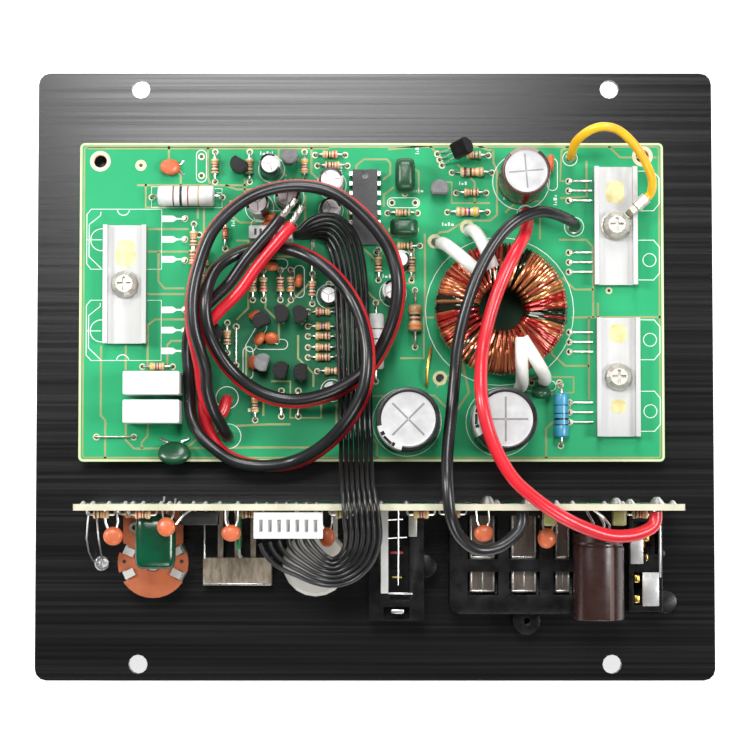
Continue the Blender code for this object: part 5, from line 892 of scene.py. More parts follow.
set_out("small_resistors", work,
        [standing(x, y, turn + random.choice((0, 180)), *random.choice(BAND_SETS)) for x, y, turn in RESISTORS],
        PARTS_FINISH, "resistor_white", zones)
# The larger ones: length, width and pitch, the coat, the form, and each one's place and bands
DIODE_GLASS = (0.5, 0.14, 0.05)
for label, sizes, coat, form, places in (
        ("middle_resistors", (6.2, 2.4, 10.0), (BEIGE, 0.0, 0.35), {},
         [standing(25.3, 52.5, 0, *BAND_SETS[0]), standing(24.1, 42.1, 180, *BAND_SETS[3])]),
        ("large_resistor", (7.0, 3.5, 14.4), ((0.58, 0.34, 0.17), 0.0, 0.35), {},
         [standing(10.4, 14.3, 90, ORANGE, BROWN, BLACK, GOLD)]),
        ("blue_resistor", (11.6, 4.0, 15.3), ((0.055, 0.32, 0.50), 0.0, 0.30),
         {"fine": True, "ends": 1.0, "waist": 0.95}, [standing(48.2, -10.9, 90, BLACK, BLACK, BLACK, BLACK)]),
        ("glass_diodes", (3.4, 1.7, 7.6), ((0.52, 0.16, 0.05), 0.0, 0.12), {"ends": 1.0},
         [standing(-39.0, 36.6, 90, BLACK, DIODE_GLASS, RED, BLACK),
          standing(-24.9, 38.4, 0, BLACK, DIODE_GLASS, RED, RED)])):
    work, zones = resistor(*sizes, coat, **form)
    set_out(label, work, places, PARTS_FINISH, "resistor_white", zones)


# White power resistors
# Two wire-wound resistors in a matt white ceramic coat, one across the top of the board and one
# beside the ribbon, with colour bands and stout leads.

CERAMIC_WHITE = ((0.66, 0.67, 0.66), 0.0, 0.55)
for label, x, y, turn, length, width, pitch, bands in (
        ("power_resistor_1", -49.0, 46.0, 0, 14.8, 5.35, 18.0, (BROWN, BLACK, (0.30, 0.05, 0.03), GOLD)),
        ("power_resistor_2", 0.2, 8.2, 90, 14.6, 4.3, 20.0, (BLACK, GOLD, BLACK, BROWN))):
    work, zones = resistor(length, width, pitch, CERAMIC_WHITE, ends=1.0, waist=0.965, sides=24, fine=True)
    piece = set_out(label + "_body", work, [standing(x, y, turn, *bands, z=BOARD_TOP + 0.1)],
                    coated(label + "_ceramic", shade=(0.86, 0.86, 0.84), grain=500, relief=1400, bump=0.2),
                    "resistor_white", zones)
    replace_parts(piece, label)


# Ceramic disc capacitors
# Thin discs dipped in orange resin, standing on two leads and leaning as they were pushed down;
# the largest few are dark green.

def disc(body):
    """Template of a dipped disc of radius 1, standing on edge along X, with its two leads."""
    work = Work()
    profile = [(0.0, 0.5), (0.55, 0.485), (0.80, 0.40), (0.94, 0.25), (1.0, 0.0),
               (0.94, -0.25), (0.80, -0.40), (0.55, -0.485), (0.0, -0.5)]
    round_body(work, profile, body, at(0, 0, 1.35, 0, 90), 22)
    for side in (-1, 1):
        stroke(work, [(side * 0.30, 0, 0.62), (side * 0.42, 0, 0.30), (side * 0.80, 0, 0.12),
                      (side * 0.82, 0, -0.05)], 0.12, BRIGHT_TIN, 6)
    return work


ORANGE_DIP, GREEN_DIP = ((0.60, 0.125, 0.036), 0.0, 0.46), ((0.007, 0.070, 0.027), 0.0, 0.30)
# Place, radius, turn and lean of each small disc; one more lies almost flat
DISCS = (
    (-30.9, 9.5, 1.9, 60, 25), (-26.9, 7.6, 1.9, 0, -35), (-33.0, 2.8, 1.9, 90, 40),
    (-26.9, 28.6, 1.9, 0, 20), (-19.7, 24.0, 1.8, 80, 0), (-27.5, 41.2, 1.8, 10, 15), (-28.1, 38.9, 1.8, 10, 10),
    (-31.5, 15.9, 1.7, 20, 20), (45.9, 54.4, 2.5, 88, -6))
set_out("orange_discs", disc(ORANGE_DIP),
        [((x, y, BOARD_TOP), (lean, 0, turn), (r, 1.9, r), ()) for x, y, r, turn, lean in DISCS]
        + [((-49.9, 53.8, BOARD_TOP), (-72, 0, 90), (2.15, 1.9, 2.7), ())],
        PARTS_FINISH, "package_black")
set_out("green_discs", disc(GREEN_DIP),
        [((-51.9, -16.8, BOARD_TOP), (62, 0, 0), (4.3, 3.0, 3.3), ()),
         ((42.8, -3.8, BOARD_TOP), (20, 0, 5), (2.6, 2.8, 2.6), ())], PARTS_FINISH, "film_green")


# Green film capacitors
# Rolled film dipped in glossy dark green resin, which leaves soft, swollen corners. Each stands just
# off the board on two tinned leads.

def pillow(work, x, y, z, finish, plan=0.42, crown=0.62, sides=44, rows=16):
    """A box with a swollen, rounded form between its limits, in millimetres: the smaller plan and
    crown are, the squarer it is seen from above and from the side."""
    def swell(share, power):
        return (abs(share) ** power) * (1 if share > 0 else -1)

    profile = [(swell(cos(-pi / 2 + pi * i / rows), crown), swell(sin(-pi / 2 + pi * i / rows), crown))
               for i in range(rows, -1, -1)]
    start = Work()
    round_body(start, [(max(r, 0.0) if 0 < i < rows else 0.0, h) for i, (r, h) in enumerate(profile)], finish,
               sides=sides)
    middle, half = [(a + b) / 2 for a, b in (x, y, z)], [(b - a) / 2 for a, b in (x, y, z)]
    verts = []
    for v in start.verts:
        reach = hypot(v[0], v[1])
        c, s = (v[0] / reach, v[1] / reach) if reach > 1e-9 else (0.0, 0.0)
        verts.append((middle[0] * MM + swell(c, plan) * reach * half[0],
                      middle[1] * MM + swell(s, plan) * reach * half[1], middle[2] * MM + v[2] * half[2]))
    return work.add(verts, start.faces, finish)


def dipped_box(width, depth, height):
    work, pitch = Work(), width - 1.0
    pillow(work, (-width / 2, width / 2), (-depth / 2, depth / 2), (0.6, height), GREEN_DIP)
    for side in (-1, 1):
        stroke(work, [(side * pitch / 2, 0, 1.6), (side * pitch / 2, 0, -0.2)], 0.32, BRIGHT_TIN)
        eye(work, side * pitch / 2, 0)
    return work


DIP_FINISH = coated("green_resin_dip", shade=(0.55, 0.62, 0.5), grain=160, spread=0.08, relief=420, bump=0.30,
                    Coat_Weight=0.12, Coat_Roughness=0.22)
for label, x, y, width, depth, height, turn in (
        ("upper", 7.8, 51.0, 9.0, 5.2, 8.6, 90), ("lower", 7.5, 37.5, 7.3, 4.8, 8.2, 0)):
    mesh = dipped_box(width, depth, height).mesh("film")
    mesh.transform(at(x, y, BOARD_TOP, turn))
    show("green_film_capacitor_" + label, mesh, DIP_FINISH, slot="film_green", sharp=80)


# Small electrolytic cans
# Aluminium cans in black sleeves that curl over the rim, with a scored top that lets gas out and a
# pale stripe down the side of the negative lead.

CAN_TOP = ((0.50, 0.50, 0.50), 0.4, 0.50)
CAN_SLEEVE = ((0.005, 0.0055, 0.0055), 0.0, 0.24)
PALE_STRIPE = ((0.52, 0.53, 0.50), 0.0, 0.4)
CROSS, THREE_RAYS = (0, 90, 180, 270), (25, 150, 270)


def can(r, height, sleeve=CAN_SLEEVE, top=CAN_TOP, stripe=PALE_STRIPE, scores=CROSS, rim=0.14, sides=40,
        groove=True, span=5, lead=0):
    """Template of a can on its foot, its stripe towards +X, in millimetres."""
    work = Work()
    profile = [(r * (1 - rim), height - 0.05), (r * (1 - rim * 0.55), height), (r * 0.985, height - 0.12),
               (r, height - 0.45)]
    if groove:
        profile += [(r, 3.6), (r * 0.95, 3.2), (r * 0.95, 2.8), (r, 2.3)]
    profile += [(r, 0.7), (r * 0.965, 0.35), (r * 0.90, 0.30)]
    start = r * (1 - rim)
    crown = [(0.0, height - 0.11), (start * 0.5, height - 0.13), (start * 0.93, height - 0.20),
             (start * 0.97, height - 0.16)]
    round_body(work, crown + profile + [(0.0, 0.30)],
               [top] * len(crown) + [sleeve] * (len(profile) - 1) + [((0.02, 0.02, 0.02), 0.0, 0.7)], sides=sides)
    for i in range(len(crown), len(crown) + len(profile) - 1):
        for k in range(-span, span):
            work.finishes[i * sides + k % sides] = stripe
    for turn in scores:
        block(work, (0.02 * r, r * 0.70), (-0.026 * r - 0.03, 0.026 * r + 0.03), (height - 0.16, height - 0.105),
              ((0.26, 0.26, 0.26), 1.0, 0.45), place=at(0, 0, 0, turn))
    for side in (-1, 1) if lead else ():
        stroke(work, [(side * lead / 2, 0, 0.5), (side * lead / 2, 0, -0.3)], 0.3, BRIGHT_TIN, 6)
    return work


CAN_FINISH = coated("can_sleeve_and_top", shade=(0.82, 0.82, 0.82), grain=260, spread=0.12, relief=900, bump=0.08)
SMALL_CANS = ((-27.0, 53.3, 2.75, 11, 20), (-11.3, 49.3, 3.2, 11, -20), (-30.1, 43.3, 3.0, 11, 250),
              (-22.4, 45.9, 3.2, 11, 240), (-11.5, 42.6, 2.7, 6, -30), (6.6, 29.2, 2.3, 7, 90),
              (4.7, 20.8, 2.8, 11, 180), (-12.0, 20.1, 2.5, 5, 0), (-11.2, -4.4, 2.1, 5, 120))
# The small cans' tops are a lighter grey than the bulk cans': painted light that offsets the shadow the wires cast on
# them
small_can = can(3.0, 10.0, top=((0.80, 0.80, 0.79), 0.3, 0.42), scores=THREE_RAYS, sides=28, rim=0.22, span=3,
                groove=False, lead=2.5)
set_out("small_cans", small_can,
        [((x, y, BOARD_TOP), (0, 0, turn), (r / 3, r / 3, h / 10), ()) for x, y, r, h, turn in SMALL_CANS],
        CAN_FINISH, "can_black")


# Bulk capacitors
# Two 25 mm cans by the choke that smooth the raised supply. Their black sleeves curl over the rim,
# and each top has a cross scored in it.

BULK_HEIGHT, CAN_FOOT = 25.0, 7.9
for label, x, y, turn in (("left", 8.3, -12.6, 225), ("right", 32.5, -12.6, 180)):
    work = can(8.0, BULK_HEIGHT, rim=0.155, sides=56)
    for spot, width in ((-16, 1.0), (14, 0.8)):
        block(work, (6.8, 7.8), (-width / 2, width / 2), (BULK_HEIGHT - 0.07, BULK_HEIGHT), CAN_SLEEVE,
              place=at(0, 0, 0, spot))
    block(work, (7.0, 7.7), (-1.3, 1.3), (BULK_HEIGHT - 0.06, BULK_HEIGHT), CAN_SLEEVE)
    mesh = work.mesh("bulk_can_" + label)
    mesh.transform(at(x, y, CAN_FOOT, turn))
    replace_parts(show("bulk_can_" + label, mesh, CAN_FINISH, slot="can_black"), "bulk_capacitor_" + label)
work = can(6.2, 20.5, ((0.060, 0.020, 0.015), 0.0, 0.22), CAN_TOP, ((0.30, 0.22, 0.18), 0.0, 0.4), sides=48)
mesh = work.mesh("input_can")
mesh.transform(at(38.1, 50.1, CAN_FOOT, 95))
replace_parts(show("input_can", mesh, CAN_FINISH, slot="can_brown"), "input_capacitor")


# Small transistors
# Moulded plastic packages with one flat face, standing on three tinned legs; some are grey with
# a dull top, and one leans away over its long legs.

PACKAGE_RADIUS, PACKAGE_HEIGHT, LEG_STEP, LEG_SPLAY = 2.3, 4.6, 1.27, 1.3


def small_transistor(finish, lift=2.2, feet=True):
    """Template of a package with a flat face, on three legs of the given length."""
    work = Work()
    outline = arc(0, 0, PACKAGE_RADIUS, -38, 219, 16)
    shape = bmesh.new()
    bottom = [shape.verts.new((px * MM, py * MM, lift * MM)) for px, py in outline]
    foot = shape.faces.new(bottom)
    raised = bmesh.ops.extrude_face_region(shape, geom=[foot])
    for v in raised["geom"]:
        if isinstance(v, bmesh.types.BMVert):
            v.co.z += PACKAGE_HEIGHT * MM
    bmesh.ops.bevel(shape, geom=[e for e in shape.edges if min(v.co.z for v in e.verts) > (lift + 4) * MM],
                    offset=0.28 * MM, segments=2, affect="EDGES")
    bmesh.ops.recalc_face_normals(shape, faces=shape.faces)
    work.add_shape(shape, finish)
    for x in (-LEG_STEP, 0, LEG_STEP):
        foot_x = x * LEG_SPLAY
        stroke(work, [(x, 0.2, lift + 0.3), (x, 0.2, lift * 0.5), (foot_x, 0.2, lift * 0.2), (foot_x, 0.2, -0.3)],
               0.24, BRIGHT_TIN, 6)
        if feet:
            eye(work, foot_x, 0.2, 0.6, 0.34)
    return work


MOULDED_BLACK, MOULDED_GREY = ((0.0055, 0.0055, 0.0055), 0.0, 0.38), ((0.135, 0.135, 0.135), 0.0, 0.40)
BLACK_BODIES = ((-35.2, 54.0, 150), (-29.3, 13.3, 25), (-24.4, 15.2, -80), (-19.6, 15.0, -80), (-24.1, 0.6, 75),
                (-18.9, 0.1, 90), (-41.6, 10.4, -60))
GREY_BODIES = ((-22.1, 56.3, 180), (16.7, 47.6, 0), (-28.9, 2.6, 75))
PACKAGE_FINISH = coated("moulded_package", shade=(1.35, 1.35, 1.35), grain=600, spread=0.12, relief=1800, bump=0.25,
                        Specular_IOR_Level=0.22)
for label, finish, bodies in (("black", MOULDED_BLACK, BLACK_BODIES), ("grey", MOULDED_GREY, GREY_BODIES)):
    set_out("small_transistors_" + label, small_transistor(finish), [standing(*body) for body in bodies],
            PACKAGE_FINISH, "package_" + label)
set_out("leaning_transistor", small_transistor(MOULDED_BLACK, 6.0, feet=False),
        [((16.9, 55.9, BOARD_TOP), (-45, 0, -68), (1, 1, 1), ())], PACKAGE_FINISH, "package_black")


# Wire links, transistor eyes and header
# Bare tinned wires bridge tracks that must cross. The power transistors' leads rise through rows
# of soldered eyes, and the ribbon leaves a white header.

links = []
for x, y, length, turn in (
        (-67.4, -16.5, 10.5, 0), (-36.1, 7.2, 9.8, 90), (-24.3, -7.8, 6.4, 90), (-19.9, -7.8, 6.4, 90),
        (-16.5, 30.4, 8.0, 90), (19.8, -5.0, 7.0, 100)):
    c, s, half = cos(radians(turn)), sin(radians(turn)), length / 2
    links.append([Vector((x + c * t, y + s * t, z)) * MM for t, z in
                  ((-half, 7.5), (-half, 8.0), (-half + 0.3, 8.3), (half - 0.3, 8.3), (half, 8.0), (half, 7.5))])
LEG_ROWS, LEGS = (47.7, 29.0, 8.2, -10.1), (-2.54, 0, 2.54)
for y in LEG_ROWS:
    for shift in LEGS:
        leg = ((56.6, y + shift, 7.85), (51.4, y + shift, 7.85), (50.9, y + shift, 8.2))
        links.append([Vector(p) * MM for p in leg])
show("wire_links", wire_mesh(links, 0.00030, TINNED_STRANDS, 8), TINNED_STRANDS, slot="tinned_metal")
enamel = coated("gold_enamel_wire", (0.70, 0.43, 0.09), 0.25, 0.6, shade=(0.7, 0.6, 0.5), grain=400)
link_route = ((14.6, 6.9, 7.6), (14.3, 5.6, 9.0), (13.5, 1.0, 9.4), (13.4, -2.4, 8.9), (13.5, -3.4, 7.6))
show("enamelled_link", wire_mesh([along(metres(link_route), 0.0006)], 0.00042, enamel, 8), enamel,
     slot="copper_winding")
eyes = Work()
eye(eyes, 0, 0, 0.90, 0.52)
spots = [(-49.55, y + s) for y in LEFT_ROWS for s in (-5.45, 0, 5.45)]
spots += [(50.5, y + s) for y in LEG_ROWS for s in LEGS]
spots += [(16.3, 57.4), (16.9, 55.9), (17.5, 54.4)]
spots += [(-62.6, -16.5), (-72.3, -16.5), (-36.1, 12.2), (-36.1, 2.2), (-24.3, -4.5), (-24.3, -11.1), (-19.9, -4.5),
          (-19.9, -11.1), (-45.3, 56.7), (-45.3, 51.7), (4.4, 44.6), (10.5, 44.6), (47.9, -2.4), (40.7, -2.4),
          (-12.0, 23.3), (0.4, 31.6), (-45.8, 36.2), (-55.6, -10.0)]
set_out("board_eyes", eyes, [standing(*spot) for spot in spots], PARTS_FINISH, "tinned_metal")
pads = Work()
round_body(pads, [(0.0, 1.05), (0.35, 0.95), (0.9, 0.45), (1.45, 0.10), (1.55, 0.02), (0.0, 0.0)], SOLDER, sides=20)
LEAD_PADS = ((-38.4, -6.9, 1.0), (-38.0, -16.3, 1.0), (51.9, 38.3, 1.15), (39.3, 41.6, 1.15), (51.1, 56.6, 0.9),
             (15.9, 34.3, 0.8), (24.2, 37.9, 0.8))
set_out("lead_solder", pads, [((x, y, BOARD_TOP), (0, 0, 0), (s, s, 1), ()) for x, y, s in LEAD_PADS],
        PARTS_FINISH, "tinned_metal")
# Bare rings round the open holes and round a few small plated ones, whose holes are dark discs of painted shade:
# place, radius and hole
RING_COPPER, RING_TAN = ((0.74, 0.62, 0.44), 0.0, 0.45), ((0.60, 0.60, 0.34), 0.0, 0.5)
rings = Work()
for x, y, r, hole in (
        (-71.7, 55.5, 2.7, 1.72), (69.8, 56.8, 2.7, 1.72), (-61.1, 54.4, 1.45, 0.5), (16.9, -1.2, 1.9, 1.1),
        (15.6, 34.5, 1.9, 0.9), (24.0, 38.2, 1.9, 0.9), (60.9, 21.6, 0.9, 0.4)):
    low, high, bare = BOARD_TOP - 0.01, BOARD_TOP + 0.02, RING_COPPER if hole > 1.5 else RING_TAN
    profile = [(hole, low), (hole, high), (r, high), (r, low), (hole, low)]
    if hole <= 1.5:
        profile = [(0.0, BOARD_TOP + 0.008), (hole, BOARD_TOP + 0.008)] + profile[1:4] + [(0.0, low)]
    round_body(rings, profile, [HOLE_PAINTED_SHADE] * (hole <= 1.5) + [bare] * 4, at(x, y), 28)
built("hole_rings", rings, PARTS_FINISH, slot="board_green")
header = Work()
block(header, (-32.4, -21.3), (34.2, 37.7), (7.65, 16.8), ((0.80, 0.81, 0.78), 0.0, 0.35), 0.35)
# The seven dark patches on the header's top are painted shade in its contact openings
for i in range(RIBBON_WAYS):
    block(header, (-31.0 + i * 1.36, -30.4 + i * 1.36), (35.2, 36.8), (16.7, 16.85), ((0.05, 0.05, 0.05), 0.0, 0.6),
          0.0)
built("ribbon_header", header, PARTS_FINISH, slot="white_plastic")


# Power transistors, insulating pads, chip and clamp bars
# Six plastic power packages lie under the board on grey silicone pads, pressed to the panel by
# three extruded aluminium bars, each with one pan-head screw. The chip drives the gates.

def two_tone(name, first, second, limits, **grades):
    """A finish with a second one inside limits given along x, y or z in millimetres."""
    made = coated(name, **grades)
    tree = made.node_tree
    vary = next(n for n in tree.nodes if n.type == "GROUP")
    for spare in [n for n in tree.nodes if n.type == "ATTRIBUTE"]:
        tree.nodes.remove(spare)
    place, split = node_in(tree, "ShaderNodeTexCoord"), node_in(tree, "ShaderNodeSeparateXYZ")
    join(tree, (place, "Object", split, 0))
    mask = None
    for axis, low, high in limits:
        for operation, edge in (("GREATER_THAN", low), ("LESS_THAN", high)):
            test = node_in(tree, "ShaderNodeMath", {1: edge * MM}, operation=operation)
            join(tree, (split, axis, test, 0))
            if mask:
                both = node_in(tree, "ShaderNodeMath", operation="MULTIPLY")
                join(tree, (mask, 0, both, 0), (test, 0, both, 1))
            mask = both if mask else test
    colour = node_in(tree, "ShaderNodeMix", {6: (*first[0], 1), 7: (*second[0], 1)}, data_type="RGBA")
    join(tree, (mask, 0, colour, 0), (colour, 2, vary, "Colour"))
    for grade, target, entering in ((1, tree.nodes["Principled BSDF"], "Metallic"), (2, vary, "Roughness")):
        swing = node_in(tree, "ShaderNodeMapRange", {"To Min": first[grade], "To Max": second[grade]})
        join(tree, (mask, 0, swing, "Value"), (swing, 0, target, entering))
    return made


package = two_tone("power_package", ((0.014, 0.014, 0.015), 0.0, 0.45), ((0.70, 0.69, 0.66), 1.0, 0.28),
                   (("X", -55.9, 56.4),), shade=(1.3, 1.3, 1.3), grain=400, relief=1500, bump=0.2)
for number in (1, 2):
    dress("output_transistor_%d" % number, package)
for number in (1, 2, 3, 4):
    dress("switching_transistor_%d" % number, package)
silicone = coated("grey_silicone_pad", (0.20, 0.21, 0.22), 0.75, shade=(0.8, 0.8, 0.8), grain=300, relief=1500,
                  bump=0.3)
for side in ("left", "upper", "lower"):
    dress("insulating_pad_" + side, silicone)
dress("driver_chip", two_tone("chip_package", ((0.70, 0.69, 0.66), 1.0, 0.25), ((0.030, 0.030, 0.032), 0.0, 0.42),
          (("X", -5.85, 0.65), ("Z", 7.0, 12.0)), shade=(1.25, 1.25, 1.25), grain=500, relief=1800, bump=0.25))
chip_marks = Work()
round_body(chip_marks, [(0.0, 11.715), (0.75, 11.72), (0.9, 11.73), (0.9, 11.68), (0.0, 11.68)],
           ((0.022, 0.022, 0.024), 0.0, 0.3), at(-2.6, 51.3), 24)
for i in range(8):
    for side in (-1, 1):
        block(chip_marks, (side * 3.6 - 0.55, side * 3.6 + 0.55), (-0.62, 0.62), (2.05, 2.28), BRIGHT_TIN, 0.08,
              at(-2.6, 43.0 + (i - 3.5) * 2.54, 7.6))
built("chip_legs", chip_marks, PARTS_FINISH, slot="tinned_metal")

aluminium = coated("extruded_aluminium", (0.56, 0.56, 0.56), 0.42, 0.35, shade=(0.84, 0.84, 0.82), grain=60,
                   spread=0.16, relief=700, bump=0.25, stretch=(3.0, 0.25, 1.0))
steel = coated("zinc_plated_steel", (0.70, 0.69, 0.62), 0.38, 0.8, shade=(0.78, 0.76, 0.72), grain=180, spread=0.14,
               relief=900, bump=0.12)
for side in ("left", "upper", "lower"):
    dress("clamp_bar_" + side, aluminium)
    dress("clamp_screw_" + side, steel)
dress("ring_lug", coated("tinned_lug", (0.74, 0.72, 0.64), 0.30, 0.9, shade=(0.8, 0.78, 0.7), grain=220,
          relief=1100, bump=0.2))
flux = Work()
for x, y, width, height in (
        (-64.9, 31.2, 5.0, 6.6), (62.4, 47.2, 4.6, 5.6), (63.0, 10.3, 4.4, 4.6), (63.0, -8.6, 3.8, 3.4)):
    ring = [(px + 0.25 * sin(3.1 * i), py + 0.22 * cos(2.3 * i))
            for i, (px, py) in enumerate(rounded(x, y, width, height, 1.3, 5))]
    plate(flux, [ring], (9.30, 9.34), ((0.72, 0.67, 0.36), 0.2, 0.34))
built("clamp_flux", flux, coated("dried_flux", shade=(0.72, 0.66, 0.5), grain=350, relief=900, bump=0.3,
                                 Coat_Weight=0.5, Coat_Roughness=0.15), slot="bare_aluminium")


# White film capacitors
# Two moulded boxes of glossy white plastic, filled with resin from below, which filter the output.
# They stand side by side on four small feet each.

box_white = coated("moulded_white_box", shade=(0.90, 0.90, 0.88), grain=120, spread=0.08, relief=600, bump=0.10,
                   Coat_Weight=0.3, Coat_Roughness=0.12)
BOX_WHITE = ((0.76, 0.77, 0.76), 0.0, 0.28)
for number, y in ((1, -2.9), (2, -10.2)):
    work = Work()
    block(work, (-64.35, -49.85), (y - 3.02, y + 3.02), (8.3, 19.05), BOX_WHITE, 0.45, steps=3)
    for x, lead_x in ((-63.6, -62.7), (-50.6, -51.5)):
        for shift in (-2.3, 2.3):
            block(work, (x - 0.5, x + 0.5), (y + shift - 0.5, y + shift + 0.5), (7.92, 8.5), BOX_WHITE, 0.1)
        stroke(work, [(lead_x, y, 8.6), (lead_x, y, 7.3)], 0.35, BRIGHT_TIN)
    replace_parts(show("film_box_%d" % number, work.mesh("film_box"), box_white, slot="white_plastic"),
                "film_capacitor_%d" % number)


# Choke
# A ring core wound with several strands of stout enamelled copper wire in three layers, copper, red
# and green side by side, so that the turns fan out over its rim. Its ends leave in white sleeves.

CHOKE_AT, CHOKE_INNER, CHOKE_OUTER, CHOKE_FOOT, CHOKE_TOP = (32.4, 16.2), 8.1, 16.70, 9.75, 19.9
# The wires' enamels: copper, red, dark green and rose
ENAMELS = {"c": (0.66, 0.26, 0.10), "r": (0.50, 0.024, 0.018), "d": (0.020, 0.034, 0.014), "p": (0.54, 0.13, 0.060)}
# Each stretch of the winding ends at an angle, and takes its wires' enamels in turn
STRETCHES = ((6, "dddp"), (24, "rrrc"), (58, "cccp"), (76, "ddc"), (104, "rdp"), (128, "rrp"), (150, "cr"),
             (170, "ccp"), (188, "dddc"), (202, "rrrp"), (226, "cpr"), (244, "cdp"), (288, "ccp"), (306, "rc"),
             (328, "rrcp"), (346, "ccr"), (361, "ddrd"))


def turn_of_wire(layer, wire=0.435, sides=8):
    """Template of one turn, standing over the core along X from the choke's middle."""
    inner, rise = CHOKE_INNER - 1.04 * layer, 0.80 * layer
    corners = ((inner, CHOKE_TOP - 0.5 + rise), (CHOKE_OUTER, CHOKE_TOP - 0.9), (CHOKE_OUTER, CHOKE_FOOT),
               (inner, CHOKE_FOOT - rise))
    line, round_off = [], 1.9
    for i, (x, z) in enumerate(corners):
        corner = Vector((x, 0, z))
        before, after = (Vector((corners[(i + s) % 4][0], 0, corners[(i + s) % 4][1])) for s in (-1, 1))
        enter = corner + (before - corner).normalized() * round_off
        leave = corner + (after - corner).normalized() * round_off
        for step in range(6):
            t = step / 5
            line.append(enter * (1 - t) ** 2 + corner * 2 * t * (1 - t) + leave * t ** 2)
        if i == 0:
            line += [leave.lerp(Vector((CHOKE_OUTER - round_off, 0, CHOKE_TOP - 0.9)), s / 6)
                     + Vector((0, 0, 0.85 * sin(pi * s / 6))) for s in range(1, 6)]
    work, verts, faces = Work(), [], []
    for i, point in enumerate(line):
        way = (line[(i + 1) % len(line)] - line[i - 1]).normalized()
        across = way.cross(Vector((0, 1, 0)))
        for k in range(sides):
            a = 2 * pi * k / sides
            verts.append((point + (across * cos(a) + Vector((0, 1, 0)) * sin(a)) * wire) * MM)
    for i in range(len(line)):
        j = (i + 1) % len(line)
        for k in range(sides):
            n = (k + 1) % sides
            faces.append((i * sides + k, j * sides + k, j * sides + n, i * sides + n))
    work.add(verts, faces, ((0.5, 0.5, 0.5), 0.65, 0.22))
    return work, [(i, 1) for i in range(len(faces))]


CHOKE_TURNS, LAYERS = 120, 3
enamel_finish = coated("enamelled_copper", shade=(0.66, 0.58, 0.54), grain=260, spread=0.06, relief=700, bump=0.04,
                       Coat_Weight=0.9, Coat_Roughness=0.06)
random.seed(23)
turns_of_layer = [[] for _ in range(LAYERS)]
for number in range(CHOKE_TURNS):
    angle = number * 360 / CHOKE_TURNS
    enamels = next(e for end, e in STRETCHES if angle < end)
    colour = tuple(c * random.uniform(0.86, 1.12) for c in ENAMELS[enamels[number % len(enamels)]])
    wander = random.uniform(-0.4, 0.4)
    turns_of_layer[number % LAYERS].append((
        (CHOKE_AT[0], CHOKE_AT[1], 0),
        (3.4 * sin(radians(2 * angle + 60)) + random.uniform(-0.3, 0.3), random.uniform(-0.3, 0.3), angle + wander),
        (random.uniform(0.985, 1.008), 1, random.uniform(0.992, 1.0)), (colour,)))
for layer, turns in enumerate(turns_of_layer):
    work, zones = turn_of_wire(layer)
    set_out("choke_turns_%d" % (layer + 1), work, turns, enamel_finish, "copper_winding", zones)
core = Work()
ring = [(8.9, 11.0), (8.9, 18.4), (9.6, 18.9), (13.2, 18.6), (14.6, 17.8), (15.3, 16.4), (15.3, 11.2), (14.6, 10.6),
        (9.4, 10.6), (8.9, 11.0)]
round_body(core, ring, ((0.012, 0.014, 0.012), 0.0, 0.6), at(*CHOKE_AT), 48)
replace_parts(built("choke_core", core, coated("painted_iron_core", shade=(0.7, 0.7, 0.7), grain=400, bump=0.2),
                 slot="copper_winding"), "toroid_choke")
sleeve_white = coated("white_glass_sleeve", (0.80, 0.79, 0.76), 0.38, shade=(0.86, 0.85, 0.80), grain=240,
                      spread=0.12, relief=1600, bump=0.22, Coat_Weight=0.15, Coat_Roughness=0.2)
SLEEVES = (
    ("1", (((17.2, 33.8, 8.1), (17.5, 33.4, 13.0), (18.6, 32.1, 18.5), (20.6, 30.0, 22.6), (23.2, 27.6, 24.2),
            (25.4, 25.6, 24.3)),)),
    ("2", (((24.7, 37.0, 8.1), (25.0, 36.8, 13.0), (25.9, 35.4, 18.8), (27.2, 32.6, 23.0), (28.6, 29.2, 24.3),
            (29.9, 26.0, 24.3)),)),
    ("forked", (((37.6, -3.5, 8.1), (37.6, -3.5, 13.0), (37.5, -3.0, 18.2), (37.3, -1.4, 22.0), (37.1, 1.4, 24.0),
                 (37.0, 4.6, 24.5), (37.0, 8.2, 24.4)),
                ((43.9, -1.8, 8.1), (43.8, -1.7, 13.0), (43.2, -0.9, 18.2), (42.0, 0.7, 22.2), (40.4, 3.0, 24.1),
                 (38.6, 5.8, 24.5), (37.2, 8.0, 24.4)))))
for label, routes in SLEEVES:
    lines = [along(metres(route), 0.0008) for route in routes]
    swell = [[1.0 + 0.07 * sin(i * 0.9) * sin(i * 0.37) + (0.10 if i < 3 else 0.0) for i in range(len(line))]
             for line in lines]
    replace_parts(show("choke_sleeve_tube_" + label, wire_mesh(lines, 0.00166, sleeve_white, 18, swell), sleeve_white,
                     slot="white_plastic"), "choke_sleeve_" + label)


# Control circuit board
# A cream paper-phenolic sheet standing on edge. Its soldered side faces the main board; the parts
# hang from its other side over the panel's controls and sockets.

CONTROL_FRONT, CONTROL_BACK, CONTROL_LEFT, CONTROL_RIGHT = -35.3, -33.7, -75.0, 77.0
CREAM, CONTROL_GREEN = ((0.56, 0.53, 0.42), 0.0, 0.55), ((0.010, 0.100, 0.038), 0.0, 0.35)
work = Work()
plate(work, [rounded(1.0, 17.1, CONTROL_RIGHT - CONTROL_LEFT, 31.8, 0.8)], (CONTROL_FRONT - CONTROL_BACK, 0), CREAM,
      CREAM, CONTROL_GREEN, at(0, CONTROL_FRONT, 0, 0, 90))
control_finish = coated("phenolic_board", shade=(0.80, 0.80, 0.70), grain=120, spread=0.12, relief=800, bump=0.15)
control = built("control_board_sheet", work, control_finish, slot="board_cream")
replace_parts(control, "control_circuit_board")
joint = Work()
round_body(joint, [(0.0, 1.35), (0.42, 1.25), (0.75, 0.80), (1.05, 0.30), (1.25, 0.0), (0.0, 0.0)], SOLDER,
           at(0, 0, 0, 0, -90), 14)
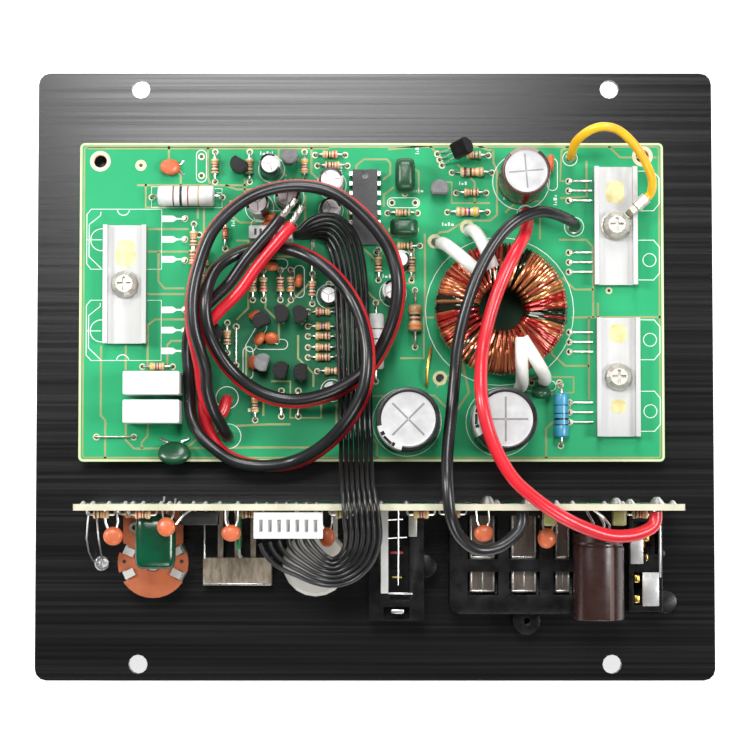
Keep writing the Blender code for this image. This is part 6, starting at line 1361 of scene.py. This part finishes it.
joints = [(x, z, 0.72) for x, z in (
              (-72.5, 31.2), (-70.0, 31.4), (-66.0, 31.3), (-62.0, 30.6), (-60.0, 31.5), (-57.5, 31.0),
              (-53.0, 31.4), (-51.0, 30.8), (-48.5, 31.5), (-45.0, 30.7), (-42.0, 31.3), (-38.5, 31.0),
              (-34.0, 31.4), (16.5, 31.0), (61.5, 31.5), (57.0, 30.7))]
joints += [(-29.4 + 2.48 * i, 31.2, 0.5) for i in range(RIBBON_WAYS)]
joints += [(28.0, 30.6, 1.9), (30.2, 31.2, 1.0), (37.6, 30.6, 1.2), (60.0, 30.8, 1.5), (63.4, 31.2, 1.2),
           (70.2, 30.2, 1.7), (74.0, 31.0, 0.9), (1.5, 31.2, 0.8), (7.8, 31.3, 0.8), (45.0, 31.2, 0.9),
           (49.0, 30.9, 0.8)]
EDGE_JOINTS = len(joints)  # those in the photograph; the rest, lower on the board, are small
random.seed(31)
for row, z in enumerate((26.5, 22.0, 17.5, 12.5, 7.0, 3.6)):
    for i in range(19):
        if random.random() < 0.62:
            joints.append((-70.5 + i * 7.8 + random.uniform(-2.4, 2.4), z + random.uniform(-1.2, 1.2),
                           random.uniform(0.75, 1.15)))
set_out("control_solder_joints", joint,
        [((x, CONTROL_BACK, z), (0, 0, 0), (s, s * 0.8 if number < EDGE_JOINTS else 0.22, s), ())
         for number, (x, z, s) in enumerate(joints)], PARTS_FINISH, "tinned_metal")
tracks, track_y = [], CONTROL_BACK - 0.14
for x, z, _ in joints[EDGE_JOINTS:]:
    reach = random.choice((-1, 1)) * random.uniform(4, 9)
    turn = max(3.0, min(z + random.choice((-1, 1)) * random.uniform(2, 4), 31.0))
    far = max(-73.5, min(x + reach, 75.5))
    tracks.append(metres(((x, track_y, z), (x + (far - x) * 0.3, track_y, turn), (far, track_y, turn))))
track_green = coated("masked_copper_track", (0.050, 0.330, 0.130), 0.34, shade=(1.2, 1.1, 1.1), grain=90,
                     relief=600, bump=0.05)
show("control_board_tracks", wire_mesh(tracks, 0.00022, track_green, 4), track_green, slot="board_green")

flat_disc = Work()
round_body(flat_disc, [(0.0, 0.9), (1.3, 0.86), (1.95, 0.62), (2.3, 0.30), (2.4, 0.0), (2.3, -0.30), (1.95, -0.62),
                       (1.3, -0.86), (0.0, -0.9)], ORANGE_DIP, sides=26)
for side in (-1, 1):
    stroke(flat_disc, [(side * 1.0, 1.9, 0), (side * 1.25, 2.6, 0), (side * 1.5, 3.6, 0.15),
                       (side * 1.5, 7.4, 0.2)], 0.28, BRIGHT_TIN)
HUNG_DISCS = ((-65.9, -41.8, 2.5, 24.0, 5, 6), (-52.1, -39.4, 2.4, 29.4, -12, -8), (-36.0, -41.0, 2.5, 27.0, 4, 0),
              (-12.2, -42.2, 2.0, 19.0, 0, 0), (27.5, -41.1, 2.5, 22.0, -6, 4), (43.4, -42.4, 2.4, 22.0, 8, -6))
set_out("control_discs", flat_disc,
        [((x, y, z), (0, lean, turn), (r / 2.4, (-y - 34.9) / 7.0 if -y - 34.9 > 6 else r / 2.4, 1), ())
         for x, y, r, z, lean, turn in HUNG_DISCS], PARTS_FINISH, "package_black")
work, zones = resistor(4.0, 2.0, 7.0, (BEIGE, 0.0, 0.35))
HUNG_RESISTORS = ((-69.0, 24.0), (-58.0, 29.0), (-31.9, 20.0), (11.6, 24.0), (67.0, 22.0), (-8.0, 24.0),
                  (-62.0, 14.0), (20.0, 12.0), (44.0, 10.0))
set_out("control_resistors", work,
        [((x, CONTROL_FRONT, z), (90, 0, 0), (1, 1, 1), BAND_SETS[i % 7])
         for i, (x, z) in enumerate(HUNG_RESISTORS)], PARTS_FINISH, "resistor_white", zones)
work = Work()
block(work, (-49.0, -39.4), (-39.0, -35.75), (20.8, 27.2), MOULDED_BLACK, 0.25)
for i in range(4):
    block(work, (-48.3 + i * 2.54, -47.7 + i * 2.54), (-38.2, -35.2), (20.27, 20.53), BRIGHT_TIN)
block(work, (-34.9, -33.8), (-45.2, -36.9), (17.2, 24.8), ((0.010, 0.16, 0.045), 0.0, 0.10), 0.5, steps=3)
for z in (18.4, 23.6):
    stroke(work, [(-34.4, -45.0, z), (-34.4, -46.6, z - 0.4), (-33.9, -47.2, z - 0.8)], 0.30, BRIGHT_TIN)
    stroke(work, [(-34.4, -37.2, z), (-34.4, -35.2, z)], 0.3, BRIGHT_TIN)
for x, z, r in ((43.8, 27.0, 1.6), (61.4, 24.5, 1.7)):
    block(work, (x - r, x + r), (-39.2, -35.4), (z - r, z + r), ((0.30, 0.30, 0.10), 0.0, 0.35), 0.5, steps=3)
stroke(work, [(-37.0, -35.2, 24.5), (-37.2, -37.4, 25.2), (-36.8, -38.8, 26.4)], 0.3, BRIGHT_TIN)
stroke(work, [(-46.0, -35.2, 29.8), (-47.6, -36.4, 30.2), (-49.6, -38.8, 29.8)], 0.3, BRIGHT_TIN)
stroke(work, [(54.6, -35.2, 29.8), (56.8, -36.8, 29.8), (58.6, -38.9, 28.0), (58.9, -40.6, 24.2)], 0.34, BRIGHT_TIN)
built("control_parts", work, PARTS_FINISH, slot="package_black")


# Tone capacitor
# Film capacitor rolled flat and dipped in thick glossy green resin. It hangs flat over the tone
# control on its two leads from the control board.

work = Work()
pillow(work, (-60.4, -50.2), (-50.1, -36.2), (21.0, 26.05), ((0.002, 0.062, 0.028), 0.0, 0.13), 0.30, 0.55)
for x in (-58.3, -52.3):
    stroke(work, [(x, -38.4, 23.5), (x, -36.9, 23.6), (x, -35.2, 24.0)], 0.36, BRIGHT_TIN)
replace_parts(built("tone_capacitor_dip", work, DIP_FINISH, slot="film_green", sharp=80), "tone_capacitor")


# Supply capacitor
# An aluminium can on its side in a dark brown shrunk sleeve, its pale stripe up. Its leads go into
# the control board, and it lies over the speaker terminals.

work = can(6.35, 21.9, ((0.026, 0.0085, 0.0065), 0.0, 0.24), CAN_TOP, ((0.10, 0.060, 0.050), 0.0, 0.30), rim=0.12,
           sides=64, span=1)
for x in (-2.5, 2.5):
    stroke(work, [(x, 0, 0.6), (x, 0, -2.4), (x, 2.0, -5.6)], 0.36, BRIGHT_TIN)
mesh = work.mesh("supply_can")
mesh.transform(at(56.8, -41.15, 19.0) @ Matrix.Rotation(radians(90), 4, "X") @ Matrix.Rotation(radians(64), 4, "Z"))
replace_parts(show("supply_can", mesh, CAN_FINISH, slot="can_brown"), "supply_capacitor")


# Ribbon plug
# A white nylon housing, pushed over the control board's pins from its open side. Each of its seven
# windows shows a crimped contact, latched in it with its wire.

work, NYLON = Work(), ((0.74, 0.75, 0.74), 0.0, 0.34)
PLUG_LEFT, PLUG_RIGHT, RIB_HALF, END_HALF = -30.2, -13.0, 0.62, 0.65
block(work, (PLUG_LEFT, PLUG_RIGHT), (-42.3, -35.7), (25.7, 30.6), NYLON, 0.3)
for y in ((-42.3, -40.8), (-37.6, -35.7)):
    block(work, (PLUG_LEFT, PLUG_RIGHT), y, (30.5, 31.35), NYLON, 0.15)
for i in range(RIBBON_WAYS + 1):
    x = PLUG_LEFT + END_HALF + i * (PLUG_RIGHT - PLUG_LEFT - 2 * END_HALF) / RIBBON_WAYS
    half = RIB_HALF if 0 < i < RIBBON_WAYS else END_HALF
    block(work, (x - half, x + half), (-41.0, -37.4), (30.5, 31.2), NYLON, 0.08)
# Each window's floor is a grey patch of painted shade, and the dark patches on the housing's front are painted shade
# in its openings
for i in range(RIBBON_WAYS):
    x = (PLUG_LEFT + PLUG_RIGHT) / 2 + (i - 3) * 2.27
    block(work, (x - 0.42, x + 0.42), (-40.7, -37.7), (30.60, 30.66), ((0.40, 0.40, 0.40), 0.0, 0.5))
    block(work, (x - 0.05, x + 0.28), (-40.4, -38.0), (30.62, 30.95), ((0.16, 0.16, 0.16), 0.6, 0.4), 0.06)
    block(work, (x - 0.4, x + 0.4), (-42.42, -42.28), (27.5, 29.8), ((0.05, 0.05, 0.05), 0.0, 0.5))
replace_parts(built("plug_housing", work, box_white, slot="white_plastic"), "ribbon_plug")


# Tone and level controls
# Carbon-track potentiometers: a brown phenolic wafer crimped over a drawn steel can by bright tabs,
# a threaded bush through the panel with a nut outside, a shaft and a fluted black knob.

drawn_steel = coated("drawn_steel_can", (0.66, 0.65, 0.61), 0.36, 0.7, shade=(0.74, 0.70, 0.64), grain=90,
                     spread=0.18, relief=1200, bump=0.12)
for label in ("filter", "level"):
    dress(label + "_pot_body", drawn_steel)
    dress(label + "_pot_nut", steel)
    dress(label + "_shaft", aluminium)
    dress(label + "_knob", coated(label + "_knob_plastic", (0.016, 0.016, 0.017), 0.42, shade=(1.4, 1.4, 1.4),
              grain=500, relief=1500, bump=0.25))
dress("filter_pot_wafer", coated("phenolic_wafer", (0.40, 0.098, 0.030), 0.46, shade=(0.76, 0.70, 0.62), grain=240,
          spread=0.12, relief=1300, bump=0.2))
work = Work()
# The eyelets' holes and the wafer's two open holes are dark discs of painted shade
for x, y in ((-62.0, -39.9), (-52.4, -39.9)):
    round_body(work, [(0.0, 10.5), (0.55, 10.5), (0.55, 10.9), (0.62, 11.0), (1.30, 10.95), (1.45, 10.65),
                      (1.45, 10.2), (0.0, 10.2)], [HOLE_PAINTED_SHADE] + [BRIGHT_TIN] * 6, at(x, y), 20)
for x, y in ((-64.6, -48.6), (-49.8, -48.6)):
    round_body(work, [(0.0, 10.26), (0.5, 10.26), (0.5, 10.2), (0.0, 10.2)], HOLE_PAINTED_SHADE, at(x, y), 16)
round_body(work, [(0.0, 10.75), (1.0, 10.7), (2.0, 10.5), (2.2, 10.28), (2.2, 10.2), (0.0, 10.2)],
           ((0.62, 0.60, 0.55), 0.8, 0.3), at(-57.2, -48.9), 24)
built("wafer_eyelets", work, PARTS_FINISH, slot="tinned_metal")


# Slide switch
# A folded steel frame with two long lugs holds a phenolic base; the white slider moves in it and
# reaches through the panel.

switch_steel = coated("etched_switch_frame", (0.36, 0.31, 0.245), 0.46, 0.6, shade=(0.62, 0.58, 0.52), grain=700,
                      spread=0.2, relief=1600, bump=0.5, stretch=(1.6, 0.5, 1.0))
dress("slide_switch_frame", switch_steel)
dress("slide_switch_slider", coated("slider_white", (0.70, 0.70, 0.68), 0.4, shade=(0.88, 0.88, 0.85), grain=300,
          bump=0.15))
work = Work()
block(work, (-44.5, -26.9), (-54.85, -54.35), (6.55, 6.78), ((0.66, 0.65, 0.60), 1.0, 0.25), 0.05)
stroke(work, [(-44.2, -38.2, 6.9), (-44.2, -48.0, 6.9)], 0.25, BRIGHT_TIN)
built("slide_switch_trim", work, PARTS_FINISH, slot="bright_steel")


# Input sockets, speaker terminals and fuse holder
# Moulded black blocks fixed behind the panel's windows, with pressed and tinned strips that reach
# up to the control board, spring contacts, and brass clips for the blade fuse.

block_black = coated("moulded_block_black", (0.0034, 0.0034, 0.0037), 0.25, shade=(1.5, 1.5, 1.55), grain=320,
                     spread=0.10, relief=1300, bump=0.12, Specular_IOR_Level=0.30)


def softened(node, width=0.42):
    """The node's own mesh with its corners rounded, as a mould leaves them."""
    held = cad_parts[node]
    shape = bmesh.new()
    shape.from_mesh(held.data)
    bmesh.ops.transform(shape, matrix=held.matrix_world, verts=shape.verts)
    bmesh.ops.remove_doubles(shape, verts=shape.verts, dist=1e-6)
    bmesh.ops.dissolve_limit(shape, angle_limit=radians(2), verts=shape.verts, edges=shape.edges)
    corners = [e for e in shape.edges if e.is_manifold and e.calc_face_angle() > radians(50)]
    bmesh.ops.bevel(shape, geom=corners, offset=width * MM, segments=2, profile=0.5, affect="EDGES",
                    clamp_overlap=True)
    bmesh.ops.triangulate(shape, faces=[f for f in shape.faces if len(f.verts) > 4])
    made = bpy.data.meshes.new(node + "_moulding")
    shape.to_mesh(made)
    shape.free()
    return made


for node in ("input_jack_block", "terminal_block", "fuse_holder"):
    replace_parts(show(node + "_moulding", softened(node), block_black, slot="socket_black", sharp=25), node)
dress("input_jack_strip", coated("nickel_strip", (0.80, 0.80, 0.79), 0.34, 0.6, shade=(0.85, 0.84, 0.8), grain=200,
          bump=0.1))
strip = coated("tinned_strip", (0.33, 0.28, 0.24), 0.22, 0.9, shade=(0.55, 0.46, 0.40), grain=130, spread=0.2,
               relief=700, bump=0.2, stretch=(2.5, 0.5, 1))
for number in (1, 2, 3):
    dress("terminal_strip_%d" % number, strip)
dress("blade_fuse", coated("amber_fuse", (0.70, 0.20, 0.02), 0.2, shade=(0.8, 0.7, 0.6), grain=200, Coat_Weight=0.5,
          Coat_Roughness=0.1))
BRASS = ((0.62, 0.42, 0.10), 1.0, 0.25)
SATIN = ((0.50, 0.50, 0.49), 0.9, 0.42)
work = Work()
stroke(work, [(6.0, -35.4, 13.6), (6.0, -45.0, 13.5), (5.9, -54.6, 13.4)], 0.19, BRIGHT_TIN)
stroke(work, [(3.0, -37.9, 12.9), (7.2, -37.7, 12.9)], 0.18, BRIGHT_TIN)
stroke(work, [(3.0, -42.6, 12.8), (8.2, -42.3, 12.8)], 0.18, BRIGHT_TIN)
block(work, (8.6, 10.8), (-42.2, -36.2), (12.3, 13.0), ((0.42, 0.42, 0.38), 0.8, 0.4), 0.2)
block(work, (3.4, 9.6), (-57.0, -56.5), (12.2, 12.9), BRIGHT_TIN, 0.1)
block(work, (4.2, 7.4), (-61.9, -60.8), (11.3, 12.15), BRIGHT_TIN, 0.2)
block(work, (4.0, 7.2), (-46.6, -46.0), (11.6, 12.2), ((0.35, 0.02, 0.015), 0.0, 0.3), 0.15)
block(work, (4.4, 6.8), (-52.8, -52.4), (11.6, 12.1), BRASS, 0.1)
built("socket_springs", work, PARTS_FINISH, slot="bright_steel")
work = Work()
for low, high in ((24.5, 30.9), (35.2, 41.6), (46.6, 50.2)):
    for x in (low + 0.25, high - 0.25):
        block(work, (x - 0.22, x + 0.22), (-56.3, -50.2), (9.15, 9.32), BRIGHT_TIN, 0.05)
        block(work, (x - 0.22, x + 0.22), (-47.6, -37.0), (9.15, 9.32), BRIGHT_TIN, 0.05)
    block(work, (low + 0.2, high - 0.2), (-56.5, -56.0), (9.15, 9.34), BRIGHT_TIN, 0.05)
    block(work, (low + 0.2, high - 0.2), (-47.9, -47.3), (9.15, 9.38), BRIGHT_TIN, 0.05)
    block(work, ((low + high) / 2 - 0.14, (low + high) / 2 + 0.14), (-56.0, -50.4), (9.15, 9.30), BRIGHT_TIN, 0.04)
    block(work, (low - 0.1, high + 0.1), (-50.2, -47.9), (9.1, 9.55), ((0.014, 0.014, 0.014), 0.0, 0.5), 0.1)
built("terminal_edges", work, PARTS_FINISH, slot="tinned_metal")
work = Work()
block(work, (65.6, 68.9), (-49.2, -40.6), (11.4, 12.35), SATIN, 0.12)
block(work, (68.6, 72.9), (-60.0, -51.3), (11.4, 12.35), SATIN, 0.12)
for x, y in ((69.8, -42.4), (69.8, -47.6), (67.3, -53.0), (67.3, -58.2)):
    block(work, (x - 0.8, x + 0.8), (y - 1.1, y + 1.1), (10.6, 11.9), BRASS, 0.35, steps=3)
    block(work, (x - 0.3, x + 0.3), (y - 0.8, y + 0.8), (11.8, 12.2), BRASS, 0.15)
block(work, (72.9, 73.5), (-52.6, -36.4), (11.6, 12.3), ((0.70, 0.70, 0.68), 0.9, 0.3), 0.1)
built("fuse_clips", work, PARTS_FINISH, slot="tinned_metal")


# Indicator lamp
# A clear-bodied light moulded in resin, set in its own hole in the panel. Its two long leads loop
# up to the control board.

LAMP_AT, LAMP_RADIUS = (-71.5, -49.4), 1.5
lens = Work()
round_body(lens, [(0.0, 1.30), (LAMP_RADIUS + 0.15, 1.30), (LAMP_RADIUS + 0.4, 1.15), (LAMP_RADIUS + 0.4, 0.35),
                  (LAMP_RADIUS, 0.30), (LAMP_RADIUS, -2.2), (LAMP_RADIUS * 0.87, -3.2), (LAMP_RADIUS * 0.5, -4.2),
                  (0.0, -4.5)], ((0.92, 0.94, 0.95), 0.0, 0.04), at(*LAMP_AT), 28)
clear_lens = coated("clear_lamp_lens", (0.92, 0.94, 0.95), 0.04, 0.0, shade=(0.97, 0.97, 0.97), grain=200,
                    spread=0.02, bump=0.03, Transmission_Weight=0.9, IOR=1.45)
lamp_lens = built("lamp_lens", lens, clear_lens, slot="lens_clear")
lamp_leads = Work()
stroke(lamp_leads, [(-70.9, -49.4, -1.6), (-70.9, -49.3, 1.3), (-70.8, -47.4, 7.6), (-70.6, -42.6, 15.6),
                    (-70.4, -38.2, 20.6), (-70.3, -35.8, 21.4)], 0.24, BRIGHT_TIN, 8)
stroke(lamp_leads, [(-72.1, -49.4, -1.2), (-72.2, -49.3, 1.4), (-73.4, -48.6, 4.4), (-74.0, -46.2, 8.4),
                    (-73.9, -42.6, 13.6), (-72.9, -38.8, 20.0), (-72.2, -35.8, 22.9)], 0.24, BRIGHT_TIN, 8)
block(lamp_leads, (-71.25, -70.6), (-49.75, -49.05), (-2.2, -0.6), BRIGHT_TIN, 0.08)
block(lamp_leads, (-72.5, -71.6), (-49.95, -48.85), (-2.2, -0.6), BRIGHT_TIN, 0.12)
lamp_wires = built("lamp_leads", lamp_leads, PARTS_FINISH, slot="tinned_metal")
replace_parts(lamp_lens, "indicator_lamp")
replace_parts(lamp_wires, "indicator_lamp")
